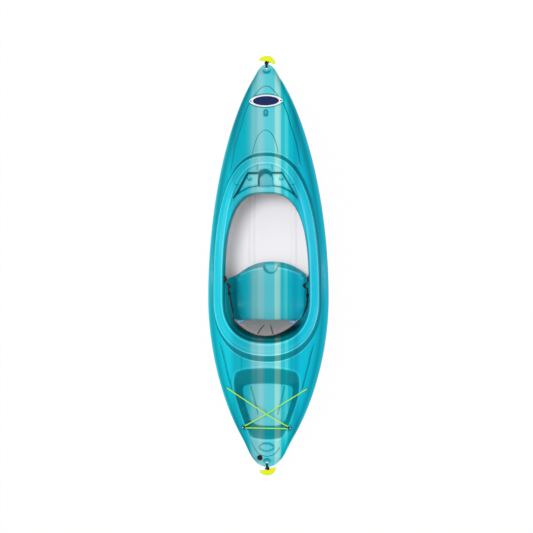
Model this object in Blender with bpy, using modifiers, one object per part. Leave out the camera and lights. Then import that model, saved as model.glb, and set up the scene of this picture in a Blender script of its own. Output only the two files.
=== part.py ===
"""Recreational kayak in metres: +Y points at the bow, +X to starboard, +Z up.

The origin lies on the floor under the middle of the boat. Two thermoformed sheets, hull and deck,
meet in a seam along the boat's widest line. The leg opening, the seat tub, the console and the tank
well are all moulded into the deck sheet.
"""

import math

import bmesh
import bpy
import numpy as np
from mathutils import Matrix, Vector
from mathutils.bvhtree import BVHTree
from mathutils.geometry import delaunay_2d_cdt

# Hull and deck outline
LENGTH = 2.44
BEAM = 0.742
WIDEST_Y = -0.20
BOW_SWELL, BOW_TAPER = 2.0, 0.70
STERN_SWELL, STERN_TAPER = 1.9, 0.72
BOW_NOSE_RADIUS = 0.045
STERN_NOSE_RADIUS = 0.090

# Sheets and their seam
SHEET = 0.0045
GAP = 0.0003
FLANGE = 0.006
SEAM_MID_Z = 0.205
BOW_SHEER_RISE = 0.057
STERN_SHEER_RISE = 0.040

# Hull bottom
STEM_INSET = 0.050
STEM_TAPER_LENGTH = 0.17
BILGE_WIDTH = 0.20
BILGE_POWER = 3.0
FLAT_KEEL_HALF = 0.60
ROCKER = 0.025
CHANNEL_INNER_X = 0.115
CHANNEL_WIDTH = 0.035
CHANNEL_DEPTH = 0.006
CHANNEL_SLOPE = 0.007
CHANNEL_HALF_LENGTH = 0.72

# Deck crown above the seam's flange, and how square its section is, by station
CROWN_STERN = ((0.0, 0.0), (0.06, 0.016), (0.16, 0.030), (0.33, 0.046), (0.62, 0.060))
CROWN_MID = ((-0.20, 0.060), (0.30, 0.066), (0.66, 0.078))
CROWN_BOW = ((0.38, 0.062), (0.19, 0.042), (0.07, 0.019), (0.0, 0.0))
SECTION_POWER_TIP = 2.6
SECTION_POWER_MID = 6.0

# Coaming round the cockpit: its ends, and the runs at its sides, front and rear from ring to ring
COAMING_FRONT_Y = 0.683
COAMING_REAR_Y = -0.582
COAMING_SHOULDER = 0.038
COAMING_WALL = (0.013, 0.029, 0.042)
COAMING_BAND = (0.049, 0.040, 0.067)
LIP_BAND = (0.009, 0.175, 0.013)
COAMING_POWER = (2.5, 2.3)
OPENING_POWER = (2.9, 2.4)
COAMING_Z = ((-0.582, 0.308), (-0.20, 0.298), (0.25, 0.314), (0.683, 0.352))
BAND_DISH = 0.004
CONSOLE_DROP = 0.003
CONSOLE_SLOPE = 0.010
LIP_DEPTH = 0.036
LIP_LEAN = 0.006

# Console: two trays and a cup ahead of the opening
TRAY_CORNERS = (
    (0.053, 0.563), (0.108, 0.563), (0.201, 0.400), (0.150, 0.441), (0.100, 0.467), (0.053, 0.476),
)
TRAY_DEPTH = 0.024
TRAY_WALL = 0.010
TRAY_CORNER_RADIUS = 0.007
CUP_RADIUS = 0.050
CUP_FRONT_Y = 0.583
CUP_REAR_Y = 0.478
CUP_DEPTH = 0.055
CUP_SIDE_WALL = 0.010
CUP_FRONT_WALL = 0.028
CUP_REAR_WALL = 0.004

# Seat tub: the slope of its walls in plan, and its floor, level aft and rising toward the front
TUB_WALL = (0.057, 0.039, 0.075)
SEAT_FLOOR_POWER = (3.0, 3.0)
SEAT_Z = 0.080
SEAT_RISE = 0.024
SEAT_RISE_FROM_Y = -0.230
SEAT_RISE_LENGTH = 0.230
SEAT_EDGE_Z = 0.050
SEAT_EDGE_Y, SEAT_EDGE_SWEEP, SEAT_EDGE_HALF = 0.027, 0.113, 0.250
SEAT_CREST_Y, SEAT_CREST_SWEEP, SEAT_CREST_HALF = -0.011, 0.045, 0.190
SEAT_LINE_POWER = 2.2
NOTCH_Y = -0.003
NOTCH_RADIUS = 0.048
NOTCH_FLOOR_RADIUS = 0.036
NOTCH_Z = 0.068

# Tank well in the stern deck: starboard half of its rim and floor, aft of the coaming and ahead of the tip
WELL_RIM_FRONT = (
    (0.0, 0.032), (0.090, 0.037), (0.160, 0.052), (0.189, 0.081), (0.198, 0.133), (0.183, 0.238),
)
WELL_RIM_REAR = ((0.137, 0.266), (0.114, 0.214), (0.084, 0.178), (0.0, 0.167))
WELL_FLOOR_FRONT = ((0.0, 0.141), (0.095, 0.145), (0.137, 0.156), (0.150, 0.183), (0.140, 0.248))
WELL_FLOOR_REAR = ((0.112, 0.295), (0.095, 0.265), (0.064, 0.252), (0.0, 0.249))
WELL_FLOOR_Z = 0.216

# Dishes and cord holes at the tips
DISH_INSET = 0.0285
BOW_DISH_RADIUS = 0.030
STERN_DISH_RADIUS = 0.027
DISH_SLOPE = 0.011
CORD_HOLE_INSET = 0.021
CORD_HOLE_RADIUS = 0.008

# Name plate on the foredeck, left bare
PLATE_INSET = 0.2245
PLATE_HALF_LENGTH = 0.102
PLATE_HALF_WIDTH = 0.036
PLATE_POWER = 1.8
PLATE_THICKNESS = 0.0022
PLATE_RIVET_X = 0.092
RIVET_SHANK_RADIUS = 0.0018
RIVET_HEAD_RADIUS = 0.0036
RIVET_HEAD_HEIGHT = 0.0016

# Bungee over the tank well and its pad eyes, placed by x and distance from the stern tip
BUNGEE_RADIUS = 0.00325
BUNGEE_HOLE_AT = (0.243, 0.477)
BUNGEE_HOLE_RADIUS = 0.0048
BUNGEE_KNOT_RADIUS = 0.0075
PAD_EYE_AT = (0.133, 0.242)
PAD_EYE_TOWARDS = (-0.961, 0.276)
BOSS_RADIUS = 0.021
BOSS_SLOPE = 0.003
BOSS_RISE = 0.002
EYE_BASE_LENGTH = 0.033
EYE_BASE_WIDTH = 0.014
EYE_BASE_THICKNESS = 0.0025
EYE_POST_AT = 0.012
EYE_FOOT_AT = -0.004
EYE_SCREW_AT = -0.012
EYE_WIRE_RADIUS = 0.003
EYE_ARCH_TOP = 0.0138
EYE_ARCH_ROUND = 0.75
EYE_CORD_BEND = 0.008
CORD_CLEARANCE = 0.0005

# Screws that hold the pad eyes and the strap anchors
SCREW_SHANK_RADIUS = 0.0019
SCREW_HEAD_RADIUS = 0.0038
SCREW_HEAD_HEIGHT = 0.0020
SCREW_LENGTH = 0.014
HOLE_CLEARANCE = 0.0004
HOLE_CUT_LENGTH = 0.02

# Drain plug
DRAIN_AT = (-0.042, 0.057)
DRAIN_FLANGE_RADIUS = 0.016
DRAIN_FLANGE_THICKNESS = 0.002
DRAIN_SLEEVE_RADIUS = 0.010
DRAIN_BORE_RADIUS = 0.0075
DRAIN_SLEEVE_LENGTH = 0.014
DRAIN_CAP_RADIUS = 0.0115
DRAIN_CAP_HEIGHT = 0.006
DRAIN_SHANK_LENGTH = 0.010
GASKET_THICKNESS = 0.0015
DRAIN_SLOT_WIDTH = 0.003
DRAIN_SLOT_DEPTH = 0.003
DRAIN_EDGE = 0.001
DRAIN_PLAY = 0.0005

# Carrying handles at the tips
HANDLE_CORD_RADIUS = 0.003
HANDLE_RING_RADIUS = 0.0125
HANDLE_KNOT_RADIUS = 0.0075
HANDLE_DROOP = math.radians(22)
GRIP_YAW = math.radians(16)
GRIP_INNER_AT = 0.0275
GRIP_CHORD = 0.104
GRIP_WIDTH = 0.036
GRIP_TIP_WIDTH = 0.007
GRIP_HOLLOW = 0.005
GRIP_THICKNESS = 0.014
GRIP_TIP_THICKNESS = 0.006
GRIP_SOCKET_DEPTH = 0.010

# Backrest
BACK_LOW_RISE = 0.020
BACK_HEIGHT = 0.228
BACK_CORNER_DROP = 0.042
BACK_LOW_SPACE = 0.055
BACK_TOP_SPACE = 0.059
BACK_REAR_SPACE = 0.040
BACK_RECLINE = 0.080
BACK_WING = 0.100
PAD_THICKNESS = 0.026
PAD_EDGE_THICKNESS = 0.009
PAD_SEAM_DEPTH = 0.005
BOARD_THICKNESS = 0.0035
BINDING_RADIUS = 0.0026
BACK_COLUMNS, BACK_ROWS = 19, 10
PAD_SEAM = ((0.52, 0.019), (0.93, 0.046))
PAD_SEAM_HALF_WIDTH = 0.007
TAB_LENGTH = 0.026
TAB_WIDTH = 0.012
TAB_THICKNESS = 0.0015
TAB_AT = (0.82, 0.72)
TAB_TURN = math.radians(28)

# Hinge brackets that carry the backrest on the seat floor
PIVOT_BEHIND = 0.002
PIVOT_RISE = 0.012
LUG_RADIUS = 0.006
LUG_FROM_X = 0.104
LUG_TO_X = 0.1215
LUG_ARM = 0.0024
BRACKET_FOOT_FROM_X = 0.080
BRACKET_FOOT_WIDTH = 0.022
BRACKET_THICKNESS = 0.003
BRACKET_EAR_THICKNESS = 0.004
BRACKET_EAR_RADIUS = 0.006
BRACKET_SCREW_X = 0.090
BRACKET_SCREW_LENGTH = 0.010
BRACKET_SCREW_BEHIND = 0.0065
PIVOT_PIN_RADIUS = 0.0025
PIVOT_PIN_HEAD_RADIUS = 0.0048
PIVOT_PIN_HEAD = 0.003
PIVOT_PIN_INTO_LUG = 0.012

# Side straps with their anchors and buckles; routes run by distance in from the opening's side, and y
ANCHOR_Y = -0.080
ANCHOR_LENGTH = 0.040
ANCHOR_HEIGHT = 0.024
ANCHOR_THICKNESS = 0.004
STRAP_WIDTH = 0.020
STRAP_THICKNESS = 0.0018
STRAP_ROUTES = {
    "left": ((0.0155, -0.1000), (0.0220, -0.1080), (0.0330, -0.1210), (0.0345, -0.1270), (0.0305, -0.1330),
             (0.0295, -0.1400), (0.0410, -0.2005), (0.0515, -0.2690), (0.0535, -0.3010)),
    "right": ((0.0155, -0.1000), (0.0220, -0.1070), (0.0320, -0.1160), (0.0330, -0.1220), (0.0275, -0.1285),
              (0.0170, -0.1375), (0.0130, -0.1480), (0.0130, -0.2020), (0.0220, -0.2560), (0.0420, -0.3010)),
}
STRAP_ON_ANCHOR = 0.014
STRAP_CORNER_RUN = 0.020
STRAP_ON_BOARD = 0.022
STRAP_OFF_BOARD_SHARE = 1.045
STRAP_END_SHARE = 0.84
BUCKLE_LEG = {"left": 5, "right": 6}
BUCKLE_AT = 0.030
BUCKLE_LENGTH = 0.018
BUCKLE_HEIGHT = 0.028
BUCKLE_THICKNESS = 0.0066
BUCKLE_CLEARANCE = 0.0016
SMALL_ROUND = 0.0012

# Rivets low on the tub's side walls
SIDE_RIVET_Y = -0.170
SIDE_RIVET_Z = 0.135
SIDE_RIVET_HEAD_RADIUS = 0.006
SIDE_RIVET_HEAD_HEIGHT = 0.0025
SIDE_RIVET_SHANK_RADIUS = 0.0026
RIVET_TAIL_HEIGHT = 0.0016

# Foam blocks between the sheets: half width, and distances of their ends from the tip or along y
FOAM_CLEARANCE = 0.0005
BOW_BLOCK = (0.030, 0.440, 0.260)
STERN_BLOCK = (0.060, 0.290, 0.440)
SEAT_BLOCK = (0.100, -0.300, -0.080)

# Spacing of the sheets' points
EDGE_STEP = 0.038
DETAIL_STEP = 0.012
FILL_STEP = 0.086
LONG_STEP = 0.066
RING_STEP = 0.046

TIP_Y = LENGTH / 2
SIDES = (("left", -1.0), ("right", 1.0))
ENDS = (("bow", 1.0), ("stern", -1.0))


def within(size, runs):
    """(half width, front y, rear y) of an oval within another by the runs at its sides, front and rear."""
    return size[0] - runs[0], size[1] - runs[1], size[2] + runs[2]


def from_stern(place):
    """(x, y) of a place given by x and its distance from the stern tip."""
    return place[0], place[1] - TIP_Y


def well_line(front, rear):
    """Starboard half of a tank well loop: front part set off from the coaming, rear one from the tip."""
    return [(x, COAMING_REAR_Y - aft) for x, aft in front] + [from_stern(place) for place in rear]


COAMING_FOOT = (BEAM / 2 - COAMING_SHOULDER, COAMING_FRONT_Y, COAMING_REAR_Y)
COAMING_RIDGE = within(COAMING_FOOT, COAMING_WALL)
LIP_RIDGE = within(COAMING_RIDGE, COAMING_BAND)
OPENING = within(LIP_RIDGE, LIP_BAND)
SEAT_FLOOR = within(OPENING, TUB_WALL)
BACK_LOW_HALF = SEAT_FLOOR[0] - BACK_LOW_SPACE
BACK_TOP_HALF = OPENING[0] - BACK_TOP_SPACE
BACK_LOW_Y = SEAT_FLOOR[2] + BACK_REAR_SPACE
PIVOT_Y = BACK_LOW_Y - PIVOT_BEHIND
PIVOT_Z = SEAT_Z + PIVOT_RISE
BACK_LOW_Z = SEAT_Z + BACK_LOW_RISE
BRACKET_SCREW = (BRACKET_SCREW_X, PIVOT_Y - BRACKET_SCREW_BEHIND)
PLATE_Y = TIP_Y - PLATE_INSET
BUNGEE_HOLE = from_stern(BUNGEE_HOLE_AT)
PAD_EYE = from_stern(PAD_EYE_AT)
DRAIN = from_stern(DRAIN_AT)


def ease(t, rounding=0.25):
    """Straight slope from 0 to 1 with its two ends rounded."""
    t = np.clip(t, 0.0, 1.0)
    pitch = 1.0 / (1.0 - rounding)
    low = 0.5 * pitch * t * t / rounding
    high = 1.0 - 0.5 * pitch * (1.0 - t) ** 2 / rounding
    return np.where(t < rounding, low, np.where(t > 1.0 - rounding, high, pitch * (t - 0.5 * rounding)))


def mix(a, b, share):
    """a where share is 0, b where it is 1."""
    return a + (b - a) * share


def along(y, stations):
    """Smooth curve through (y, value) stations, level at its ends."""
    points = sorted(stations)
    ys = np.array([p[0] for p in points])
    values = np.array([p[1] for p in points])
    pitch = np.zeros(len(points))
    pitch[1:-1] = (values[2:] - values[:-2]) / (ys[2:] - ys[:-2])
    y = np.clip(np.asarray(y, float), ys[0], ys[-1])
    i = np.clip(np.searchsorted(ys, y, side="right") - 1, 0, len(points) - 2)
    span = ys[i + 1] - ys[i]
    t = (y - ys[i]) / span
    return (
        values[i] * (1 + 2 * t) * (1 - t) ** 2
        + pitch[i] * span * t * (1 - t) ** 2
        + values[i + 1] * t * t * (3 - 2 * t)
        - pitch[i + 1] * span * t * t * (1 - t)
    )


def half_beam(y):
    """Half-breadth of the seam, a tapered curve rounded off by the nose at each tip."""
    y = np.asarray(y, float)
    front = y > WIDEST_Y
    reach = np.where(front, TIP_Y - WIDEST_Y, TIP_Y + WIDEST_Y)
    t = np.clip(np.abs(y - WIDEST_Y) / reach, 0.0, 1.0)
    swell = np.where(front, BOW_SWELL, STERN_SWELL)
    taper = np.where(front, BOW_TAPER, STERN_TAPER)
    body = BEAM / 2 * (1.0 - t**swell) ** taper
    radius = np.where(front, BOW_NOSE_RADIUS, STERN_NOSE_RADIUS)
    nose = np.sqrt(np.clip(radius**2 - (np.abs(y) - TIP_Y + radius) ** 2, 0.0, None))
    return (body**4 + nose**4) ** 0.25


def seam_z(y):
    """Height of the seam, lowest amidships."""
    y = np.asarray(y, float)
    front = y > WIDEST_Y
    reach = np.where(front, TIP_Y - WIDEST_Y, TIP_Y + WIDEST_Y)
    rise = np.where(front, BOW_SHEER_RISE, STERN_SHEER_RISE)
    return SEAM_MID_Z + rise * ((y - WIDEST_Y) / reach) ** 2


def evenly(loop, step):
    """The closed loop resampled to even steps, keeping its first point and an even count."""
    closed = np.vstack([loop, loop[:1]])
    lengths = np.concatenate([[0.0], np.cumsum(np.hypot(*np.diff(closed, axis=0).T))])
    count = max(8, 2 * round(lengths[-1] / step / 2))
    at = np.arange(count) * lengths[-1] / count
    return np.column_stack([np.interp(at, lengths, closed[:, k]) for k in (0, 1)])


def seam_outline(step=RING_STEP, inset=0.0):
    """Plan outline of the seam, with closer points toward the tips."""
    per_side = round(LENGTH / step / 2)
    turn = np.linspace(-math.pi / 2, math.pi / 2, 2 * per_side + 1)
    reach = np.where(turn > 0, TIP_Y - WIDEST_Y, TIP_Y + WIDEST_Y)
    y = WIDEST_Y + reach * np.sin(turn)
    x = half_beam(y) - inset
    starboard = np.column_stack([x, y])
    starboard[[0, -1], 0] = 0.0
    return np.vstack([starboard, starboard[-2:0:-1] * (-1, 1)])


def oval(size, powers, inset=0.0):
    """Egg-shaped loop about the widest station, from (half width, front y, rear y)."""
    half, front, rear = size[0] - inset, size[1] - inset, size[2] + inset
    turn = np.linspace(-math.pi / 2, 1.5 * math.pi, 720, endpoint=False)
    across, ahead = np.cos(turn), np.sin(turn)
    power = np.where(ahead > 0, powers[0], powers[1])
    reach = np.where(ahead > 0, front - WIDEST_Y, WIDEST_Y - rear)
    x = half * np.sign(across) * np.abs(across) ** (2 / power)
    y = WIDEST_Y + reach * np.sign(ahead) * np.abs(ahead) ** (2 / power)
    return np.column_stack([x, y])


def ring(x, y, radius, count, start=0.0):
    """Circle as a closed loop."""
    turn = start + np.arange(count) * 2 * math.pi / count
    return np.column_stack([x + radius * np.cos(turn), y + radius * np.sin(turn)])


def smooth_mirrored(half_points, per_span=8):
    """Closed smooth loop through the points of its starboard half and their mirror images."""
    half = np.array(half_points)
    points = np.vstack([half, half[-2:0:-1] * (-1, 1)])
    before, after, beyond = (np.roll(points, k, axis=0) for k in (1, -1, -2))
    t = (np.arange(per_span) / per_span)[:, None, None]
    curve = 0.5 * (
        2 * points + (after - before) * t
        + (2 * before - 5 * points + 4 * after - beyond) * t**2
        + (3 * points - before - 3 * after + beyond) * t**3
    )
    return curve.transpose(1, 0, 2).reshape(-1, 2)


def rounded(corners, radius, steps=4):
    """Closed loop through the corners with each one rounded."""
    points = np.array(corners)
    loop = []
    for before, corner, after in zip(np.roll(points, 1, axis=0), points, np.roll(points, -1, axis=0)):
        back, ahead = before - corner, after - corner
        reach = min(radius, 0.45 * np.hypot(*back), 0.45 * np.hypot(*ahead))
        start = corner + back / np.hypot(*back) * reach
        end = corner + ahead / np.hypot(*ahead) * reach
        for t in np.linspace(0.0, 1.0, steps):
            loop.append((1 - t) ** 2 * start + 2 * t * (1 - t) * corner + t * t * end)
    return np.array(loop)


def inside(loop, x, y):
    """Distance from each point to the closed loop, positive within it and negative outside."""
    x, y = np.atleast_1d(x).astype(float)[:, None], np.atleast_1d(y).astype(float)[:, None]
    ax, ay = loop[:, 0], loop[:, 1]
    dx, dy = np.roll(ax, -1) - ax, np.roll(ay, -1) - ay
    t = np.clip(((x - ax) * dx + (y - ay) * dy) / (dx * dx + dy * dy + 1e-18), 0.0, 1.0)
    near = np.hypot(x - ax - t * dx, y - ay - t * dy).min(axis=1)
    level = np.where(np.abs(dy) < 1e-12, 1e-12, dy)
    crosses = ((ay > y) != (ay + dy > y)) & (x < dx * (y - ay) / level + ax)
    return np.where(crosses.sum(axis=1) % 2 == 1, near, -near)


def between(outer, inner, x, y):
    """0 at the outer loop and beyond, 1 at the inner loop and within, even in the band between."""
    into, short = inside(outer, x, y), -inside(inner, x, y)
    band = np.clip(into, 0.0, None) / np.clip(into + short, 1e-9, None)
    return np.where(into <= 0, 0.0, np.where(short <= 0, 1.0, band))


def tray_loop(side, inset=0.0):
    """Rim of one console tray, or its floor's edge when inset by the wall."""
    loop = rounded(TRAY_CORNERS, TRAY_CORNER_RADIUS)
    centre = loop.mean(axis=0)
    if inset:
        ahead = np.roll(loop, -1, axis=0) - np.roll(loop, 1, axis=0)
        normal = np.column_stack([ahead[:, 1], -ahead[:, 0]]) / np.hypot(*ahead.T)[:, None]
        toward = np.sign(((centre - loop) * normal).sum(axis=1)).mean()
        loop = loop + normal * inset * np.sign(toward)
    return loop * (side, 1)


def cup_loop(floor=False):
    """Rim or floor of the cup: straight sides and rear, half-round front."""
    radius = CUP_RADIUS - (CUP_SIDE_WALL if floor else 0.0)
    front = CUP_FRONT_Y - (CUP_FRONT_WALL if floor else 0.0)
    rear = CUP_REAR_Y + (CUP_REAR_WALL if floor else 0.0)
    turn = np.linspace(0.0, math.pi, 13)
    arc = np.column_stack([radius * np.cos(turn), front - radius + radius * np.sin(turn)])
    return np.vstack([[radius, rear], arc, [-radius, rear]])


FOOT = evenly(oval(COAMING_FOOT, COAMING_POWER), RING_STEP)
RIDGE = evenly(oval(COAMING_RIDGE, COAMING_POWER), RING_STEP)
INNER_RIDGE = evenly(oval(LIP_RIDGE, COAMING_POWER), RING_STEP)
EDGE = evenly(oval(OPENING, OPENING_POWER), EDGE_STEP)
LIP_FOOT = evenly(oval(OPENING, OPENING_POWER, LIP_LEAN), EDGE_STEP)
TUB_FLOOR = evenly(oval(SEAT_FLOOR, SEAT_FLOOR_POWER), EDGE_STEP)
TRAYS = [(tray_loop(side), tray_loop(side, TRAY_WALL)) for _, side in SIDES]
CUP, CUP_FLOOR = cup_loop(), cup_loop(floor=True)
RIM = evenly(smooth_mirrored(well_line(WELL_RIM_FRONT, WELL_RIM_REAR)), RING_STEP)
WELL = evenly(smooth_mirrored(well_line(WELL_FLOOR_FRONT, WELL_FLOOR_REAR)), RING_STEP)


def crown(y):
    """Rise of the deck's centreline above its flange."""
    stations = [(-TIP_Y + d, h) for d, h in CROWN_STERN]
    stations += list(CROWN_MID)
    stations += [(TIP_Y - d, h) for d, h in CROWN_BOW]
    return along(y, stations)


def deck_base(x, y):
    """Deck without its mouldings: a crowned surface that drops to the flange at the seam."""
    u = np.clip(np.abs(x) / np.clip(half_beam(y), 1e-6, None), 0.0, 1.0)
    powers = ((-TIP_Y, SECTION_POWER_TIP), (WIDEST_Y, SECTION_POWER_MID), (TIP_Y, SECTION_POWER_TIP))
    square = along(y, powers)
    return seam_z(y) + FLANGE + crown(y) * np.sqrt(1.0 - u**square)


def seat_line(x, centre, sweep, half):
    """y of a line across the seat that sweeps aft toward the tub's sides."""
    return centre - sweep * (np.abs(x) / half) ** SEAT_LINE_POWER


def seat_edge(x):
    """y of the seat's free front edge."""
    return seat_line(x, SEAT_EDGE_Y, SEAT_EDGE_SWEEP, SEAT_EDGE_HALF)


def seat_height(x, y):
    """Seat floor with its rolled front edge and the half-round notch in it."""
    crest = seat_line(x, SEAT_CREST_Y, SEAT_CREST_SWEEP, SEAT_CREST_HALF)
    roll = ease((y - crest) / np.clip(seat_edge(x) - crest, 1e-3, None), 0.3)
    floor = SEAT_Z + SEAT_RISE * ease((y - SEAT_RISE_FROM_Y) / SEAT_RISE_LENGTH, 0.4)
    z = mix(floor, SEAT_EDGE_Z, roll)
    dent = ease((NOTCH_RADIUS - np.hypot(x, y - NOTCH_Y)) / (NOTCH_RADIUS - NOTCH_FLOOR_RADIUS))
    return mix(z, np.minimum(z, NOTCH_Z), dent)


def console_height(y):
    """Level of the coaming's top inside its inner ridge."""
    return along(y, COAMING_Z) - CONSOLE_DROP


def lip_foot_height(y):
    """Level of the lower edge of the coaming's inner lip."""
    return console_height(y) - LIP_DEPTH


def boss_height(centre):
    """Level top of a round boss on the deck."""
    return float(deck_base(*centre)) + BOSS_RISE


def moulded_boss(z, x, y, centre, radius):
    """The surface with a level boss at the centre."""
    raised = ease((radius - np.hypot(x - centre[0], y - centre[1])) / BOSS_SLOPE)
    return mix(z, boss_height(centre), raised)


def deck_height(x, y):
    """Top surface of the deck sheet with all its mouldings."""
    x, y = np.atleast_1d(x).astype(float), np.atleast_1d(y).astype(float)
    z = mix(deck_base(x, y), along(y, COAMING_Z), ease(between(FOOT, RIDGE, x, y), 0.2))
    z = z - BAND_DISH * np.sin(math.pi * between(RIDGE, INNER_RIDGE, x, y))
    z = z - CONSOLE_DROP * ease(inside(INNER_RIDGE, x, y) / CONSOLE_SLOPE)
    for rim, floor in TRAYS:
        z = z - TRAY_DEPTH * ease(between(rim, floor, x, y))
    z = z - CUP_DEPTH * ease(between(CUP, CUP_FLOOR, x, y))
    z = mix(z, lip_foot_height(y), ease(between(EDGE, LIP_FOOT, x, y), 0.15))
    z = mix(z, seat_height(x, y), ease(between(LIP_FOOT, TUB_FLOOR, x, y), 0.3))
    z = mix(z, WELL_FLOOR_Z, ease(between(RIM, WELL, x, y), 0.2))
    for end, radius in ((1.0, BOW_DISH_RADIUS), (-1.0, STERN_DISH_RADIUS)):
        into = radius - np.hypot(x, y - end * (TIP_Y - DISH_INSET))
        z = mix(z, seam_z(y) + FLANGE, ease(into / DISH_SLOPE))
    for _, side in SIDES:
        z = moulded_boss(z, x, y, (side * PAD_EYE[0], PAD_EYE[1]), BOSS_RADIUS)
    return moulded_boss(z, x, y, DRAIN, DRAIN_FLANGE_RADIUS + BOSS_SLOPE)


def deck_at(x, y):
    """Height of the deck's top surface at one point."""
    return float(deck_height(x, y)[0])


def hull_body_outline():
    """Plan outline of the hull below its flange: the seam's outline, drawn in to a stem near each tip."""
    outline = seam_outline()
    outline = outline[np.abs(outline[:, 1]) < TIP_Y - STEM_INSET - 1e-4]
    start = TIP_Y - STEM_INSET - STEM_TAPER_LENGTH
    s = np.clip((np.abs(outline[:, 1]) - start) / STEM_TAPER_LENGTH, 0.0, 1.0)
    drawn = outline * np.column_stack([1.0 - s**3, np.ones(len(s))])
    low, high = drawn[drawn[:, 0] > 0], drawn[drawn[:, 0] < 0]
    stem = TIP_Y - STEM_INSET
    return np.vstack([[0.0, -stem], low, [0.0, stem], high])


HULL_BODY = hull_body_outline()


def hull_height(x, y):
    """Under surface of the hull sheet."""
    x, y = np.atleast_1d(x).astype(float), np.atleast_1d(y).astype(float)
    rim = seam_z(y) - FLANGE
    past = np.clip((np.abs(y) - FLAT_KEEL_HALF) / (TIP_Y - FLAT_KEEL_HALF), 0.0, 1.0)
    t = np.clip(inside(HULL_BODY, x, y) / BILGE_WIDTH, 0.0, 1.0)
    z = mix(rim, ROCKER * past**2, 1.0 - (1.0 - t) ** BILGE_POWER)
    middle = CHANNEL_INNER_X + CHANNEL_WIDTH / 2
    groove = ease((CHANNEL_WIDTH / 2 - np.abs(np.abs(x) - middle)) / CHANNEL_SLOPE)
    run = ease((CHANNEL_HALF_LENGTH - np.abs(y)) / (6 * CHANNEL_WIDTH))
    return z + CHANNEL_DEPTH * groove * run * (1.0 - (1.0 - t) ** BILGE_POWER)


def midway(outer, inner, share):
    """Loop part of the way from each point of the outer loop to the nearest one of the inner loop."""
    fine = evenly(inner, 0.004)
    nearest = fine[np.argmin(np.hypot(*(outer[:, None] - fine[None]).transpose(2, 0, 1)), axis=1)]
    return outer + (nearest - outer) * share


def spread(line, step):
    """The open line resampled to even steps, keeping both ends."""
    lengths = np.concatenate([[0.0], np.cumsum(np.hypot(*np.diff(line, axis=0).T))])
    at = np.linspace(0.0, lengths[-1], max(2, 1 + 2 * round(lengths[-1] / step / 2)))
    return np.column_stack([np.interp(at, lengths, line[:, k]) for k in (0, 1)])


def kept_runs(loop, keep):
    """Open lines of the closed loop's neighbouring points that are kept."""
    if keep.all():
        return [np.vstack([loop, loop[:1]])]
    first = int(np.argmin(keep))
    loop, keep = np.roll(loop, -first, axis=0), np.roll(keep, -first)
    runs, run = [], []
    for point, wanted in zip(loop, keep):
        if wanted:
            run.append(point)
        elif run:
            runs.append(run)
            run = []
    runs.append(run)
    return [np.array(r) for r in runs if len(r) > 1]


def lip_parts():
    """Lower edge of the coaming's lip: the part round the leg opening and the part round the seat."""
    lip = oval(OPENING, OPENING_POWER, LIP_LEAN)
    ahead = np.flatnonzero(lip[:, 1] > seat_edge(lip[:, 0]))
    round_legs = lip[ahead[0]:ahead[-1] + 1]
    round_seat = np.vstack([lip[ahead[-1]:], lip[:ahead[0] + 1]])
    return spread(round_legs, EDGE_STEP), spread(round_seat, EDGE_STEP)


def leg_opening():
    """Closed loop of the leg opening: the lip's lower edge, closed by the seat's free front edge."""
    round_legs, _ = lip_parts()
    half = round_legs[0, 0]
    x = np.linspace(-half, half, 2 * round(half / DETAIL_STEP) + 1)[1:-1]
    return np.vstack([round_legs, np.column_stack([x, seat_edge(x)])])


def lengthwise_lines(shares, half_length, clear_of=()):
    """Lines at shares of the half-breadth on both sides, broken where they near the given loops."""
    y = np.linspace(-half_length, half_length, 2 * round(half_length / LONG_STEP) + 1)
    lines = []
    for share in shares:
        line = np.column_stack([share * half_beam(y), y])
        keep = np.ones(len(line), bool)
        for loop in clear_of:
            keep &= inside(loop, *line.T) < -0.2 * EDGE_STEP
        keep[0] = False
        for run in kept_runs(line, keep):
            lines += [run, run * (-1, 1)]
    return lines


def fill_points(shares, step=FILL_STEP):
    """Points for the open stretches of a sheet, on stations across the boat."""
    count = round(2 * (TIP_Y - DISH_INSET) / step)
    stations = np.linspace(-TIP_Y + DISH_INSET, TIP_Y - DISH_INSET, count)
    points = [(share * half, y) for y, half in zip(stations, half_beam(stations)) for share in shares]
    return np.array(points + [(-x, y) for x, y in points if x > 0])


def triangulated(outline, lines, fill, openings=(), points=(), clear=0.45 * FILL_STEP):
    """Points and triangles of a sheet's plan, with the outline, openings and lines kept as edges."""
    verts, edges = [], []
    for loop in [outline, *openings]:
        first = len(verts)
        verts += [tuple(p) for p in loop]
        edges += [(first + k, first + (k + 1) % len(loop)) for k in range(len(loop))]
    for line in lines:
        first = len(verts)
        verts += [tuple(p) for p in line]
        edges += [(first + k, first + k + 1) for k in range(len(line) - 1)]
    verts += [tuple(p) for p in points]
    fixed = np.array(verts)
    if len(fill):
        apart = np.hypot(*(fill[:, None] - fixed[None]).transpose(2, 0, 1)).min(axis=1)
        fill = fill[(apart > clear) & (inside(outline, *fill.T) > clear / 2)]
    coords = [Vector(p) for p in verts] + [Vector(p) for p in fill]
    found, _, faces, *_ = delaunay_2d_cdt(coords, edges, [], 0, 1e-6)
    plan = np.array([tuple(p) for p in found])
    faces = np.array([tuple(f) for f in faces])
    one, two = (plan[faces[:, k]] - plan[faces[:, 0]] for k in (1, 2))
    area = one[:, 0] * two[:, 1] - one[:, 1] * two[:, 0]
    faces = np.where((area > 0)[:, None], faces, faces[:, ::-1])
    centres = plan[faces].mean(axis=1)
    keep = (inside(outline, *centres.T) > 0) & (np.abs(area) > 1e-10)
    for opening in openings:
        keep &= inside(opening, *centres.T) < 0
    return plan, faces[keep]


def material(name, colour, roughness, metallic=0.0):
    """Principled material."""
    made = bpy.data.materials.new(name)
    made.use_nodes = True
    shader = made.node_tree.nodes["Principled BSDF"]
    shader.inputs["Base Color"].default_value = (*colour, 1.0)
    shader.inputs["Roughness"].default_value = roughness
    shader.inputs["Metallic"].default_value = metallic
    return made


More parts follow.
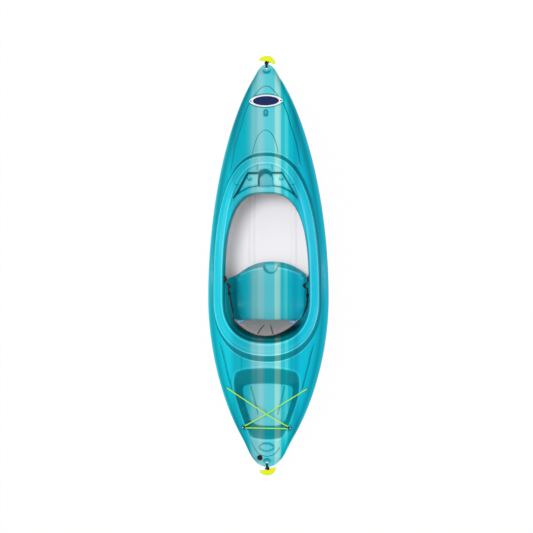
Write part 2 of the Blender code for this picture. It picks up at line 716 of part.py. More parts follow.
def collection(name):
    """New collection in the scene."""
    made = bpy.data.collections.new(name)
    bpy.context.scene.collection.children.link(made)
    return made


for leftover in list(bpy.data.objects):
    bpy.data.objects.remove(leftover)

KAYAK = collection("recreational_kayak")
CUTTERS = collection("cutters")

DECK_TEAL = material("deck_teal", (0.02, 0.42, 0.50), 0.28)
HULL_TEAL = material("hull_teal", (0.01, 0.30, 0.40), 0.32)
FOAM_GREY = material("foam_grey", (0.55, 0.55, 0.56), 0.9)
PAD_GREY = material("pad_grey", (0.27, 0.26, 0.27), 0.85)
BLACK_PLASTIC = material("black_plastic", (0.02, 0.02, 0.02), 0.5)
BLACK_WEBBING = material("black_webbing", (0.03, 0.03, 0.03), 0.9)
TAB_BLUE = material("tab_blue", (0.12, 0.50, 0.90), 0.7)
PLATE_WHITE = material("plate_white", (0.80, 0.78, 0.78), 0.35)
STEEL = material("steel", (0.75, 0.75, 0.76), 0.3, 1.0)
BUNGEE_LIME = material("bungee_lime", (0.45, 0.75, 0.05), 0.7)
GRIP_LIME = material("grip_lime", (0.70, 0.80, 0.0), 0.45)
RUBBER_BLACK = material("rubber_black", (0.03, 0.03, 0.03), 0.7)


def named(obj, name, finish, where=KAYAK):
    """Names an object, gives it its material and files it in its collection."""
    obj.name = obj.data.name = name
    obj.data.materials.clear()
    if finish is not None:
        obj.data.materials.append(finish)
    for old in list(obj.users_collection):
        old.objects.unlink(obj)
    where.objects.link(obj)
    if where is CUTTERS:
        obj.hide_render = True
        obj.display_type = "WIRE"
    return obj


def mesh_object(name, verts, faces, finish, where=KAYAK):
    """Object from points and faces."""
    data = bpy.data.meshes.new(name)
    data.from_pydata([tuple(map(float, v)) for v in verts], [], [tuple(map(int, f)) for f in faces])
    obj = bpy.data.objects.new(name, data)
    bpy.context.scene.collection.objects.link(obj)
    return named(obj, name, finish, where)


def give_wall(obj, thickness, offset=-1.0):
    """Wall on the side away from the surface's normals."""
    wall = obj.modifiers.new("wall", "SOLIDIFY")
    wall.thickness = thickness
    wall.offset = offset
    return obj


def sheet_object(name, plan, faces, heights, flange_z, finish):
    """Thermoformed sheet: an open surface with an upright flange down or up to the seam, with its wall."""
    verts = np.column_stack([plan, heights])
    directed = {(int(f[k]), int(f[(k + 1) % 3])) for f in faces for k in range(3)}
    at_seam = np.abs(np.abs(plan[:, 0]) - half_beam(plan[:, 1])) < 1e-5
    rim = [(a, b) for a, b in directed if (b, a) not in directed and at_seam[a] and at_seam[b]]
    lower = {a: len(verts) + k for k, a in enumerate(sorted({a for edge in rim for a in edge}))}
    below = np.array([(*plan[a], float(seam_z(plan[a, 1])) + flange_z) for a in lower])
    skirt = [(b, a, lower[a], lower[b]) for a, b in sorted(rim)]
    obj = mesh_object(name, np.vstack([verts, below]), [*faces, *skirt], finish)
    bm = bmesh.new()
    bm.from_mesh(obj.data)
    bmesh.ops.delete(bm, geom=[v for v in bm.verts if not v.link_faces], context="VERTS")
    bm.to_mesh(obj.data)
    bm.free()
    return give_wall(obj, SHEET)


def facing(position, direction=(0, 0, 1)):
    """Placement at the position with +Z turned to the direction."""
    return Matrix.Translation(position) @ Vector(direction).to_track_quat("Z", "Y").to_matrix().to_4x4()


def turned(name, profile, finish, place, where=KAYAK, steps=16, hollow=False):
    """Turned piece from a (radius, height) profile that runs from top to bottom."""
    data = bpy.data.meshes.new(name)
    count = len(profile)
    edges = [(k, k + 1) for k in range(count - 1)] + ([(count - 1, 0)] if hollow else [])
    data.from_pydata([(r, 0.0, z) for r, z in profile], edges, [])
    obj = bpy.data.objects.new(name, data)
    bpy.context.scene.collection.objects.link(obj)
    screw = obj.modifiers.new("turn", "SCREW")
    screw.steps = screw.render_steps = steps
    screw.use_merge_vertices = True
    screw.merge_threshold = 0.00001
    obj.matrix_world = place
    return named(obj, name, finish, where)


def tube(name, points, radius, finish, where=KAYAK, cyclic=False):
    """Round cord or wire through the points."""
    data = bpy.data.curves.new(name, "CURVE")
    data.dimensions = "3D"
    data.bevel_depth = radius
    data.bevel_resolution = 1
    data.use_fill_caps = True
    line = data.splines.new("POLY")
    line.points.add(len(points) - 1)
    for place, point in zip(line.points, points):
        place.co = (*point, 1.0)
    line.use_cyclic_u = cyclic
    obj = bpy.data.objects.new(name, data)
    bpy.context.scene.collection.objects.link(obj)
    return named(obj, name, finish, where)


def as_mesh(obj):
    """The evaluated object as a mesh object with its caps welded, in place of the old one."""
    bpy.context.view_layer.update()
    graph = bpy.context.evaluated_depsgraph_get()
    data = bpy.data.meshes.new_from_object(obj.evaluated_get(graph))
    bm = bmesh.new()
    bm.from_mesh(data)
    bmesh.ops.remove_doubles(bm, verts=bm.verts, dist=0.00001)
    bm.to_mesh(data)
    bm.free()
    name, finish, where = obj.name, obj.data.materials[0], obj.users_collection[0]
    made = bpy.data.objects.new(name, data)
    made.matrix_world = obj.matrix_world
    bpy.context.scene.collection.objects.link(made)
    bpy.data.objects.remove(obj)
    return named(made, name, finish, where)


def boolean(obj, other, operation):
    """Boolean with another object, which is kept as a hidden helper."""
    if other.users_collection[0] is not CUTTERS:
        named(other, other.name, None, CUTTERS)
    step = obj.modifiers.new(other.name, "BOOLEAN")
    step.operation = operation
    step.solver = "EXACT"
    step.object = other
    return obj


def rod(name, radius, length, place, steps=14):
    """Hidden cylinder along its own Z, about its middle, for cuts and joins."""
    profile = ((0, length / 2), (radius, length / 2), (radius, -length / 2), (0, -length / 2))
    return turned(name, profile, None, place, CUTTERS, steps)


def box(name, size, finish, place, where=KAYAK):
    """Block of the given size."""
    bpy.ops.mesh.primitive_cube_add(size=1.0)
    obj = bpy.context.object
    obj.data.transform(Matrix.Diagonal((*size, 1.0)))
    obj.matrix_world = place
    return named(obj, name, finish, where)


def bevelled(obj, width, segments=2):
    """Rounded edges."""
    edge = obj.modifiers.new("round", "BEVEL")
    edge.width = width
    edge.segments = segments
    edge.limit_method = "ANGLE"
    return obj


def smooth(obj, degrees=35):
    """Smooth shading with the sharp edges kept."""
    obj.data.shade_smooth()
    obj.data.set_sharp_from_angle(angle=math.radians(degrees))
    return obj


def tip_holes(steps=14):
    """Loops of the cord holes at the two tips."""
    return [ring(0.0, end * (TIP_Y - CORD_HOLE_INSET), CORD_HOLE_RADIUS, steps) for _, end in ENDS]


def make_hull():
    """Lower sheet, from the seam's flange down to the keel."""
    near_tip = np.abs(HULL_BODY[:, 1]) > TIP_Y - STEM_INSET - STEM_TAPER_LENGTH
    lines = kept_runs(HULL_BODY, near_tip)
    lines += lengthwise_lines((0.975, 0.92, 0.82, 0.66), TIP_Y - STEM_INSET - STEM_TAPER_LENGTH)
    edges = (0.0, CHANNEL_SLOPE, CHANNEL_WIDTH - CHANNEL_SLOPE, CHANNEL_WIDTH)
    y = np.linspace(-CHANNEL_HALF_LENGTH, CHANNEL_HALF_LENGTH, 19)
    for x in (CHANNEL_INNER_X + e for e in edges):
        lines += [np.column_stack([side * x + 0 * y, y]) for _, side in SIDES]
    keel = np.linspace(-TIP_Y + STEM_INSET + 0.01, TIP_Y - STEM_INSET - 0.01, 33)
    lines.append(np.column_stack([0 * keel, keel]))
    fill = fill_points((0.25, 0.5), 1.4 * FILL_STEP)
    plan, faces = triangulated(seam_outline(), lines, fill, tip_holes())
    heights = hull_height(*plan.T)
    return smooth(sheet_object("hull_shell", plan, faces[:, ::-1], heights, -GAP / 2, HULL_TEAL))


def eye_frame(side):
    """Boss centre of a pad eye, and the unit vector from it toward the tank well."""
    toward = np.array(PAD_EYE_TOWARDS) / np.hypot(*PAD_EYE_TOWARDS) * (side, 1)
    return np.array((side * PAD_EYE[0], PAD_EYE[1])), toward


def eye_spot(side, reach):
    """Plan place at a distance along a pad eye from its boss's centre."""
    centre, toward = eye_frame(side)
    return centre + toward * reach


def plate_outline():
    """Outline of the name plate."""
    turn = np.arange(360) * math.pi / 180
    across, ahead = np.cos(turn), np.sin(turn)
    x = PLATE_HALF_LENGTH * np.sign(across) * np.abs(across) ** (2 / PLATE_POWER)
    y = PLATE_HALF_WIDTH * np.sign(ahead) * np.abs(ahead) ** (2 / PLATE_POWER)
    return evenly(np.column_stack([x, PLATE_Y + y]), 1.2 * DETAIL_STEP)


def plate_points():
    """Points within the plate, shared with the deck so that the plate lies on it evenly."""
    middle = [(x, PLATE_Y) for x in np.linspace(-0.8, 0.8, 9) * PLATE_HALF_LENGTH]
    rows = np.linspace(-0.6, 0.6, 7) * PLATE_HALF_LENGTH
    return middle + [(x, PLATE_Y + side * PLATE_HALF_WIDTH / 2) for _, side in SIDES for x in rows]


def deck_openings():
    """Loops of the openings that go down through the deck."""
    loops = [leg_opening(), *tip_holes()]
    loops.append(ring(*DRAIN, DRAIN_SLEEVE_RADIUS + HOLE_CLEARANCE, 16))
    for _, side in SIDES:
        loops.append(ring(side * BUNGEE_HOLE[0], BUNGEE_HOLE[1], BUNGEE_HOLE_RADIUS, 10))
        loops.append(ring(*eye_spot(side, EYE_SCREW_AT), SCREW_SHANK_RADIUS + HOLE_CLEARANCE, 8))
        loops.append(ring(side * BRACKET_SCREW[0], BRACKET_SCREW[1], SCREW_SHANK_RADIUS + HOLE_CLEARANCE, 8))
    return loops


def deck_lines():
    """Edges of the deck's mouldings, as lines that its mesh follows."""
    outline = seam_outline()
    lines = [np.vstack([loop, loop[:1]]) for loop in (FOOT, RIDGE, INNER_RIDGE, EDGE, *TRAYS[0], *TRAYS[1])]
    cup_loops = (evenly(CUP, DETAIL_STEP), evenly(CUP_FLOOR, DETAIL_STEP))
    lines += [np.vstack([loop, loop[:1]]) for loop in cup_loops]
    lines.append(lip_parts()[1])
    for share in (0.25, 0.7, 1.0):
        loop = midway(LIP_FOOT, TUB_FLOOR, share)
        lines += kept_runs(loop, loop[:, 1] < seat_edge(loop[:, 0]) - 0.4 * EDGE_STEP)
    x = np.linspace(-SEAT_CREST_HALF, SEAT_CREST_HALF, 17)
    crest = seat_line(x, SEAT_CREST_Y, SEAT_CREST_SWEEP, SEAT_CREST_HALF)
    lines += [np.column_stack([x, mix(crest, seat_edge(x), share)]) for share in (0.0, 0.35, 0.7)]
    for radius in (NOTCH_RADIUS, NOTCH_FLOOR_RADIUS):
        loop = ring(0.0, NOTCH_Y, radius, 28)
        lines += kept_runs(loop, loop[:, 1] < seat_edge(loop[:, 0]) - 0.3 * DETAIL_STEP)
    bosses = [ring(*eye_frame(side)[0], BOSS_RADIUS + BOSS_SLOPE, 16) for _, side in SIDES]
    for loop in (RIM, midway(RIM, WELL, 0.2), midway(RIM, WELL, 0.8), WELL):
        clear = np.max([inside(boss, *loop.T) for boss in bosses], axis=0) < 0
        lines += kept_runs(loop, clear)
    for _, side in SIDES:
        for radius in (BOSS_RADIUS, BOSS_RADIUS - BOSS_SLOPE):
            loop = ring(*eye_frame(side)[0], radius, 16)
            lines.append(np.vstack([loop, loop[:1]]))
    for radius in (DRAIN_FLANGE_RADIUS + BOSS_SLOPE, DRAIN_FLANGE_RADIUS):
        loop = ring(*DRAIN, radius, 16)
        lines += kept_runs(loop, inside(outline, *loop.T) > 0.2 * DETAIL_STEP)
    for end, radius in ((1.0, BOW_DISH_RADIUS), (-1.0, STERN_DISH_RADIUS)):
        for reach in (radius, radius - DISH_SLOPE):
            loop = ring(0.0, end * (TIP_Y - DISH_INSET), reach, 20)
            lines += kept_runs(loop, inside(outline, *loop.T) > 0.4 * DETAIL_STEP)
    plate = plate_outline()
    lines.append(np.vstack([plate, plate[:1]]))
    lines += lengthwise_lines((0.985, 0.955, 0.91), TIP_Y - 3 * DISH_INSET, [FOOT])
    return lines


def make_deck():
    """Upper sheet with its mouldings, and the name plate that follows the same surface."""
    fill = fill_points((0.0, 0.2, 0.4, 0.6, 0.8))
    plan, faces = triangulated(seam_outline(), deck_lines(), fill, deck_openings(), plate_points())
    heights = deck_height(*plan.T)
    deck = sheet_object("deck_shell", plan, faces, heights, GAP / 2, DECK_TEAL)
    below = faces[inside(plate_outline(), *plan[faces].mean(axis=1).T) > 0]
    used, places = np.unique(below, return_inverse=True)
    raised = np.column_stack([plan[used], heights[used] + 1.1 * GAP])
    plate = mesh_object("name_plate", raised, places.reshape(-1, 3), PLATE_WHITE)
    return deck, give_wall(plate, PLATE_THICKNESS, 1.0)


def surface_tree(obj):
    """Search tree over the object as it stands."""
    bpy.context.view_layer.update()
    return BVHTree.FromObject(obj, bpy.context.evaluated_depsgraph_get())


def settled(tree, place, contact, reach=0.03):
    """The placement moved along its own Z until its nearest contact point lies one gap off the surface."""
    down = -place.to_3x3().col[2].normalized()
    drops = []
    for point in contact:
        start = place @ Vector(point) - down * reach
        hit = tree.ray_cast(start, down, 2 * reach)
        if hit[0] is not None:
            drops.append(hit[3] - reach)
    return Matrix.Translation(down * (min(drops) - GAP)) @ place


def disc_points(radius, count=12):
    """Centre and rim of a disc in its own plane."""
    turn = np.arange(count) * 2 * math.pi / count
    return [(0.0, 0.0, 0.0)] + [(radius * math.cos(a), radius * math.sin(a), 0.0) for a in turn]


def block_points(length, width, steps=4):
    """Grid over a rectangle in its own plane."""
    rows = np.linspace(-width / 2, width / 2, steps)
    return [(x, y, 0.0) for x in np.linspace(-length / 2, length / 2, steps) for y in rows]


def normal_place(tree, near, direction):
    """Placement on the surface first met from a point, with +Z along its outward normal."""
    hit = tree.ray_cast(Vector(near), Vector(direction).normalized())
    normal = hit[1] if hit[1].dot(Vector(direction)) < 0 else -hit[1]
    return facing(hit[0], normal)


def rivet(name, place, head, shank, wall, finish):
    """Rivet from (radius, height) of its head, through a wall, clenched behind it."""
    behind = -wall - 2 * GAP
    tail = behind - RIVET_TAIL_HEIGHT
    profile = (
        (0.0, head[1]), (0.6 * head[0], 0.85 * head[1]), (head[0], 0.25 * head[1]), (head[0], 0.0),
        (shank, 0.0), (shank, behind), (1.6 * shank, behind), (1.3 * shank, tail), (0.0, tail),
    )
    return smooth(turned(name, profile, finish, place, steps=12))


def screw(name, place, length=SCREW_LENGTH):
    """Pan-head screw whose head rests at the placement."""
    head, rise, shank = SCREW_HEAD_RADIUS, SCREW_HEAD_HEIGHT, SCREW_SHANK_RADIUS
    profile = (
        (0.0, rise), (0.55 * head, rise), (head, 0.5 * rise), (head, 0.0), (shank, 0.0),
        (shank, -length + shank), (0.0, -length),
    )
    return smooth(turned(name, profile, STEEL, place, steps=12))


def make_plate_rivets(deck, plate):
    """The name plate's two rivets, square to its surface."""
    tree = surface_tree(plate)
    for label, side in SIDES:
        place = normal_place(tree, (side * PLATE_RIVET_X, PLATE_Y, 0.5), (0, 0, -1))
        place = settled(tree, place, disc_points(RIVET_HEAD_RADIUS))
        hole = rod(f"plate_rivet_hole_{label}", RIVET_SHANK_RADIUS + HOLE_CLEARANCE, 0.03, place, 12)
        boolean(deck, hole, "DIFFERENCE")
        boolean(plate, hole, "DIFFERENCE")
        wall = PLATE_THICKNESS + SHEET + 3 * GAP
        head = (RIVET_HEAD_RADIUS, RIVET_HEAD_HEIGHT)
        rivet(f"name_plate_rivet_{label}", place, head, RIVET_SHANK_RADIUS, wall, BLACK_PLASTIC)


def make_side_rivets(deck, tree):
    """Rivets low on the tub's side walls."""
    for label, side in SIDES:
        place = normal_place(tree, (0.0, SIDE_RIVET_Y, SIDE_RIVET_Z), (side, 0, 0))
        place = settled(tree, place, disc_points(SIDE_RIVET_HEAD_RADIUS))
        hole = rod(f"side_rivet_hole_{label}", SIDE_RIVET_SHANK_RADIUS + HOLE_CLEARANCE, 0.03, place, 12)
        boolean(deck, hole, "DIFFERENCE")
        head = (SIDE_RIVET_HEAD_RADIUS, SIDE_RIVET_HEAD_HEIGHT)
        rivet(f"side_rivet_{label}", place, head, SIDE_RIVET_SHANK_RADIUS, SHEET + 2 * GAP, BLACK_PLASTIC)


def ribbon(name, path, ups, finish):
    """Webbing on edge along the path, its width along the given up directions."""
    points = [Vector(p) for p in path]
    verts, faces = [], []
    for k, point in enumerate(points):
        ahead = (points[min(k + 1, len(points) - 1)] - points[max(k - 1, 0)]).normalized()
        up = Vector(ups[k]).normalized()
        across = ahead.cross(up).normalized()
        bend = 1.0
        if 0 < k < len(points) - 1:
            before, after = (point - points[k - 1]).normalized(), (points[k + 1] - point).normalized()
            bend = 1.0 / max(0.5, math.sqrt((1.0 + before.dot(after)) / 2))
        for rise, out in ((-1, -1), (1, -1), (1, 1), (-1, 1)):
            verts.append(point + up * rise * STRAP_WIDTH / 2 + across * out * bend * STRAP_THICKNESS / 2)
    for k in range(len(points) - 1):
        for c in range(4):
            a, b = 4 * k + c, 4 * k + (c + 1) % 4
            faces.append((a, b, b + 4, a + 4))
    last = 4 * (len(points) - 1)
    faces += [(3, 2, 1, 0), (last, last + 1, last + 2, last + 3)]
    return mesh_object(name, verts, faces, finish)


def back_point(s, t, out=0.0):
    """Point of the backrest's rear surface, moved out along its normal; s from -1 to 1, t from 0 to 1."""
    def at(s, t):
        half = mix(BACK_LOW_HALF, BACK_TOP_HALF, t)
        z = BACK_LOW_Z + (BACK_HEIGHT - BACK_CORNER_DROP * s * s) * t
        return Vector((half * s, BACK_LOW_Y - BACK_RECLINE * t + BACK_WING * t * s * s, z))
    step = 1e-4
    normal = (at(s + step, t) - at(s - step, t)).cross(at(s, t + step) - at(s, t - step)).normalized()
    return at(s, t) + normal * out


def make_straps(deck, tree):
    """Strap anchors on the coaming's lip, the two straps and their screws and buckles."""
    level = mix(lip_foot_height(ANCHOR_Y), console_height(ANCHOR_Y), 0.5)
    for label, side in SIDES:
        place = normal_place(tree, (0.0, ANCHOR_Y, level), (side, 0, 0))
        normal = place.to_3x3().col[2]
        ahead = (normal * normal.y * side - Vector((0, side, 0))).normalized()
        up = normal.cross(ahead)
        frame = Matrix((ahead, up, normal)).transposed()
        place = Matrix.Translation(place.translation) @ frame.to_4x4()
        place = settled(tree, place, block_points(ANCHOR_LENGTH, ANCHOR_HEIGHT))
        size = (ANCHOR_LENGTH, ANCHOR_HEIGHT, ANCHOR_THICKNESS)
        middle = place @ Matrix.Translation((0, 0, ANCHOR_THICKNESS / 2))
        anchor = bevelled(box(f"strap_anchor_{label}", size, BLACK_PLASTIC, middle), SMALL_ROUND)
        face = place @ Vector((0, 0, ANCHOR_THICKNESS + GAP + STRAP_THICKNESS / 2))
        run = [face - ahead * side * STRAP_ON_ANCHOR, face + ahead * side * STRAP_ON_ANCHOR]
        route = STRAP_ROUTES[label]
        corner_z = back_point(side, STRAP_END_SHARE).z
        lengths = np.cumsum([0.0] + [math.hypot(b[0] - a[0], b[1] - a[1]) for a, b in zip(route, route[1:])])
        for (inward, y), done in zip(route, lengths / (lengths[-1] + STRAP_CORNER_RUN)):
            run.append(Vector((side * (OPENING[0] - inward), y, mix(face.z, corner_z, float(done)))))
        out = BOARD_THICKNESS + 2 * GAP + STRAP_THICKNESS / 2
        lie = [side * s for s in np.linspace(STRAP_OFF_BOARD_SHARE, 1.0 - STRAP_ON_BOARD / BACK_TOP_HALF, 5)]
        run += [back_point(s, STRAP_END_SHARE, out + GAP) for s in lie]
        upright = [back_point(s, STRAP_END_SHARE + 0.05) - back_point(s, STRAP_END_SHARE - 0.05) for s in lie]
        free = len(run) - len(lie)
        ups = [up.lerp(upright[0].normalized(), k / free) for k in range(free)] + upright
        strap = ribbon(f"strap_{label}", run, ups, BLACK_WEBBING)
        head = place @ Matrix.Translation((0, 0, ANCHOR_THICKNESS + STRAP_THICKNESS + 2 * GAP))
        hole = rod(f"anchor_hole_{label}", SCREW_SHANK_RADIUS + HOLE_CLEARANCE, 0.04, head, 12)
        for piece in (deck, anchor, strap):
            boolean(piece, hole, "DIFFERENCE")
        screw(f"strap_anchor_screw_{label}", head)
        first = 2 + BUCKLE_LEG[label]
        start, end = run[first], run[first + 1]
        along_strap = (end - start).normalized()
        upright = ups[first].lerp(ups[first + 1], 0.5)
        upright = (upright - along_strap * upright.dot(along_strap)).normalized()
        axes = Matrix((along_strap, upright, along_strap.cross(upright))).transposed().to_4x4()
        at = Matrix.Translation(start + along_strap * BUCKLE_AT) @ axes
        size = (BUCKLE_LENGTH, BUCKLE_HEIGHT, BUCKLE_THICKNESS)
        buckle = bevelled(box(f"strap_buckle_{label}", size, BLACK_PLASTIC, at), SMALL_ROUND)
        slot = (2 * BUCKLE_LENGTH, STRAP_WIDTH + BUCKLE_CLEARANCE, STRAP_THICKNESS + BUCKLE_CLEARANCE)
        boolean(buckle, box(f"buckle_slot_{label}", slot, None, at, CUTTERS), "DIFFERENCE")
        print("buckle", label, [round(v, 5) for v in at.translation], [round(v, 5) for v in along_strap])


def pad_depth(s, t):
    """Thickness of the backrest's pad, drawn in at its edges and along its two seams."""
    crown_share = (1.0 - abs(s) ** 5) ** 0.5 * max(0.0, 1.0 - abs(2 * t - 1.0) ** 4) ** 0.5
    depth = mix(PAD_EDGE_THICKNESS, PAD_THICKNESS, crown_share)
    x = abs(s) * mix(BACK_LOW_HALF, BACK_TOP_HALF, t)
    (low, low_x), (high, high_x) = PAD_SEAM
    off = abs(x - mix(low_x, high_x, (t - low) / (high - low))) / PAD_SEAM_HALF_WIDTH
    run = float(ease((t - low + 0.12) / 0.12)) * float(ease((high + 0.06 - t) / 0.06))
    return depth - PAD_SEAM_DEPTH * run * max(0.0, 1.0 - off)


def back_grid():
    """Shares across and up the backrest at which its points lie."""
    across = np.linspace(-1.0, 1.0, BACK_COLUMNS)
    up = np.linspace(0.0, 1.0, BACK_ROWS)
    return across, up


def slab(name, near, far, finish):
    """Closed slab between two grids of points."""
    rows, columns = len(near), len(near[0])
    verts = [p for row in near for p in row] + [p for row in far for p in row]
    count = rows * columns
    faces = []
    for r in range(rows - 1):
        for c in range(columns - 1):
            a = r * columns + c
            for face in ((a, a + 1, a + columns + 1), (a, a + columns + 1, a + columns)):
                faces += [face, tuple(count + v for v in reversed(face))]
    rim = [c for c in range(columns)]
    rim += [r * columns + columns - 1 for r in range(1, rows)]
    rim += [(rows - 1) * columns + c for c in range(columns - 2, -1, -1)]
    rim += [r * columns for r in range(rows - 2, 0, -1)]
    for a, b in zip(rim, rim[1:] + rim[:1]):
        faces.append((b, a, count + a, count + b))
    obj = mesh_object(name, verts, faces, finish)
    bm = bmesh.new()
    bm.from_mesh(obj.data)
    bmesh.ops.recalc_face_normals(bm, faces=bm.faces)
    bm.to_mesh(obj.data)
    bm.free()
    return obj


def make_backrest():
    """Padded backrest on its board, with the binding, the tabs and the hinge lugs."""
    across, up = back_grid()
    rear = [[back_point(s, t) for s in across] for t in up]
    front = [[back_point(s, t, -pad_depth(s, t)) for s in across] for t in up]
    pad = smooth(slab("backrest_pad", rear, front, PAD_GREY), 50)
    near = [[back_point(s, t, GAP) for s in across] for t in up]
    far = [[back_point(s, t, GAP + BOARD_THICKNESS) for s in across] for t in up]
    board = slab("backrest_board", near, far, BLACK_PLASTIC)
    length = LUG_TO_X - LUG_FROM_X
    for label, side in SIDES:
        x = side * (LUG_FROM_X + LUG_TO_X) / 2
        lug = rod(f"lug_{label}", LUG_RADIUS, length, facing((x, PIVOT_Y, PIVOT_Z), (side, 0, 0)), 18)
        boolean(board, lug, "UNION")
        rise = BACK_LOW_Z - PIVOT_Z + LUG_ARM / 2
        place = facing((x, PIVOT_Y - 0.0006, PIVOT_Z + rise / 2))
        arm = box(f"lug_arm_{label}", (length - 0.001, LUG_ARM, rise), None, place, CUTTERS)
        boolean(board, arm, "UNION")
        bore = PIVOT_PIN_RADIUS + HOLE_CLEARANCE
        from_x = side * (LUG_TO_X - PIVOT_PIN_INTO_LUG / 2 + 0.001)
        place = facing((from_x, PIVOT_Y, PIVOT_Z), (side, 0, 0))
        boolean(board, rod(f"lug_bore_{label}", bore, PIVOT_PIN_INTO_LUG + 0.002, place), "DIFFERENCE")
    line = []
    for s in np.linspace(-1.0, 1.0, 25):
        rise = (back_point(s, 1.0) - back_point(s, 0.99)).normalized()
        line.append(back_point(s, 1.0) + rise * (BINDING_RADIUS + 2 * GAP))
    smooth(as_mesh(tube("backrest_binding", line, BINDING_RADIUS, BLACK_WEBBING)))
    tree = surface_tree(pad)
    for label, side in SIDES:
        s, t = TAB_AT
        spot = back_point(side * s, t, -pad_depth(s, t) - 0.02)
        inward = back_point(side * s, t, 0.0) - spot
        place = normal_place(tree, spot, inward)
        normal = place.to_3x3().col[2]
        across_pad = (Vector((side, 0, 0)) - normal * normal.x * side).normalized()
        frame = Matrix((across_pad, normal.cross(across_pad), normal)).transposed()
        turn = frame.to_4x4() @ Matrix.Rotation(side * TAB_TURN, 4, "Z")
        place = Matrix.Translation(place.translation) @ turn
        place = settled(tree, place, block_points(TAB_LENGTH, TAB_WIDTH))
        size = (TAB_LENGTH, TAB_WIDTH, TAB_THICKNESS)
        middle = place @ Matrix.Translation((0, 0, TAB_THICKNESS / 2))
        bevelled(box(f"backrest_tab_{label}", size, TAB_BLUE, middle), 0.0005)


def make_brackets():
    """Hinge brackets on the seat floor with their screws and the pivot pins."""
    floor = SEAT_Z + GAP
    for label, side in SIDES:
        ear_from = LUG_TO_X + 2 * GAP
        ear_to = ear_from + BRACKET_EAR_THICKNESS
        foot = (ear_to - BRACKET_FOOT_FROM_X, BRACKET_FOOT_WIDTH, BRACKET_THICKNESS)
        middle = (side * (BRACKET_FOOT_FROM_X + ear_to) / 2, PIVOT_Y - 0.001, floor + BRACKET_THICKNESS / 2)
        bracket = box(f"backrest_bracket_{label}", foot, BLACK_PLASTIC, facing(middle))
        axle = facing((side * (ear_from + ear_to) / 2, PIVOT_Y, PIVOT_Z), (side, 0, 0))
        rise = PIVOT_Z - floor - 0.0005
        ear = (BRACKET_EAR_THICKNESS, 2 * BRACKET_EAR_RADIUS, rise)
        place = facing((axle.translation.x, PIVOT_Y, PIVOT_Z - rise / 2))
        boolean(bracket, box(f"ear_{label}", ear, None, place, CUTTERS), "UNION")
        ear_top = rod(f"ear_top_{label}", BRACKET_EAR_RADIUS, BRACKET_EAR_THICKNESS, axle, 20)
        boolean(bracket, ear_top, "UNION")
        hole = rod(f"ear_hole_{label}", PIVOT_PIN_RADIUS + HOLE_CLEARANCE, HOLE_CUT_LENGTH, axle)
        boolean(bracket, hole, "DIFFERENCE")
        spot = facing((side * BRACKET_SCREW[0], BRACKET_SCREW[1], floor + BRACKET_THICKNESS + GAP))
        hole = rod(f"bracket_hole_{label}", SCREW_SHANK_RADIUS + HOLE_CLEARANCE, HOLE_CUT_LENGTH, spot, 12)
        boolean(bracket, hole, "DIFFERENCE")
        screw(f"backrest_bracket_screw_{label}", spot, BRACKET_SCREW_LENGTH)
        depth = ear_to - LUG_TO_X + PIVOT_PIN_INTO_LUG - 0.001
        profile = (
            (0.0, PIVOT_PIN_HEAD), (PIVOT_PIN_HEAD_RADIUS, PIVOT_PIN_HEAD), (PIVOT_PIN_HEAD_RADIUS, 0.0),
            (PIVOT_PIN_RADIUS, 0.0), (PIVOT_PIN_RADIUS, -depth), (0.0, -depth),
        )
        place = facing((side * (ear_to + GAP), PIVOT_Y, PIVOT_Z), (side, 0, 0))
        smooth(turned(f"backrest_pivot_pin_{label}", profile, STEEL, place))


def make_pad_eyes():
    """Pad eyes on their bosses, each held by one screw."""
    for label, side in SIDES:
        centre, toward = eye_frame(side)
        top = boss_height((side * PAD_EYE[0], PAD_EYE[1])) + GAP
        turn = Matrix.Rotation(math.atan2(toward[1], toward[0]), 4, "Z")
        place = Matrix.Translation((*centre, top)) @ turn
        size = (EYE_BASE_LENGTH, EYE_BASE_WIDTH, EYE_BASE_THICKNESS)
        middle = place @ Matrix.Translation((0, 0, EYE_BASE_THICKNESS / 2))
        base = box(f"pad_eye_{label}", size, BLACK_PLASTIC, middle)
        bevelled(base, 0.0008)
        half = (EYE_POST_AT - EYE_FOOT_AT) / 2
        shoulder = EYE_ARCH_TOP - half * EYE_ARCH_ROUND
        arch = [(EYE_POST_AT, 0, EYE_BASE_THICKNESS / 2), (EYE_POST_AT, 0, shoulder)]
        for turned_by in np.linspace(0, math.pi, 7)[1:-1]:
            reach, rise = half * math.cos(turned_by), EYE_ARCH_ROUND * half * math.sin(turned_by)
            arch.append((EYE_FOOT_AT + half + reach, 0, shoulder + rise))
        arch += [(EYE_FOOT_AT, 0, shoulder), (EYE_FOOT_AT, 0, EYE_BASE_THICKNESS / 2)]
        line = [place @ Vector(p) for p in arch]
        wire = as_mesh(tube(f"eye_wire_{label}", line, EYE_WIRE_RADIUS, BLACK_PLASTIC))
        boolean(base, wire, "UNION")
        spot = place @ Matrix.Translation((EYE_SCREW_AT, 0, EYE_BASE_THICKNESS + GAP))
        hole = rod(f"eye_hole_{label}", SCREW_SHANK_RADIUS + HOLE_CLEARANCE, HOLE_CUT_LENGTH, spot, 12)
        boolean(base, hole, "DIFFERENCE")
        screw(f"pad_eye_screw_{label}", spot)


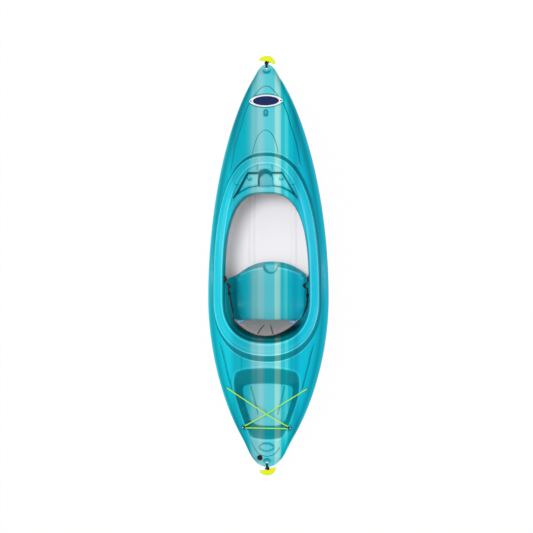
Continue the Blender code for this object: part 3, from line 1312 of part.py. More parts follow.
def bungee_half(side, crossing_rise):
    """The bungee from under its hole on one side to the transverse run at the other side's pad eye."""
    hole = np.array((side * BUNGEE_HOLE[0], BUNGEE_HOLE[1]))
    clear = BUNGEE_RADIUS + CORD_CLEARANCE
    top, step = deck_at(*hole), 1e-3
    slope_x = (deck_at(hole[0] + step, hole[1]) - top) / step
    slope_y = (deck_at(hole[0], hole[1] + step) - top) / step
    normal = Vector((-slope_x, -slope_y, 1.0)).normalized()
    line = [Vector((*hole, top)) + normal * reach for reach in (-0.021, -0.005, 0.0032)]
    post = np.array(eye_spot(-side, EYE_POST_AT))
    eye_z = boss_height((side * PAD_EYE[0], PAD_EYE[1])) + GAP + EYE_BASE_THICKNESS + clear
    crossing = np.array((0.0, mix(hole[1], post[1], abs(hole[0]) / (abs(hole[0]) + abs(post[0])))))
    shoulder = [mix(hole, crossing, share) for share in np.linspace(0.04, 0.3, 9)]
    heights = [deck_at(*spot) + 1.12 * clear + 0.0008 for spot in shoulder]
    for spot, z in list(zip(shoulder, heights))[:heights.index(max(heights)) + 1]:
        line.append(Vector((*spot, z)))
    line.append(Vector((*crossing, mix(line[-1].z, eye_z, 0.6) + crossing_rise)))
    away = post - crossing
    distance = float(np.hypot(*away))
    swing = math.asin(EYE_CORD_BEND / distance) * -side
    heading = math.atan2(away[1], away[0]) + swing
    straight = math.sqrt(distance**2 - EYE_CORD_BEND**2)
    touch = crossing + straight * np.array((math.cos(heading), math.sin(heading)))
    start = math.atan2(*(touch - post)[::-1])
    end = -math.pi / 2
    if side < 0:
        start += 2 * math.pi if start < end else 0.0
    else:
        start -= 2 * math.pi if start > end else 0.0
    for turned_by in np.linspace(start, end, 9):
        spot = post + EYE_CORD_BEND * np.array((math.cos(turned_by), math.sin(turned_by)))
        line.append(Vector((*spot, eye_z)))
    return line


def make_bungee():
    """One cord: knot, hole, crossing, pad eye, back across, and the same on the other side."""
    first = bungee_half(-1.0, BUNGEE_RADIUS + 0.5 * CORD_CLEARANCE + 0.0002)
    second = bungee_half(1.0, -BUNGEE_RADIUS - 0.5 * CORD_CLEARANCE - 0.0002)
    line = first + second[::-1]
    cord = as_mesh(tube("bungee_cord", line, BUNGEE_RADIUS, BUNGEE_LIME))
    for label, end in (("left", line[0]), ("right", line[-1])):
        bpy.ops.mesh.primitive_uv_sphere_add(segments=12, ring_count=8, radius=BUNGEE_KNOT_RADIUS)
        knot = named(bpy.context.object, f"bungee_knot_{label}", None, CUTTERS)
        knot.matrix_world = Matrix.Translation(end + Vector((0, 0, 0.001)))
        boolean(cord, knot, "UNION")
    length = sum((b - a).length for a, b in zip(line, line[1:]))
    print("bungee length", round(length, 4))
    return smooth(cord)


def make_drain():
    """Drain seat in its boss, the gasket and the plug."""
    level = boss_height(DRAIN) + GAP
    place = facing((*DRAIN, level))
    top, bottom = DRAIN_FLANGE_THICKNESS, -DRAIN_SLEEVE_LENGTH
    flange, sleeve, bore = DRAIN_FLANGE_RADIUS, DRAIN_SLEEVE_RADIUS, DRAIN_BORE_RADIUS
    profile = (
        (bore, top), (flange - DRAIN_EDGE / 2, top), (flange, top - DRAIN_EDGE / 2), (flange, 0.0),
        (sleeve, 0.0), (sleeve, bottom), (bore, bottom),
    )
    smooth(turned("drain_seat", profile, BLACK_PLASTIC, place, steps=24, hollow=True))
    low = top + GAP
    high = low + GASKET_THICKNESS
    outer, inner = DRAIN_CAP_RADIUS - DRAIN_EDGE / 2, DRAIN_BORE_RADIUS + GAP
    ring_profile = ((inner, high), (outer, high), (outer, low), (inner, low))
    smooth(turned("drain_gasket", ring_profile, RUBBER_BLACK, place, steps=24, hollow=True))
    base = high + GAP
    cap, shank, crown = DRAIN_CAP_RADIUS, DRAIN_BORE_RADIUS - DRAIN_PLAY, base + DRAIN_CAP_HEIGHT
    profile = (
        (0.0, crown), (cap - DRAIN_EDGE, crown), (cap, crown - DRAIN_EDGE), (cap, base),
        (shank, base), (shank, -DRAIN_SHANK_LENGTH), (0.0, -DRAIN_SHANK_LENGTH),
    )
    plug = smooth(turned("drain_plug", profile, BLACK_PLASTIC, place, steps=24))
    size = (2 * cap + 0.002, DRAIN_SLOT_WIDTH, 2 * DRAIN_SLOT_DEPTH)
    slot = box("drain_slot", size, None, place @ Matrix.Translation((0, 0, crown)), CUTTERS)
    boolean(plug, slot, "DIFFERENCE")


def make_handle(label, end):
    """Cord ring through the tip's hole with its knot, and the crescent grip beyond it."""
    y = end * (TIP_Y - (CORD_HOLE_INSET - CORD_HOLE_RADIUS) / 2)
    centre = Vector((0.0, y, float(seam_z(y))))
    out = Vector((0.0, end * math.cos(HANDLE_DROOP), -math.sin(HANDLE_DROOP)))
    loop = []
    for turned_by in np.arange(18) * 2 * math.pi / 18:
        loop.append(centre + HANDLE_RING_RADIUS * Vector((0.0, math.cos(turned_by), math.sin(turned_by))))
    cord = as_mesh(tube(f"{label}_handle_cord", loop, HANDLE_CORD_RADIUS, BLACK_WEBBING, cyclic=True))
    knot_at = HANDLE_RING_RADIUS + HANDLE_KNOT_RADIUS - 0.001
    bpy.ops.mesh.primitive_uv_sphere_add(segments=12, ring_count=8, radius=HANDLE_KNOT_RADIUS)
    knot = named(bpy.context.object, f"{label}_knot", None, CUTTERS)
    knot.matrix_world = Matrix.Translation(centre + out * knot_at)
    boolean(cord, knot, "UNION")
    reach = GRIP_INNER_AT + GRIP_SOCKET_DEPTH - 0.001 - knot_at
    place = facing(centre + out * (knot_at + reach / 2), out)
    stub = rod(f"{label}_stub", HANDLE_CORD_RADIUS, reach, place, 16)
    boolean(cord, stub, "UNION")
    smooth(cord)
    lift = Vector((0.0, end * math.sin(HANDLE_DROOP), math.cos(HANDLE_DROOP)))
    turn = Matrix.Rotation(-end * GRIP_YAW, 3, "Z")
    verts, faces, around = [], [], 12
    stations = np.sin(np.linspace(-math.pi / 2, math.pi / 2, 15))
    for s in stations:
        full = math.sqrt(max(0.0, 1.0 - s**2))
        width = mix(GRIP_TIP_WIDTH, GRIP_WIDTH, full**1.3)
        height = mix(GRIP_TIP_THICKNESS, GRIP_THICKNESS, full)
        inner = -GRIP_HOLLOW * abs(s) ** 1.5
        end_cap = min(1.0, (1.0 - abs(s)) / 0.03 + 0.55)
        for turned_by in np.arange(around) * 2 * math.pi / around:
            v = inner + width / 2 + end_cap * width / 2 * math.cos(turned_by)
            w = end_cap * height / 2 * math.sin(turned_by)
            local = turn @ Vector((s * GRIP_CHORD / 2, v, 0.0))
            across = Vector((local.x * end, 0.0, 0.0))
            verts.append(centre + across + out * (GRIP_INNER_AT + local.y) + lift * w)
    count = len(stations)
    for k in range(count - 1):
        for c in range(around):
            a, b = k * around + c, k * around + (c + 1) % around
            faces.append((a, b, b + around, a + around))
    faces += [tuple(range(around)), tuple(range((count - 1) * around, count * around))]
    grip = mesh_object(f"{label}_grip", verts, faces, GRIP_LIME)
    bm = bmesh.new()
    bm.from_mesh(grip.data)
    bmesh.ops.recalc_face_normals(bm, faces=bm.faces)
    bm.to_mesh(grip.data)
    bm.free()
    depth = GRIP_SOCKET_DEPTH + 0.004
    place = facing(centre + out * (GRIP_INNER_AT + GRIP_SOCKET_DEPTH - depth / 2), out)
    boolean(grip, rod(f"{label}_socket", HANDLE_CORD_RADIUS + HOLE_CLEARANCE, depth, place, 16), "DIFFERENCE")
    return smooth(grip, 50)


def make_block(name, half, from_y, to_y, hull_tree, deck_tree):
    """Foam block that fills the height between the two sheets."""
    across, ahead = np.linspace(-half, half, 7), np.linspace(from_y, to_y, 8)
    reach = (across[1] - across[0]) / 2
    around = [(0.0, 0.0)] + [(a, b) for a in (-reach, reach) for b in (-reach, reach)]
    low, high = [], []
    for y in ahead:
        lows, highs = [], []
        for x in across:
            spots = [(x + a, y + b) for a, b in around]
            middles = [0.5 * (deck_at(*spot) + float(hull_height(*spot)[0])) for spot in spots]
            starts = [Vector((*spot, z)) for spot, z in zip(spots, middles)]
            floor = max(hull_tree.ray_cast(start, Vector((0, 0, -1)))[0].z for start in starts)
            roof = min(deck_tree.ray_cast(start, Vector((0, 0, 1)))[0].z for start in starts)
            lows.append(Vector((x, y, floor + FOAM_CLEARANCE)))
            highs.append(Vector((x, y, roof - FOAM_CLEARANCE)))
        low.append(lows)
        high.append(highs)
    return slab(name, low, high, FOAM_GREY)


hull = make_hull()
deck, plate = make_deck()
deck_tree, hull_tree = surface_tree(deck), surface_tree(hull)
half, first, last = BOW_BLOCK
make_block("bow_flotation_block", half, TIP_Y - first, TIP_Y - last, hull_tree, deck_tree)
half, first, last = STERN_BLOCK
make_block("stern_flotation_block", half, first - TIP_Y, last - TIP_Y, hull_tree, deck_tree)
make_block("seat_support_block", *SEAT_BLOCK, hull_tree, deck_tree)
make_plate_rivets(deck, plate)
make_side_rivets(deck, deck_tree)
make_straps(deck, deck_tree)
make_backrest()
make_brackets()
make_pad_eyes()
make_bungee()
make_drain()
for label, end in ENDS:
    make_handle(label, end)
smooth(deck)
smooth(plate)
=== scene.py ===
"""Looks of a recreational kayak, built round its CAD model.

Metres throughout: +Y points at the bow, +X to starboard, +Z up, and the origin lies on the floor under
the middle of the boat.
"""

from __future__ import annotations

import logging
import math
from contextlib import contextmanager
from dataclasses import dataclass
from enum import Enum
from typing import Callable, Iterable, Iterator, Optional, Sequence

import bmesh
import bpy
import numpy as np
from mathutils import Matrix, Vector
from mathutils.bvhtree import BVHTree
from mathutils.geometry import delaunay_2d_cdt
from mathutils.kdtree import KDTree


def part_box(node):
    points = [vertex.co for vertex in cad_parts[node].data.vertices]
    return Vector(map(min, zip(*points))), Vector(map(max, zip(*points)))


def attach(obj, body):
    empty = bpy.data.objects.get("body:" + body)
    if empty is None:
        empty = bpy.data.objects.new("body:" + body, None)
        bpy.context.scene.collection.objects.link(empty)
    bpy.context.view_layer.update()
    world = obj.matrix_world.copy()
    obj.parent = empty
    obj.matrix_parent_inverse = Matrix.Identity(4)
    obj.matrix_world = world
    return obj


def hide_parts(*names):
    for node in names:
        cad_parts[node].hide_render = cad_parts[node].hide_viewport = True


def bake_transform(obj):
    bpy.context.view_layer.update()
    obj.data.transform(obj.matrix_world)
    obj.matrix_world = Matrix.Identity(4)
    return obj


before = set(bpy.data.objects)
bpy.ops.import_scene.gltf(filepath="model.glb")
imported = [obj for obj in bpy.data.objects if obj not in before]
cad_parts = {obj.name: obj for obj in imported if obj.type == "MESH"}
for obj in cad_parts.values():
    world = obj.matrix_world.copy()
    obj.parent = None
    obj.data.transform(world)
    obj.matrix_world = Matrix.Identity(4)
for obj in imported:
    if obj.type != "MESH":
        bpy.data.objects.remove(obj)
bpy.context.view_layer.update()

LOG = logging.getLogger("kayak")
Array = np.ndarray
Colour = tuple[float, float, float]
Pair = tuple[float, float]
Triple = tuple[float, float, float]
Piece = bpy.types.Object
Material = bpy.types.Material
Socket = bpy.types.NodeSocket
Tree = bpy.types.NodeTree

# Clearance between pieces that seat on each other, and radius of the holes for screws
GAP = 0.0003
SCREW_HOLE = 0.0023


class Place(Enum):
    """Choice whose name is part of the names of pieces."""

    @property
    def label(self) -> str:
        """The name in lower case."""
        return self.name.lower()


class Side(Place):
    """Port or starboard, with the sign of x."""

    LEFT = -1.0
    RIGHT = 1.0

    def of(self, points: Sequence) -> Array:
        """Plan points given for starboard, put on this side."""
        return np.array(points) * (self.value, 1)


class Tip(Place):
    """Bow or stern, with the sign of y."""

    BOW = 1.0
    STERN = -1.0


class Body(Enum):
    """Bodies of the CAD model."""

    BOAT = "boat"
    BACKREST = "backrest"
    PLUG = "plug"
    BOW_HANDLE = "bow_handle"
    STERN_HANDLE = "stern_handle"
    BUCKLE_LEFT = "buckle_left"
    BUCKLE_RIGHT = "buckle_right"


# Curves and loops


def ease(t: Array, rounding: float = 0.25) -> Array:
    """Straight slope from 0 to 1 with its two ends rounded.

    Args:
        t: Where on the slope.
        rounding: Share of the slope in each rounding.

    Returns:
        Level at each place.
    """
    t = np.clip(t, 0.0, 1.0)
    pitch = 1.0 / (1.0 - rounding)
    low = 0.5 * pitch * t * t / rounding
    high = 1.0 - 0.5 * pitch * (1.0 - t) ** 2 / rounding
    return np.where(t < rounding, low, np.where(t > 1.0 - rounding, high, pitch * (t - 0.5 * rounding)))


def mix(a: Array, b: Array, share: Array) -> Array:
    """a where share is 0, b where it is 1."""
    return a + (b - a) * share


def stretch(y: Array, rear: float, rear_fade: float, front: float, front_fade: float) -> Array:
    """1 along a stretch of the boat, easing to 0 over the two fades within its ends."""
    return ease((y - rear) / rear_fade) * ease((front - y) / front_fade)


def along(y: Array, stations: Sequence[Pair]) -> Array:
    """Smooth curve through (y, value) stations, level at its ends.

    Args:
        y: Where to read the curve, held within the stations.
        stations: Points of the curve in any order.

    Returns:
        The curve's value at each y.
    """
    ys, values = np.array(sorted(stations)).T
    pitch = np.zeros(len(ys))
    pitch[1:-1] = (values[2:] - values[:-2]) / (ys[2:] - ys[:-2])
    y = np.clip(np.asarray(y, float), ys[0], ys[-1])
    i = np.clip(np.searchsorted(ys, y, side="right") - 1, 0, len(ys) - 2)
    span = ys[i + 1] - ys[i]
    t = (y - ys[i]) / span
    return (
        values[i] * (1 + 2 * t) * (1 - t) ** 2
        + pitch[i] * span * t * (1 - t) ** 2
        + values[i + 1] * t * t * (3 - 2 * t)
        - pitch[i + 1] * span * t * t * (1 - t)
    )


def closed_line(loop: Array) -> Array:
    """The loop as a line that ends where it starts."""
    return np.vstack([loop, loop[:1]])


def run_lengths(line: Array) -> Array:
    """Distance along a line to each of its points."""
    return np.concatenate([[0.0], np.cumsum(np.hypot(*np.diff(line, axis=0).T))])


def evenly(loop: Array, step: float) -> Array:
    """The closed loop resampled to even steps, keeping its first point and an even count.

    Args:
        loop: Points of the closed loop.
        step: Distance between the points.

    Returns:
        The new points.
    """
    line = closed_line(loop)
    lengths = run_lengths(line)
    count = max(8, 2 * round(lengths[-1] / step / 2))
    at = np.arange(count) * lengths[-1] / count
    return np.column_stack([np.interp(at, lengths, values) for values in line.T])


def spread(line: Array, step: float) -> Array:
    """The open line resampled to even steps, keeping both ends.

    Args:
        line: Points of the open line.
        step: Distance between the points.

    Returns:
        The new points.
    """
    lengths = run_lengths(line)
    at = np.linspace(0.0, lengths[-1], max(2, 1 + round(lengths[-1] / step)))
    return np.column_stack([np.interp(at, lengths, values) for values in line.T])


def on_both_sides(points: Sequence, step: float) -> list[Array]:
    """Open line given for starboard and its copy to port, in even steps."""
    return [spread(side.of(points), step) for side in Side]


def superoval(turn: Array, x_half: Array, y_half: Array, power: Array) -> Array:
    """Points of an ellipse with fuller corners the higher its power, 2 being a plain one.

    Args:
        turn: Angle of each point.
        x_half: Half width.
        y_half: Half length.
        power: Power of the curve.

    Returns:
        One point for each angle.
    """
    x, y = (half * np.sign(share) * np.abs(share) ** (2 / power)
            for half, share in ((x_half, np.cos(turn)), (y_half, np.sin(turn))))
    return np.column_stack([x, y])


def ring(x: float, y: float, radius: float, count: int) -> Array:
    """Circle as a closed loop."""
    turn = np.arange(count) * 2 * math.pi / count
    return np.column_stack([x + radius * np.cos(turn), y + radius * np.sin(turn)])


def smooth_closed(points: Array, per_span: int = 10) -> Array:
    """Closed smooth loop through the points.

    Args:
        points: Points to run through.
        per_span: New points for each given one.

    Returns:
        The fine loop.
    """
    before, after, beyond = (np.roll(points, k, axis=0) for k in (1, -1, -2))
    t = (np.arange(per_span) / per_span)[:, None, None]
    curve = 0.5 * (
        2 * points + (after - before) * t
        + (2 * before - 5 * points + 4 * after - beyond) * t**2
        + (3 * points - before - 3 * after + beyond) * t**3
    )
    return curve.transpose(1, 0, 2).reshape(-1, points.shape[1])


def smooth_open(points: Array, per_span: int = 10) -> Array:
    """Open smooth line through the points, in the plane or in space.

    Args:
        points: Points to run through.
        per_span: New points for each given one.

    Returns:
        The fine line.
    """
    points = np.asarray(points, float)
    padded = np.vstack([2 * points[0] - points[1], points, 2 * points[-1] - points[-2]])
    line = smooth_closed(padded, per_span)
    return line[per_span:per_span * len(points) - per_span + 1]


def mirrored(half: Sequence[Pair]) -> Array:
    """Closed loop from its starboard half, which starts and ends on the centreline."""
    half = np.array(half)
    return np.vstack([half, half[-2:0:-1] * (-1, 1)])


def right_of(ahead: Array) -> Array:
    """Unit vector to the right of each direction."""
    return np.column_stack([ahead[:, 1], -ahead[:, 0]]) / np.hypot(*ahead.T)[:, None]


def parallel(line: Array, distance: float) -> Array:
    """Line at a distance to one side of an open line."""
    return line + right_of(np.gradient(line, axis=0)) * distance


def around(loop: Array, distance: float) -> Array:
    """Loop set outward from a closed loop, or inward for a negative distance.

    Args:
        loop: Points of the closed loop.
        distance: How far to set it out.

    Returns:
        The new loop.
    """
    normal = right_of(np.roll(loop, -1, axis=0) - np.roll(loop, 1, axis=0))
    area = np.sum(loop[:, 0] * np.roll(loop[:, 1], -1) - np.roll(loop[:, 0], -1) * loop[:, 1])
    return loop + normal * distance * np.sign(area)


def rounded(corners: Sequence[Pair], radius: float, steps: int = 7) -> Array:
    """Closed loop through the corners with each one rounded.

    Args:
        corners: Corner points in order.
        radius: Reach of the rounding along each side, less where a side is short.
        steps: Points of each corner.

    Returns:
        The rounded loop.
    """
    points = np.array(corners)
    loop = []
    for before, corner, after in zip(np.roll(points, 1, axis=0), points, np.roll(points, -1, axis=0)):
        back, ahead = before - corner, after - corner
        reach = min(radius, 0.45 * np.hypot(*back), 0.45 * np.hypot(*ahead))
        start = corner + back / np.hypot(*back) * reach
        end = corner + ahead / np.hypot(*ahead) * reach
        for t in np.linspace(0.0, 1.0, steps):
            loop.append((1 - t) ** 2 * start + 2 * t * (1 - t) * corner + t * t * end)
    return np.array(loop)


def inside(loop: Array, x: Array, y: Array, closed: bool = True) -> Array:
    """Distance from each point to a loop, positive within it and negative outside.

    Args:
        loop: Points of the loop or of an open line.
        x: First coordinates.
        y: Second coordinates.
        closed: False for an open line, whose distances are all negative.

    Returns:
        One signed distance for each point.
    """
    x, y = np.atleast_1d(x).astype(float), np.atleast_1d(y).astype(float)
    start, end = (loop, np.roll(loop, -1, axis=0)) if closed else (loop[:-1], loop[1:])
    ax, ay = start.T
    dx, dy = (end - start).T
    level = np.where(np.abs(dy) < 1e-12, 1e-12, dy)
    found = np.empty(len(x))
    for first in range(0, len(x), 4096):
        px, py = x[first:first + 4096, None], y[first:first + 4096, None]
        t = np.clip(((px - ax) * dx + (py - ay) * dy) / (dx * dx + dy * dy + 1e-18), 0.0, 1.0)
        near = np.hypot(px - ax - t * dx, py - ay - t * dy).min(axis=1)
        if closed:
            crosses = ((ay > py) != (ay + dy > py)) & (px < dx * (py - ay) / level + ax)
            near = np.where(crosses.sum(axis=1) % 2 == 1, near, -near)
        else:
            near = -near
        found[first:first + 4096] = near
    return found


def boxed(loop: Array, x: Array, y: Array, margin: float = 0.0) -> Array:
    """Mask of the points within a loop's bounding box and a margin."""
    low, high = loop.min(axis=0) - margin, loop.max(axis=0) + margin
    return (x >= low[0]) & (x <= high[0]) & (y >= low[1]) & (y <= high[1])


def between(outer: Array, inner: Array, x: Array, y: Array) -> Array:
    """How far each point lies in the band from an outer loop to an inner one.

    Args:
        outer: Loop with the share 0, which holds also beyond it.
        inner: Loop with the share 1, which holds also within it.
        x: First coordinates.
        y: Second coordinates.

    Returns:
        The share of each point, even across the band.
    """
    band = np.zeros(len(x))
    near = boxed(outer, x, y)
    if near.any():
        into, short = inside(outer, x[near], y[near]), -inside(inner, x[near], y[near])
        share = np.clip(into, 0.0, None) / np.clip(into + short, 1e-9, None)
        band[near] = np.where(into <= 0, 0.0, np.where(short <= 0, 1.0, share))
    return band


def point_tree(points: Sequence) -> KDTree:
    """Search tree of plan points.

    Args:
        points: Points with x and y.

    Returns:
        The tree, numbered as the points are.
    """
    tree = KDTree(len(points))
    for k, point in enumerate(points):
        tree.insert((*point, 0.0), k)
    tree.balance()
    return tree


def midway(outer: Array, inner: Array, share: float) -> Array:
    """Loop part of the way from each point of the outer loop to the nearest one of the inner loop.

    Args:
        outer: Loop whose points move.
        inner: Loop that they move toward.
        share: Share of the way.

    Returns:
        The moved points.
    """
    fine = evenly(inner, 0.002)
    tree = point_tree(fine)
    nearest = fine[[tree.find((*point, 0.0))[1] for point in outer]]
    return outer + (nearest - outer) * share


def stepped(outer: Array, inner: Array, shares: Sequence[float]) -> list[Array]:
    """Closed lines at shares of the way from the outer loop to the inner one."""
    return [closed_line(midway(outer, inner, share)) for share in shares]


def kept_runs(loop: Array, keep: Array) -> list[Array]:
    """Open lines of the closed loop's neighbouring points that are kept.

    Args:
        loop: Points of the closed loop.
        keep: Mask of the points that stay.

    Returns:
        One line for each run.
    """
    if keep.all():
        return [closed_line(loop)]
    first = int(np.argmin(keep))
    loop, keep = np.roll(loop, -first, axis=0), np.roll(keep, -first)
    runs, run = [], []
    for point, wanted in zip(loop, keep):
        if wanted:
            run.append(point)
        elif run:
            runs.append(run)
            run = []
    runs.append(run)
    return [np.array(r) for r in runs if len(r) > 1]


# The boat's form


@dataclass
class KayakForm:
    """Lines of the two moulded sheets, the same as the solids', followed closely."""

    # Plan and sheer, in pairs of (front, rear)
    length: float = 2.44
    beam: float = 0.742
    widest_y: float = -0.20
    swell: Pair = (2.0, 1.9)
    taper: Pair = (0.70, 0.72)
    nose: Pair = (0.045, 0.090)
    seam_mid_z: float = 0.205
    sheer: Pair = (0.057, 0.040)
    flange: float = 0.006
    # Crown of the deck over its flange, by the distance from each tip and by y amidships
    crown_stern: tuple = ((0.0, 0.0), (0.06, 0.016), (0.16, 0.030), (0.33, 0.046), (0.62, 0.060))
    crown_mid: tuple = ((-0.20, 0.060), (0.30, 0.066), (0.66, 0.078))
    crown_bow: tuple = ((0.38, 0.062), (0.19, 0.042), (0.07, 0.019), (0.0, 0.0))
    section_tip: float = 2.6
    section_mid: float = 6.0
    # Coaming: (half width, front y, rear y) of its loops, (front, rear) powers, (y, z) along its top
    foot_size: Triple = (0.333, 0.683, -0.582)
    ridge_size: Triple = (0.320, 0.654, -0.540)
    lip_ridge_size: Triple = (0.271, 0.614, -0.473)
    opening_size: Triple = (0.262, 0.439, -0.460)
    coaming_power: Pair = (2.5, 2.3)
    opening_power: Pair = (2.9, 2.4)
    coaming_z: tuple = ((-0.582, 0.308), (-0.20, 0.298), (0.25, 0.314), (0.683, 0.352))
    band_dish: float = 0.004
    console_drop: float = 0.003
    console_slope: float = 0.010
    lip_depth: float = 0.036
    lip_lean: float = 0.006
    lip_roll: float = 0.0045
    # Console: trays, and the cup as (radius, front y, rear y) with its walls in the same order
    tray_corners: tuple = (
        (0.034, 0.563), (0.108, 0.563), (0.201, 0.400), (0.150, 0.441), (0.100, 0.467), (0.034, 0.4775),
    )
    tray_corner_radius: float = 0.007
    tray_depth: float = 0.024
    tray_wall: float = 0.010
    cup: Triple = (0.050, 0.583, 0.478)
    cup_walls: Triple = (0.010, 0.028, 0.004)
    cup_depth: float = 0.055
    # Seat: rise as (height, y, run), lines as (y, sweep, half width), notch as (y, outer, inner, z)
    seat_size: Triple = (0.205, 0.400, -0.385)
    seat_power: Pair = (3.0, 3.0)
    seat_z: float = 0.080
    seat_rise: Triple = (0.024, -0.230, 0.230)
    seat_edge_z: float = 0.050
    seat_edge_line: Triple = (0.027, 0.113, 0.250)
    seat_crest_line: Triple = (-0.011, 0.045, 0.190)
    seat_sweep: float = 2.2
    notch: tuple = (-0.003, 0.048, 0.036, 0.068)
    cove: Pair = (0.055, 0.012)
    cove_run: tuple = (-0.31, 0.06, -0.04, 0.06)
    # Tank well: starboard halves of its rim and floor
    rim_half: tuple = (
        (0.0, -0.614), (0.090, -0.619), (0.158, -0.632), (0.187, -0.646), (0.199, -0.674), (0.201, -0.730),
        (0.184, -0.820), (0.137, -0.954), (0.115, -1.006), (0.103, -1.032), (0.080, -1.046), (0.0, -1.055),
    )
    well_half: tuple = (
        (0.0, -0.723), (0.095, -0.727), (0.139, -0.7335), (0.1515, -0.745), (0.152, -0.775), (0.141, -0.830),
        (0.112, -0.925), (0.095, -0.955), (0.064, -0.968), (0.0, -0.971),
    )
    well_z: float = 0.216
    # Tips: dishes as (bow, stern) radii, and the holes for the handles' cords
    dish_inset: float = 0.0285
    dish_radius: Pair = (0.030, 0.027)
    dish_slope: float = 0.011
    dish_bowl: Pair = (0.019, 0.2)
    cord_hole_inset: float = 0.021
    cord_hole: float = 0.008
    # Places of the fittings
    boss_radius: float = 0.021
    boss_slope: float = 0.003
    boss_rise: float = 0.002
    drain: Pair = (-0.042, -1.163)
    drain_boss: float = 0.019
    drain_hole: float = 0.0104
    pad_eye: Pair = (0.133, -0.978)
    pad_eye_towards: Pair = (-0.961, 0.276)
    eye_screw_at: float = -0.012
    bungee_hole: Pair = (0.243, -0.743)
    bungee_hole_radius: float = 0.0048
    bracket_screw: Pair = (0.090, -0.3535)
    pivot: Pair = (-0.347, 0.092)
    pivot_bore: float = 0.0029
    # Hull: channel as (x, width, depth, slope, half length)
    stem_inset: float = 0.050
    stem_taper: float = 0.17
    bilge_width: float = 0.20
    bilge_power: float = 3.0
    flat_keel_half: float = 0.60
    rocker: float = 0.025
    channel: tuple = (0.115, 0.035, 0.006, 0.007, 0.72)
    # How the loops are sampled, and how sharply the sheet and its solid turn at the edges of a wall
    loop_step: float = 0.007
    formed_edge: float = 0.07
    solid_edge: float = 0.2

    def __post_init__(self) -> None:
        """Works out the loops that the mouldings follow."""
        self.tip_y = self.length / 2
        sizes = (self.foot_size, self.ridge_size, self.lip_ridge_size)
        self.foot, self.ridge, self.lip_ridge = (self.even_oval(size, self.coaming_power) for size in sizes)
        self.edge = self.even_oval(self.opening_size, self.opening_power)
        self.lip_foot = self.even_oval(self.opening_size, self.opening_power, self.lip_lean)
        self.tub_floor = self.even_oval(self.seat_size, self.seat_power)
        self.trays = [(self.tray_loop(side), self.tray_loop(side, self.tray_wall)) for side in Side]
        self.cups = (self.cup_loop(), self.cup_loop(floor=True))
        halves = (self.rim_half, self.well_half)
        self.rim, self.well = (evenly(smooth_closed(mirrored(half), 8), self.loop_step) for half in halves)
        self.body = self.hull_body_outline()

    def towards_bow(self, y: Array) -> tuple[Array, Array]:
        """Whether each station lies ahead of the widest one, and how far its own tip is from there."""
        front = np.asarray(y, float) > self.widest_y
        return front, np.where(front, self.tip_y - self.widest_y, self.tip_y + self.widest_y)

    def half_beam(self, y: Array) -> Array:
        """Half-breadth of the seam, a tapered curve rounded off by the nose at each tip.

        Args:
            y: Distances toward the bow.

        Returns:
            Half-breadth at each y.
        """
        y = np.asarray(y, float)
        front, reach = self.towards_bow(y)
        t = np.clip(np.abs(y - self.widest_y) / reach, 0.0, 1.0)
        body = self.beam / 2 * (1.0 - t ** np.where(front, *self.swell)) ** np.where(front, *self.taper)
        radius = np.where(front, *self.nose)
        nose = np.sqrt(np.clip(radius**2 - (np.abs(y) - self.tip_y + radius) ** 2, 0.0, None))
        return (body**4 + nose**4) ** 0.25

    def seam_z(self, y: Array) -> Array:
        """Height of the seam, lowest amidships.

        Args:
            y: Distances toward the bow.

        Returns:
            Height at each y.
        """
        y = np.asarray(y, float)
        front, reach = self.towards_bow(y)
        return self.seam_mid_z + np.where(front, *self.sheer) * ((y - self.widest_y) / reach) ** 2

    def seam_outline(self, step: float = 0.009) -> Array:
        """Plan outline of the seam, with closer points toward the tips.

        Args:
            step: Distance between the points.

        Returns:
            The loop, starboard side first.
        """
        per_side = round(self.length / step / 2)
        turn = np.linspace(-math.pi / 2, math.pi / 2, 2 * per_side + 1)
        reach = np.where(turn > 0, self.tip_y - self.widest_y, self.tip_y + self.widest_y)
        y = self.widest_y + reach * np.sin(turn)
        starboard = np.column_stack([self.half_beam(y), y])
        starboard[[0, -1], 0] = 0.0
        return mirrored(starboard)

    def oval(self, size: Triple, powers: Pair, inset: float = 0.0) -> Array:
        """Egg-shaped loop about the widest station.

        Args:
            size: Half width, front y and rear y.
            powers: Powers of the front and rear halves.
            inset: Distance to draw the loop in by.

        Returns:
            A fine closed loop.
        """
        half, front, rear = size[0] - inset, size[1] - inset, size[2] + inset
        turn = np.linspace(-math.pi / 2, 1.5 * math.pi, 1440, endpoint=False)
        ahead = np.sin(turn) > 0
        reach = np.where(ahead, front - self.widest_y, self.widest_y - rear)
        return superoval(turn, half, reach, np.where(ahead, *powers)) + (0.0, self.widest_y)

    def even_oval(self, size: Triple, powers: Pair, inset: float = 0.0) -> Array:
        """The same loop in even steps."""
        return evenly(self.oval(size, powers, inset), self.loop_step)

    def tray_loop(self, side: Side, inset: float = 0.0) -> Array:
        """Rim of one console tray, or its floor's edge when inset by the wall."""
        return side.of(around(rounded(self.tray_corners, self.tray_corner_radius), -inset))

    def cup_loop(self, floor: bool = False) -> Array:
        """Rim or floor of the cup: straight sides and rear, half-round front.

        Args:
            floor: Whether the floor's edge is wanted.

        Returns:
            The loop.
        """
        walls = self.cup_walls if floor else (0.0, 0.0, 0.0)
        radius, front, rear = self.cup[0] - walls[0], self.cup[1] - walls[1], self.cup[2] + walls[2]
        turn = np.linspace(0.0, math.pi, 25)
        arc = np.column_stack([radius * np.cos(turn), front - radius + radius * np.sin(turn)])
        return np.vstack([[radius, rear], arc, [-radius, rear]])

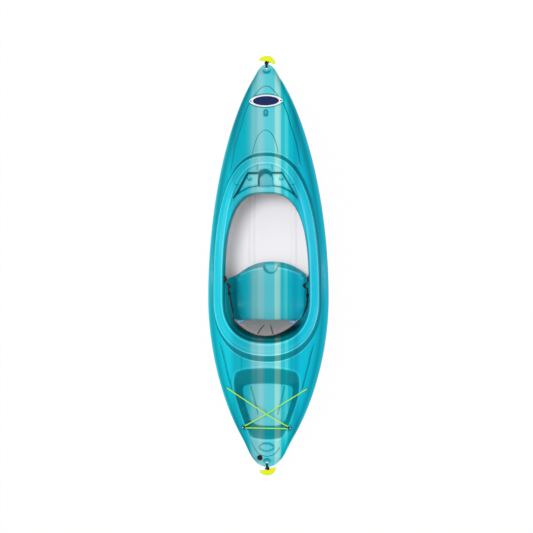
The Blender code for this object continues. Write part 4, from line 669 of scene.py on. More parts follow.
    def hull_body_outline(self) -> Array:
        """Plan outline of the hull below its flange, drawn in to a stem near each tip."""
        outline = self.seam_outline()
        stem = self.tip_y - self.stem_inset
        outline = outline[np.abs(outline[:, 1]) < stem - 1e-4]
        s = np.clip((np.abs(outline[:, 1]) - stem + self.stem_taper) / self.stem_taper, 0.0, 1.0)
        drawn = outline * np.column_stack([1.0 - s**3, np.ones(len(s))])
        return np.vstack([[0.0, -stem], drawn[drawn[:, 0] > 0], [0.0, stem], drawn[drawn[:, 0] < 0]])

    def deck_base(self, x: Array, y: Array) -> Array:
        """Deck without its mouldings: a crowned surface that drops to the flange at the seam.

        Args:
            x: Distances to starboard.
            y: Distances toward the bow.

        Returns:
            Height of each point.
        """
        u = np.clip(np.abs(x) / np.clip(self.half_beam(y), 1e-6, None), 0.0, 1.0)
        ends = (
            (-self.tip_y, self.section_tip),
            (self.widest_y, self.section_mid),
            (self.tip_y, self.section_tip),
        )
        stations = [(-self.tip_y + d, h) for d, h in self.crown_stern]
        stations += list(self.crown_mid)
        stations += [(self.tip_y - d, h) for d, h in self.crown_bow]
        return self.seam_z(y) + self.flange + along(y, stations) * np.sqrt(1.0 - u ** along(y, ends))

    def seat_line(self, x: Array, line: Triple) -> Array:
        """y of a line across the seat that sweeps aft toward the tub's sides."""
        y, sweep_back, half_width = line
        return y - sweep_back * (np.abs(x) / half_width) ** self.seat_sweep

    def seat_height(self, x: Array, y: Array) -> Array:
        """Seat floor with its rolled front edge and the half-round notch in it.

        Args:
            x: Distances to starboard.
            y: Distances toward the bow.

        Returns:
            Height of each point.
        """
        crest = self.seat_line(x, self.seat_crest_line)
        front = self.seat_line(x, self.seat_edge_line)
        roll = ease((y - crest) / np.clip(front - crest, 1e-3, None), 0.3)
        rise, start, run = self.seat_rise
        z = mix(self.seat_z + rise * ease((y - start) / run, 0.4), self.seat_edge_z, roll)
        at_y, outer, inner, low = self.notch
        dent = ease((outer - np.hypot(x, y - at_y)) / (outer - inner))
        return mix(z, np.minimum(z, low), dent)

    def cove_height(self, x: Array, y: Array) -> Array:
        """Hollow rounding where the tub's sides run into its floor.

        Args:
            x: Distances to starboard.
            y: Distances toward the bow.

        Returns:
            Height to add at each point.
        """
        reach, rise = self.cove
        into = inside(self.tub_floor, x, y)
        return rise * np.clip(1.0 - into / reach, 0.0, 1.0) ** 2 * stretch(y, *self.cove_run)

    def console_height(self, y: Array) -> Array:
        """Level of the coaming's top inside its inner ridge."""
        return along(y, self.coaming_z) - self.console_drop

    def boss_height(self, centre: Sequence[float]) -> float:
        """Level top of a round boss on the deck."""
        return float(self.deck_base(*centre)) + self.boss_rise

    def moulded_boss(self, z: Array, x: Array, y: Array, centre: Sequence[float], radius: float) -> Array:
        """The surface with a level boss at the centre."""
        raised = ease((radius - np.hypot(x - centre[0], y - centre[1])) / self.boss_slope)
        return mix(z, self.boss_height(centre), raised)

    def deck_height(self, x: Array, y: Array, relief: Optional[Callable] = None) -> Array:
        """Top surface of the deck sheet with all its mouldings.

        Args:
            x: Distances to starboard.
            y: Distances toward the bow.
            relief: Function of (x, y) for the shallow lines of the open deck.

        Returns:
            Height of each point.
        """
        x, y = np.atleast_1d(x).astype(float), np.atleast_1d(y).astype(float)
        base = self.deck_base(x, y) + (relief(x, y) if relief else 0.0)
        wall = self.formed_edge if relief else self.solid_edge
        z = mix(base, along(y, self.coaming_z), ease(between(self.foot, self.ridge, x, y), wall))
        z = z - self.band_dish * np.sin(math.pi * between(self.ridge, self.lip_ridge, x, y))
        z = z - self.console_drop * ease(inside(self.lip_ridge, x, y) / self.console_slope)
        recess = self.cup_depth * ease(between(*self.cups, x, y))
        for rim, floor in self.trays:
            recess = np.maximum(recess, self.tray_depth * ease(between(rim, floor, x, y)))
        z = z - recess
        if relief:
            near = np.clip(1.0 + inside(self.edge, x, y) / (1.6 * self.lip_roll), 0.0, 1.0)
            z = z - self.lip_roll * (1.0 - np.sqrt(1.0 - near**2))
        lip_foot = self.console_height(y) - self.lip_depth
        z = mix(z, lip_foot, ease(between(self.edge, self.lip_foot, x, y), 0.15))
        tub = ease(between(self.lip_foot, self.tub_floor, x, y), 0.42 if relief else 0.3)
        floor = self.seat_height(x, y) + (self.cove_height(x, y) if relief else 0.0)
        z = mix(z, floor, tub)
        z = mix(z, self.well_z, ease(between(self.rim, self.well, x, y), wall))
        for tip, radius in zip(Tip, self.dish_radius):
            into = radius - np.hypot(x, y - tip.value * (self.tip_y - self.dish_inset))
            slope, rounding = self.dish_bowl if relief else (self.dish_slope, 0.25)
            z = mix(z, self.seam_z(y) + self.flange, ease(into / slope, rounding))
        for side in Side:
            z = self.moulded_boss(z, x, y, side.of(self.pad_eye), self.boss_radius)
        return self.moulded_boss(z, x, y, self.drain, self.drain_boss)

    def deck_at(self, x: float, y: float) -> float:
        """Height of the deck's top surface at one point."""
        return float(self.deck_height(x, y)[0])

    def hull_height(self, x: Array, y: Array) -> Array:
        """Under surface of the hull sheet.

        Args:
            x: Distances to starboard.
            y: Distances toward the bow.

        Returns:
            Height of each point.
        """
        x, y = np.atleast_1d(x).astype(float), np.atleast_1d(y).astype(float)
        past = np.clip((np.abs(y) - self.flat_keel_half) / (self.tip_y - self.flat_keel_half), 0.0, 1.0)
        t = np.clip(inside(self.body, x, y) / self.bilge_width, 0.0, 1.0)
        belly = 1.0 - (1.0 - t) ** self.bilge_power
        z = mix(self.seam_z(y) - self.flange, self.rocker * past**2, belly)
        start, width, depth, slope, run_half = self.channel
        groove = ease((width / 2 - np.abs(np.abs(x) - start - width / 2)) / slope)
        run = ease((run_half - np.abs(y)) / (6 * width))
        return z + depth * groove * run * belly

    def eye_frame(self, side: Side) -> tuple[Array, Array]:
        """Boss centre of a pad eye, and the unit vector from it toward the tank well."""
        toward = np.array(self.pad_eye_towards) / np.hypot(*self.pad_eye_towards)
        return side.of(self.pad_eye), side.of(toward)

    def eye_spot(self, side: Side, reach: float) -> Array:
        """Plan place at a distance along a pad eye from its boss's centre."""
        centre, toward = self.eye_frame(side)
        return centre + toward * reach

    def cord_holes(self) -> list[Array]:
        """Loops of the holes through the tips."""
        return [ring(0.0, tip.value * (self.tip_y - self.cord_hole_inset), self.cord_hole, 28) for tip in Tip]


# Objects and meshes


def deselect() -> None:
    """Leaves nothing selected."""
    for obj in bpy.context.selected_objects:
        obj.select_set(False)


def activate(obj: Piece) -> Piece:
    """Selects one object and makes it the active one.

    Args:
        obj: Mesh object.

    Returns:
        The same object.
    """
    deselect()
    obj.select_set(True)
    bpy.context.view_layer.objects.active = obj
    return obj


def new_object(name: str, data: bpy.types.ID) -> Piece:
    """Object in the scene, selected and active.

    Args:
        name: Name of the object.
        data: Its mesh, light or camera.

    Returns:
        The object.
    """
    obj = bpy.data.objects.new(name, data)
    bpy.context.scene.collection.objects.link(obj)
    return activate(obj)


def from_points(name: str, verts: Iterable, faces: Iterable, edges: Iterable = ()) -> Piece:
    """Mesh object from points, faces and loose edges.

    Args:
        name: Name of the object.
        verts: Points.
        faces: Point numbers of each face.
        edges: Point numbers of each loose edge.

    Returns:
        The object.
    """
    data = bpy.data.meshes.new(name)
    data.from_pydata([tuple(map(float, v)) for v in verts], list(edges), [tuple(map(int, f)) for f in faces])
    return new_object(name, data)


@contextmanager
def editing(obj: Piece) -> Iterator[None]:
    """Edit mode with the object's whole mesh selected.

    Args:
        obj: Mesh object.
    """
    activate(obj)
    bpy.ops.object.mode_set(mode="EDIT")
    bpy.ops.mesh.select_all(action="SELECT")
    yield
    bpy.ops.object.mode_set(mode="OBJECT")


def bake(obj: Piece) -> Piece:
    """Applies the object's modifiers in order.

    Args:
        obj: Mesh object.

    Returns:
        The same object.
    """
    activate(obj)
    for modifier in list(obj.modifiers):
        bpy.ops.object.modifier_apply(modifier=modifier.name)
    return obj


def modify(obj: Piece, kind: str, **settings: object) -> Piece:
    """Gives an object one modifier with its settings and applies it.

    Args:
        obj: Mesh object.
        kind: Type of the modifier.
        settings: Its properties.

    Returns:
        The same object.
    """
    modifier = obj.modifiers.new(kind.lower(), kind)
    for name, value in settings.items():
        setattr(modifier, name, value)
    return bake(obj)


def settle(obj: Piece, place: Optional[Matrix] = None) -> Piece:
    """Puts the object's place into its mesh, so that the object sits at the origin.

    Args:
        obj: Mesh object.
        place: Placement that comes after the object's own.

    Returns:
        The same object.
    """
    bpy.context.view_layer.update()
    obj.data.transform((place or Matrix.Identity(4)) @ obj.matrix_world)
    obj.matrix_world = Matrix.Identity(4)
    return obj


def outward(obj: Piece) -> Piece:
    """Merges doubles and turns every face outward.

    Args:
        obj: Mesh object.

    Returns:
        The same object.
    """
    with editing(obj):
        bpy.ops.mesh.remove_doubles(threshold=1e-6)
        bpy.ops.mesh.normals_make_consistent(inside=False)
    return obj


def smooth(obj: Piece, degrees: float = 35.0) -> Piece:
    """Smooth shading with edges sharper than the angle kept.

    Args:
        obj: Mesh object.
        degrees: Edges sharper than this stay sharp.

    Returns:
        The same object.
    """
    activate(obj)
    bpy.ops.object.shade_smooth_by_angle(angle=math.radians(degrees))
    return obj


def bevel(obj: Piece, width: float, segments: int = 3, degrees: float = 30.0) -> Piece:
    """Rounds the object's edges that are sharper than the angle.

    Args:
        obj: Mesh object.
        width: Width of the rounding.
        segments: Faces across it.
        degrees: Least angle that is rounded.

    Returns:
        The same object.
    """
    return modify(
        obj, "BEVEL", width=width, segments=segments, limit_method="ANGLE",
        angle_limit=math.radians(degrees), use_clamp_overlap=True,
    )


def cut(obj: Piece, tool: Piece, operation: str = "DIFFERENCE") -> Piece:
    """Boolean of a piece with a helper, which is removed afterwards.

    Args:
        obj: The piece that is kept.
        tool: The helper.
        operation: Boolean operation.

    Returns:
        The piece.
    """
    modify(obj, "BOOLEAN", operation=operation, solver="EXACT", object=tool)
    bpy.data.objects.remove(tool)
    return obj


def shift(x: float, y: float, z: float) -> Matrix:
    """Placement moved by the distances."""
    return Matrix.Translation((x, y, z))


def block(name: str, size: Sequence[float], place: Matrix, rounding: float = 0.0) -> Piece:
    """Box with rounded edges.

    Args:
        name: Name of the object.
        size: Size along the placement's three axes.
        place: Placement of its centre.
        rounding: Radius of the edges, or 0 for sharp ones.

    Returns:
        The box, with its place in its mesh.
    """
    deselect()
    bpy.ops.mesh.primitive_cube_add(size=1.0)
    obj = bpy.context.object
    obj.name = name
    with editing(obj):
        bpy.ops.transform.resize(value=tuple(size))
    if rounding:
        bevel(obj, rounding)
    return settle(obj, place)


def rod(name: str, radius: float, length: float, place: Matrix, sides: int = 32) -> Piece:
    """Cylinder along the placement's Z, about its middle.

    Args:
        name: Name of the object.
        radius: Radius.
        length: Length.
        place: Placement of its middle.
        sides: Faces round it.

    Returns:
        The cylinder, with its place in its mesh.
    """
    deselect()
    bpy.ops.mesh.primitive_cylinder_add(vertices=sides, radius=radius, depth=length)
    obj = bpy.context.object
    obj.name = name
    return settle(obj, place)


def spun(name: str, profile: Sequence[Pair], place: Matrix, steps: int = 40) -> Piece:
    """Turned piece.

    Args:
        name: Name of the object.
        profile: Its half section as (radius, height) points.
        place: Placement whose Z is the axis.
        steps: Faces round the axis.

    Returns:
        The piece, with its place in its mesh.
    """
    edges = [(k, k + 1) for k in range(len(profile) - 1)]
    obj = from_points(name, [(radius, 0.0, z) for radius, z in profile], [], edges)
    with editing(obj):
        bpy.ops.mesh.spin(steps=steps, angle=2 * math.pi, center=(0, 0, 0), axis=(0, 0, 1))
    return settle(outward(obj), place)


def facing(position: Sequence[float], direction: Sequence[float] = (0, 0, 1)) -> Matrix:
    """Placement at the position with +Z turned to the direction."""
    return Matrix.Translation(position) @ Vector(direction).to_track_quat("Z", "Y").to_matrix().to_4x4()


def frame_of(across: Vector, up: Vector, out: Vector, position: Vector) -> Matrix:
    """Placement from three axes and a position."""
    return Matrix.Translation(position) @ Matrix((across, up, out)).transposed().to_4x4()


def grid_faces(columns: int, rows: int) -> Iterator[tuple[int, int, int, int]]:
    """Faces between the points of a grid, row by row.

    Args:
        columns: Points in a row.
        rows: Rows of points.

    Returns:
        Point numbers of each face.
    """
    for r in range(rows - 1):
        for c in range(columns - 1):
            a = r * columns + c
            yield a, a + 1, a + columns + 1, a + columns


def join(pieces: Sequence[Piece], name: str) -> Piece:
    """Joins mesh objects into the first one, which takes the name.

    Args:
        pieces: Objects to join.
        name: Name of the result.

    Returns:
        The first object.
    """
    deselect()
    for piece in pieces:
        piece.select_set(True)
    bpy.context.view_layer.objects.active = pieces[0]
    bpy.ops.object.join()
    pieces[0].name = name
    return pieces[0]


def sweep(
    name: str,
    path: Sequence[Vector],
    profile: Sequence[Pair],
    ups: Optional[Sequence[Vector]] = None,
    closed: bool = False,
    shares: Optional[Sequence[float]] = None,
) -> Piece:
    """Closed section carried along a path, with a UV map in metres along and round it.

    Args:
        name: Name of the new object.
        path: Points of the path.
        profile: Section as (across, up) offsets, counter-clockwise.
        ups: Up direction at each point, or None for one carried along without twist.
        closed: Whether the path closes on itself.
        shares: Share of the section's upward size at each point, or None for the same size throughout.

    Returns:
        The swept object, capped unless closed.
    """
    points = [Vector(p) for p in path]
    count, sides = len(points), len(profile)
    ahead = []
    for k in range(count):
        before = points[k - 1] if closed or k else points[0]
        after = points[(k + 1) % count] if closed or k < count - 1 else points[-1]
        ahead.append((after - before).normalized())
    if ups is None:
        up = ahead[0].orthogonal().normalized()
        ups = []
        for direction in ahead:
            up = (up - direction * up.dot(direction)).normalized()
            ups.append(up.copy())
    verts, lengths, turns = [], [0.0], [0.0]
    for k, point in enumerate(points):
        up = (Vector(ups[k]) - ahead[k] * Vector(ups[k]).dot(ahead[k])).normalized()
        across = ahead[k].cross(up).normalized()
        share = shares[k] if shares else 1.0
        verts += [point + across * a + up * b * share for a, b in profile]
        if k:
            lengths.append(lengths[-1] + (point - points[k - 1]).length)
    for k in range(sides):
        a, b = profile[k], profile[(k + 1) % sides]
        turns.append(turns[-1] + math.hypot(b[0] - a[0], b[1] - a[1]))
    lengths.append(lengths[-1] + (points[0] - points[-1]).length)
    faces, places = [], []
    for k in range(count if closed else count - 1):
        following = (k + 1) % count
        for c in range(sides):
            nearby = (c + 1) % sides
            here, there = k * sides, following * sides
            faces.append((here + c, here + nearby, there + nearby, there + c))
            places += [(lengths[k], turns[c]), (lengths[k], turns[c + 1])]
            places += [(lengths[k + 1], turns[c + 1]), (lengths[k + 1], turns[c])]
    if not closed:
        faces += [tuple(reversed(range(sides))), tuple(range((count - 1) * sides, count * sides))]
        places += [(0.0, 0.0)] * sides + [(lengths[count - 1], 0.0)] * sides
    obj = from_points(name, verts, faces)
    layer = obj.data.uv_layers.new(name="along")
    for place, uv in zip(layer.data, places):
        place.uv = uv
    with editing(obj):
        bpy.ops.mesh.normals_make_consistent(inside=False)
    return obj


def round_section(radius: float, sides: int = 16) -> list[Pair]:
    """Round section for a swept cord."""
    turn = [k * 2 * math.pi / sides for k in range(sides)]
    return [(radius * math.cos(a), radius * math.sin(a)) for a in turn]


def band_section(thickness: float, width: float, steps: int = 10) -> list[Pair]:
    """Section of flat webbing: thin across, wide upward, with rounded edges.

    Args:
        thickness: Size across.
        width: Size upward.
        steps: Points on each flat side.

    Returns:
        The section, counter-clockwise.
    """
    half, edge = thickness / 2, width / 2 - thickness / 2
    side = [(half, h) for h in np.linspace(-edge, edge, steps)]
    top = [(half * math.cos(a), edge + half * math.sin(a)) for a in np.linspace(0, math.pi, 5)[1:-1]]
    return side + top + [(-a, -b) for a, b in side + top]


def node_points(node: str) -> Array:
    """Points of a CAD node without repeats.

    Args:
        node: Name of the node.

    Returns:
        One row for each point.
    """
    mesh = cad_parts[node].data
    points = np.empty(len(mesh.vertices) * 3)
    mesh.vertices.foreach_get("co", points)
    return np.unique(points.reshape(-1, 3).round(7), axis=0)


def node_axes(node: str) -> tuple[Vector, list[Vector]]:
    """Centre of a CAD node, and its principal axes from the longest spread to the shortest.

    Args:
        node: Name of the node.

    Returns:
        The centre and the three axes.
    """
    points = node_points(node)
    centre = (points.min(axis=0) + points.max(axis=0)) / 2
    _, vectors = np.linalg.eigh(np.cov((points - points.mean(axis=0)).T))
    return Vector(centre), [Vector(vectors[:, k]) for k in (2, 1, 0)]


def fastener_place(node: str, head_height: float) -> Matrix:
    """Placement of a turned fastener, read from its CAD node.

    Args:
        node: Name of the node.
        head_height: Height of its head.

    Returns:
        Placement of the head's seat, with +Z out of the head.
    """
    points = node_points(node)
    spread_by, vectors = np.linalg.eigh(np.cov((points - points.mean(axis=0)).T))
    axis = vectors[:, 0 if spread_by[1] - spread_by[0] > spread_by[2] - spread_by[1] else 2]
    reach = points @ axis
    middle = points.mean(axis=0)
    radius = np.linalg.norm(points - middle - np.outer((points - middle) @ axis, axis), axis=1)
    if reach[np.argmax(radius)] < (reach.min() + reach.max()) / 2:
        axis, reach = -axis, -reach
    top = middle + axis * (reach.max() - middle @ axis)
    return facing(top - axis * head_height, axis)


# Finishes


def linear(red: int, green: int, blue: int) -> Colour:
    """Scene colour of an 8-bit display colour."""
    shares = [value / 255 for value in (red, green, blue)]
    return tuple(s / 12.92 if s <= 0.04045 else ((s + 0.055) / 1.055) ** 2.4 for s in shares)


class Graph:
    """Node tree under construction."""

    def __init__(self, tree: Tree) -> None:
        """Keeps the tree."""
        self.tree = tree

    def add(self, kind: str, inputs: Optional[dict] = None, **settings: object) -> bpy.types.Node:
        """Adds one node.

        Args:
            kind: Node type without its ShaderNode prefix.
            inputs: Value or linked socket for each input, by name or place.
            settings: Properties of the node.

        Returns:
            The new node.
        """
        node = self.tree.nodes.new(kind if kind.startswith("Node") else "ShaderNode" + kind)
        for name, value in settings.items():
            setattr(node, name, value)
        for name, value in (inputs or {}).items():
            self.put(value, node.inputs[name])
        return node

    def put(self, value: object, target: Socket) -> None:
        """Links a socket to the target, or gives the target a plain value.

        Args:
            value: Socket or plain value.
            target: Input that takes it.
        """
        if isinstance(value, Socket):
            self.tree.links.new(value, target)
        else:
            target.default_value = value

    def sum(self, operation: str, *values: object) -> Socket:
        """Result of a Math node."""
        return self.add("Math", dict(enumerate(values)), operation=operation).outputs[0]

    def times(self, *values: object) -> Socket:
        """Product of two values."""
        return self.sum("MULTIPLY", *values)

    def scaled(self, value: object, factor: object, start: object) -> Socket:
        """A value times a factor, counted from a start."""
        return self.sum("MULTIPLY_ADD", value, factor, start)

    def noise(self, coords: Socket, scale: object, detail: float, **inputs: object) -> Socket:
        """Factor of a noise texture."""
        node = self.add("TexNoise", {"Vector": coords, "Scale": scale, "Detail": detail, **inputs})
        return node.outputs["Fac"]

    def attribute(self, name: str) -> Socket:
        """Value of a mesh attribute."""
        return self.add("Attribute", attribute_name=name).outputs["Fac"]

    def tinted(self, colour: object, value: object, saturation: object = 1.0) -> Socket:
        """Colour made lighter or darker, and more or less rich."""
        node = self.add("HueSaturation", {"Color": colour, "Value": value, "Saturation": saturation})
        return node.outputs[0]


def shader_group(
    name: str, inputs: dict[str, tuple[str, object]], outputs: dict[str, str]
) -> tuple[Graph, dict[str, Socket], dict[str, Socket]]:
    """Empty shader group.

    Args:
        name: Name of the group.
        inputs: Socket type and default of each input.
        outputs: Socket type of each output.

    Returns:
        Its graph, its input sockets by name, and its output sockets by name.
    """
    tree = bpy.data.node_groups.new(name, "ShaderNodeTree")
    for label, (kind, value) in inputs.items():
        socket = tree.interface.new_socket(label, in_out="INPUT", socket_type="NodeSocket" + kind)
        if value is not None:
            socket.default_value = value
    for label, kind in outputs.items():
        tree.interface.new_socket(label, in_out="OUTPUT", socket_type="NodeSocket" + kind)
    graph = Graph(tree)
    start, end = graph.add("NodeGroupInput"), graph.add("NodeGroupOutput")
    return graph, {s.name: s for s in start.outputs if s.name}, {s.name: s for s in end.inputs if s.name}


class Effects:
    """Shader groups that several finishes share."""

    def __init__(self) -> None:
        """Builds each group once."""
        self.moulding = self.build_moulding()
        self.weave = self.build_weave()

    def build_moulding(self) -> Tree:
        """Moulded plastic skin: faint clouding, handling marks and the orange peel of a formed sheet."""
        inputs = {
            "Vector": ("Vector", None), "Colour": ("Color", (1, 1, 1, 1)), "Roughness": ("Float", 0.3),
            "Clouding": ("Float", 0.05), "Peel": ("Float", 500.0),
        }
        outputs = {"Colour": "Color", "Roughness": "Float", "Height": "Float"}
        graph, given, made = shader_group("moulded_skin", inputs, outputs)
        coords = given["Vector"]
        marks = graph.noise(coords, 45.0, 6.0, Roughness=0.7)
        scuffs = graph.add("MapRange", {"Value": marks, "From Min": 0.58, "From Max": 0.75})
        cloud = graph.sum("SUBTRACT", graph.noise(coords, 7.0, 3.0), 0.5)
        graph.put(graph.tinted(given["Colour"], graph.scaled(cloud, given["Clouding"], 1.0)), made["Colour"])
        graph.put(graph.scaled(scuffs.outputs[0], 0.08, given["Roughness"]), made["Roughness"])
        graph.put(graph.noise(coords, given["Peel"], 2.0), made["Height"])
        return graph.tree

    def build_weave(self) -> Tree:
        """Woven cloth: crossing threads that give a tone and a height."""
        inputs = {"Vector": ("Vector", None), "Pitch": ("Float", 0.001), "Colour": ("Color", (1, 1, 1, 1))}
        graph, given, made = shader_group("weave", inputs, {"Colour": "Color", "Height": "Float"})
        coords = given["Vector"]
        axes = graph.add("SeparateXYZ", {"Vector": coords})
        turn = graph.sum("DIVIDE", math.pi, given["Pitch"])
        waves = [graph.sum("SINE", graph.times(axes.outputs[k], turn)) for k in (0, 1)]
        over = graph.sum("ABSOLUTE", graph.times(*waves))
        tone = graph.scaled(over, 0.30, graph.scaled(graph.noise(coords, 30.0, 4.0), 0.24, 0.70))
        graph.put(graph.tinted(given["Colour"], tone), made["Colour"])
        graph.put(graph.scaled(graph.noise(coords, 900.0, 3.0), 0.5, over), made["Height"])
        return graph.tree


@dataclass(frozen=True)
class Finish:
    """Surface finish that becomes one material."""

    name: str
    colour: Colour
    roughness: float = 0.35

    def start(self) -> tuple[Material, Graph, bpy.types.Node, Socket]:
        """Material, its graph, its shader, and object coordinates."""
        material = bpy.data.materials.new(self.name)
        material.use_nodes = True
        graph = Graph(material.node_tree)
        shader = material.node_tree.nodes["Principled BSDF"]
        shader.inputs["Base Color"].default_value = (*self.colour, 1.0)
        shader.inputs["Roughness"].default_value = self.roughness
        return material, graph, shader, graph.add("TexCoord").outputs["Object"]

    @staticmethod
    def bump(graph: Graph, shader: bpy.types.Node, height: Socket, distance: float, strength: float) -> None:
        """Links a height to the shader's normal."""
        node = graph.add("Bump", {"Height": height, "Distance": distance, "Strength": strength})
        graph.put(node.outputs[0], shader.inputs["Normal"])


@dataclass(frozen=True)
class MouldedPlastic(Finish):
    """Formed or injected plastic with a clear, slightly uneven gloss."""

    clouding: float = 0.05
    peel: float = 500.0
    peel_depth: float = 0.00008
    specular: float = 0.5

    def colour_socket(self, graph: Graph, coords: Socket) -> Optional[Socket]:
        """Socket of a patterned colour, or None where the colour is plain."""
        return None

    def build(self, effects: Effects) -> Material:
        """Builds the material.

        Args:
            effects: Shared shader groups.

        Returns:
            The material.
        """
        material, graph, shader, coords = self.start()
        shader.inputs["Specular IOR Level"].default_value = self.specular
        inputs = {"Vector": coords, "Roughness": self.roughness, "Clouding": self.clouding, "Peel": self.peel}
        inputs["Colour"] = self.colour_socket(graph, coords) or (*self.colour, 1.0)
        skin = graph.add("Group", inputs, node_tree=effects.moulding)
        graph.put(skin.outputs["Colour"], shader.inputs["Base Color"])
        graph.put(skin.outputs["Roughness"], shader.inputs["Roughness"])
        self.bump(graph, shader, skin.outputs["Height"], self.peel_depth, 0.35)
        return material


@dataclass(frozen=True)
class StripedSheet(MouldedPlastic):
    """Deck sheet whose soft-edged stripes run the length of the boat, leaning a little to starboard, and
    whose colour carries painted shade and painted highlights.
    """

    lean: float = math.radians(8.5)
    level_z: float = 0.30
    span: Pair = (-0.250, 0.300)
    # How much painted shade darkens and enriches the colour on the walls, painted highlight lightens and
    # washes it out along the turned-over edges, and painted shade darkens it along the groove lines
    deepening: float = 0.47
    enriching: float = 0.2
    crest_highlight_strength: float = 0.75
    crest_highlight_wash: float = 0.22
    groove_shade_strength: float = 0.45
    # Stretch of each full stripe across the boat, which blends into the next one
    stripes: tuple = (
        (-0.222, -0.222, linear(20, 188, 206)), (-0.190, -0.122, linear(9, 164, 182)),
        (-0.097, -0.097, linear(55, 169, 182)), (-0.080, -0.059, linear(102, 180, 187)),
        (-0.041, -0.024, linear(125, 191, 198)), (0.000, 0.051, linear(84, 190, 202)),
        (0.057, 0.074, linear(144, 208, 204)), (0.088, 0.088, linear(120, 201, 205)),
        (0.094, 0.110, linear(35, 180, 194)), (0.118, 0.130, linear(64, 194, 203)),
        (0.139, 0.158, linear(8, 173, 191)), (0.172, 0.186, linear(0, 158, 182)),
        (0.212, 0.270, linear(5, 177, 201)),
    )

    def colour_socket(self, graph: Graph, coords: Socket) -> Socket:
        """Colour across the boat, with the faint streaks of the drawn sheet, painted shade on its walls and
        along its groove lines, and painted highlights along its turned-over edges.

        Args:
            graph: The material's graph.
            coords: Object coordinates.

        Returns:
            Socket of the colour.
        """
        shift = (self.level_z * math.sin(self.lean), 0.0, 0.0)
        turned = graph.add(
            "Mapping", {"Vector": coords, "Location": shift, "Rotation": (0.0, -self.lean, 0.0)}
        )
        across = graph.add("SeparateXYZ", {"Vector": turned.outputs[0]}).outputs["X"]
        low, high = self.span
        share = graph.add("MapRange", {"Value": across, "From Min": low, "From Max": high}).outputs[0]
        ramp = graph.add("ValToRGB", {"Fac": share})
        stops = ramp.color_ramp.elements
        for start, end, colour in self.stripes:
            for place in sorted({start, end}):
                stops.new((place - low) / (high - low)).color = (*colour, 1.0)
        stops.remove(stops[0])
        stops.remove(stops[-1])
        drawn = graph.add("Mapping", {"Vector": turned.outputs[0], "Scale": (150.0, 1.2, 1.0)})
        level = graph.scaled(graph.noise(drawn.outputs[0], 1.0, 3.0), 0.12, 0.94)
        # Painted light: shade on the walls and along the groove lines, highlights along the edges where the
        # sheet turns over
        wall_shade, crest, groove = (graph.attribute(name) for name in ("drawn", "crest", "groove"))
        for mark, gain in ((wall_shade, -self.deepening), (crest, self.crest_highlight_strength), (groove, -self.groove_shade_strength)):
            level = graph.times(level, graph.scaled(mark, gain, 1.0))
        shade_and_highlight_saturation = graph.scaled(wall_shade, self.enriching, graph.scaled(crest, -self.crest_highlight_wash, 1.0))
        return graph.tinted(ramp.outputs[0], level, shade_and_highlight_saturation)


@dataclass(frozen=True)
class Woven(Finish):
    """Webbing, cloth or braid."""

    pitch: float = 0.0012
    depth: float = 0.0003
    sheen: float = 0.25
    on_surface: bool = True
    turn: float = 0.0
    # Whether the seam attribute darkens the colour with painted shade in the seam furrows, and how much
    seam_shaded: bool = False
    seam_shade_strength: float = 0.85

    def build(self, effects: Effects) -> Material:
        """Builds the material.

        Args:
            effects: Shared shader groups.

        Returns:
            The material.
        """
        material, graph, shader, coords = self.start()
        source = graph.add("UVMap", uv_map="along").outputs[0] if self.on_surface else coords
        rotation = (0.0, 0.0, self.turn) if self.on_surface else (self.turn, 0.0, 0.0)
        turned = graph.add("Mapping", {"Vector": source, "Rotation": rotation}).outputs[0]
        inputs = {"Vector": turned, "Pitch": self.pitch, "Colour": (*self.colour, 1.0)}
        weave = graph.add("Group", inputs, node_tree=effects.weave)
        colour = weave.outputs["Colour"]
        if self.seam_shaded:
            # Painted shade in the seam furrows
            colour = graph.tinted(colour, graph.scaled(graph.attribute("seam"), -self.seam_shade_strength, 1.0))
        graph.put(colour, shader.inputs["Base Color"])
        shader.inputs["Sheen Weight"].default_value = self.sheen
        shader.inputs["Sheen Roughness"].default_value = 0.5
        self.bump(graph, shader, weave.outputs["Height"], self.depth, 0.7)
        return material


@dataclass(frozen=True)
class Metal(Finish):
    """Bare steel with fine turning marks."""

    def build(self, effects: Effects) -> Material:
        """Builds the material.

        Args:
            effects: Shared shader groups, not used.

        Returns:
            The material.
        """
        material, graph, shader, coords = self.start()
        shader.inputs["Metallic"].default_value = 1.0
        marks = graph.noise(coords, 600.0, 4.0)
        graph.put(graph.scaled(marks, 0.2, self.roughness - 0.1), shader.inputs["Roughness"])
        self.bump(graph, shader, marks, 0.00004, 0.3)
        return material


@dataclass(frozen=True)
class Foam(Finish):
    """Closed-cell foam with a fine pebbled skin."""

    def build(self, effects: Effects) -> Material:
        """Builds the material.

        Args:
            effects: Shared shader groups, not used.

        Returns:
            The material.
        """
        material, graph, shader, coords = self.start()
        cells = graph.add("TexVoronoi", {"Vector": coords, "Scale": 420.0})
        tone = graph.scaled(graph.noise(coords, 14.0, 5.0), 0.25, 0.87)
        graph.put(graph.tinted((*self.colour, 1.0), tone), shader.inputs["Base Color"])
        self.bump(graph, shader, cells.outputs["Distance"], 0.0006, 0.6)
        return material


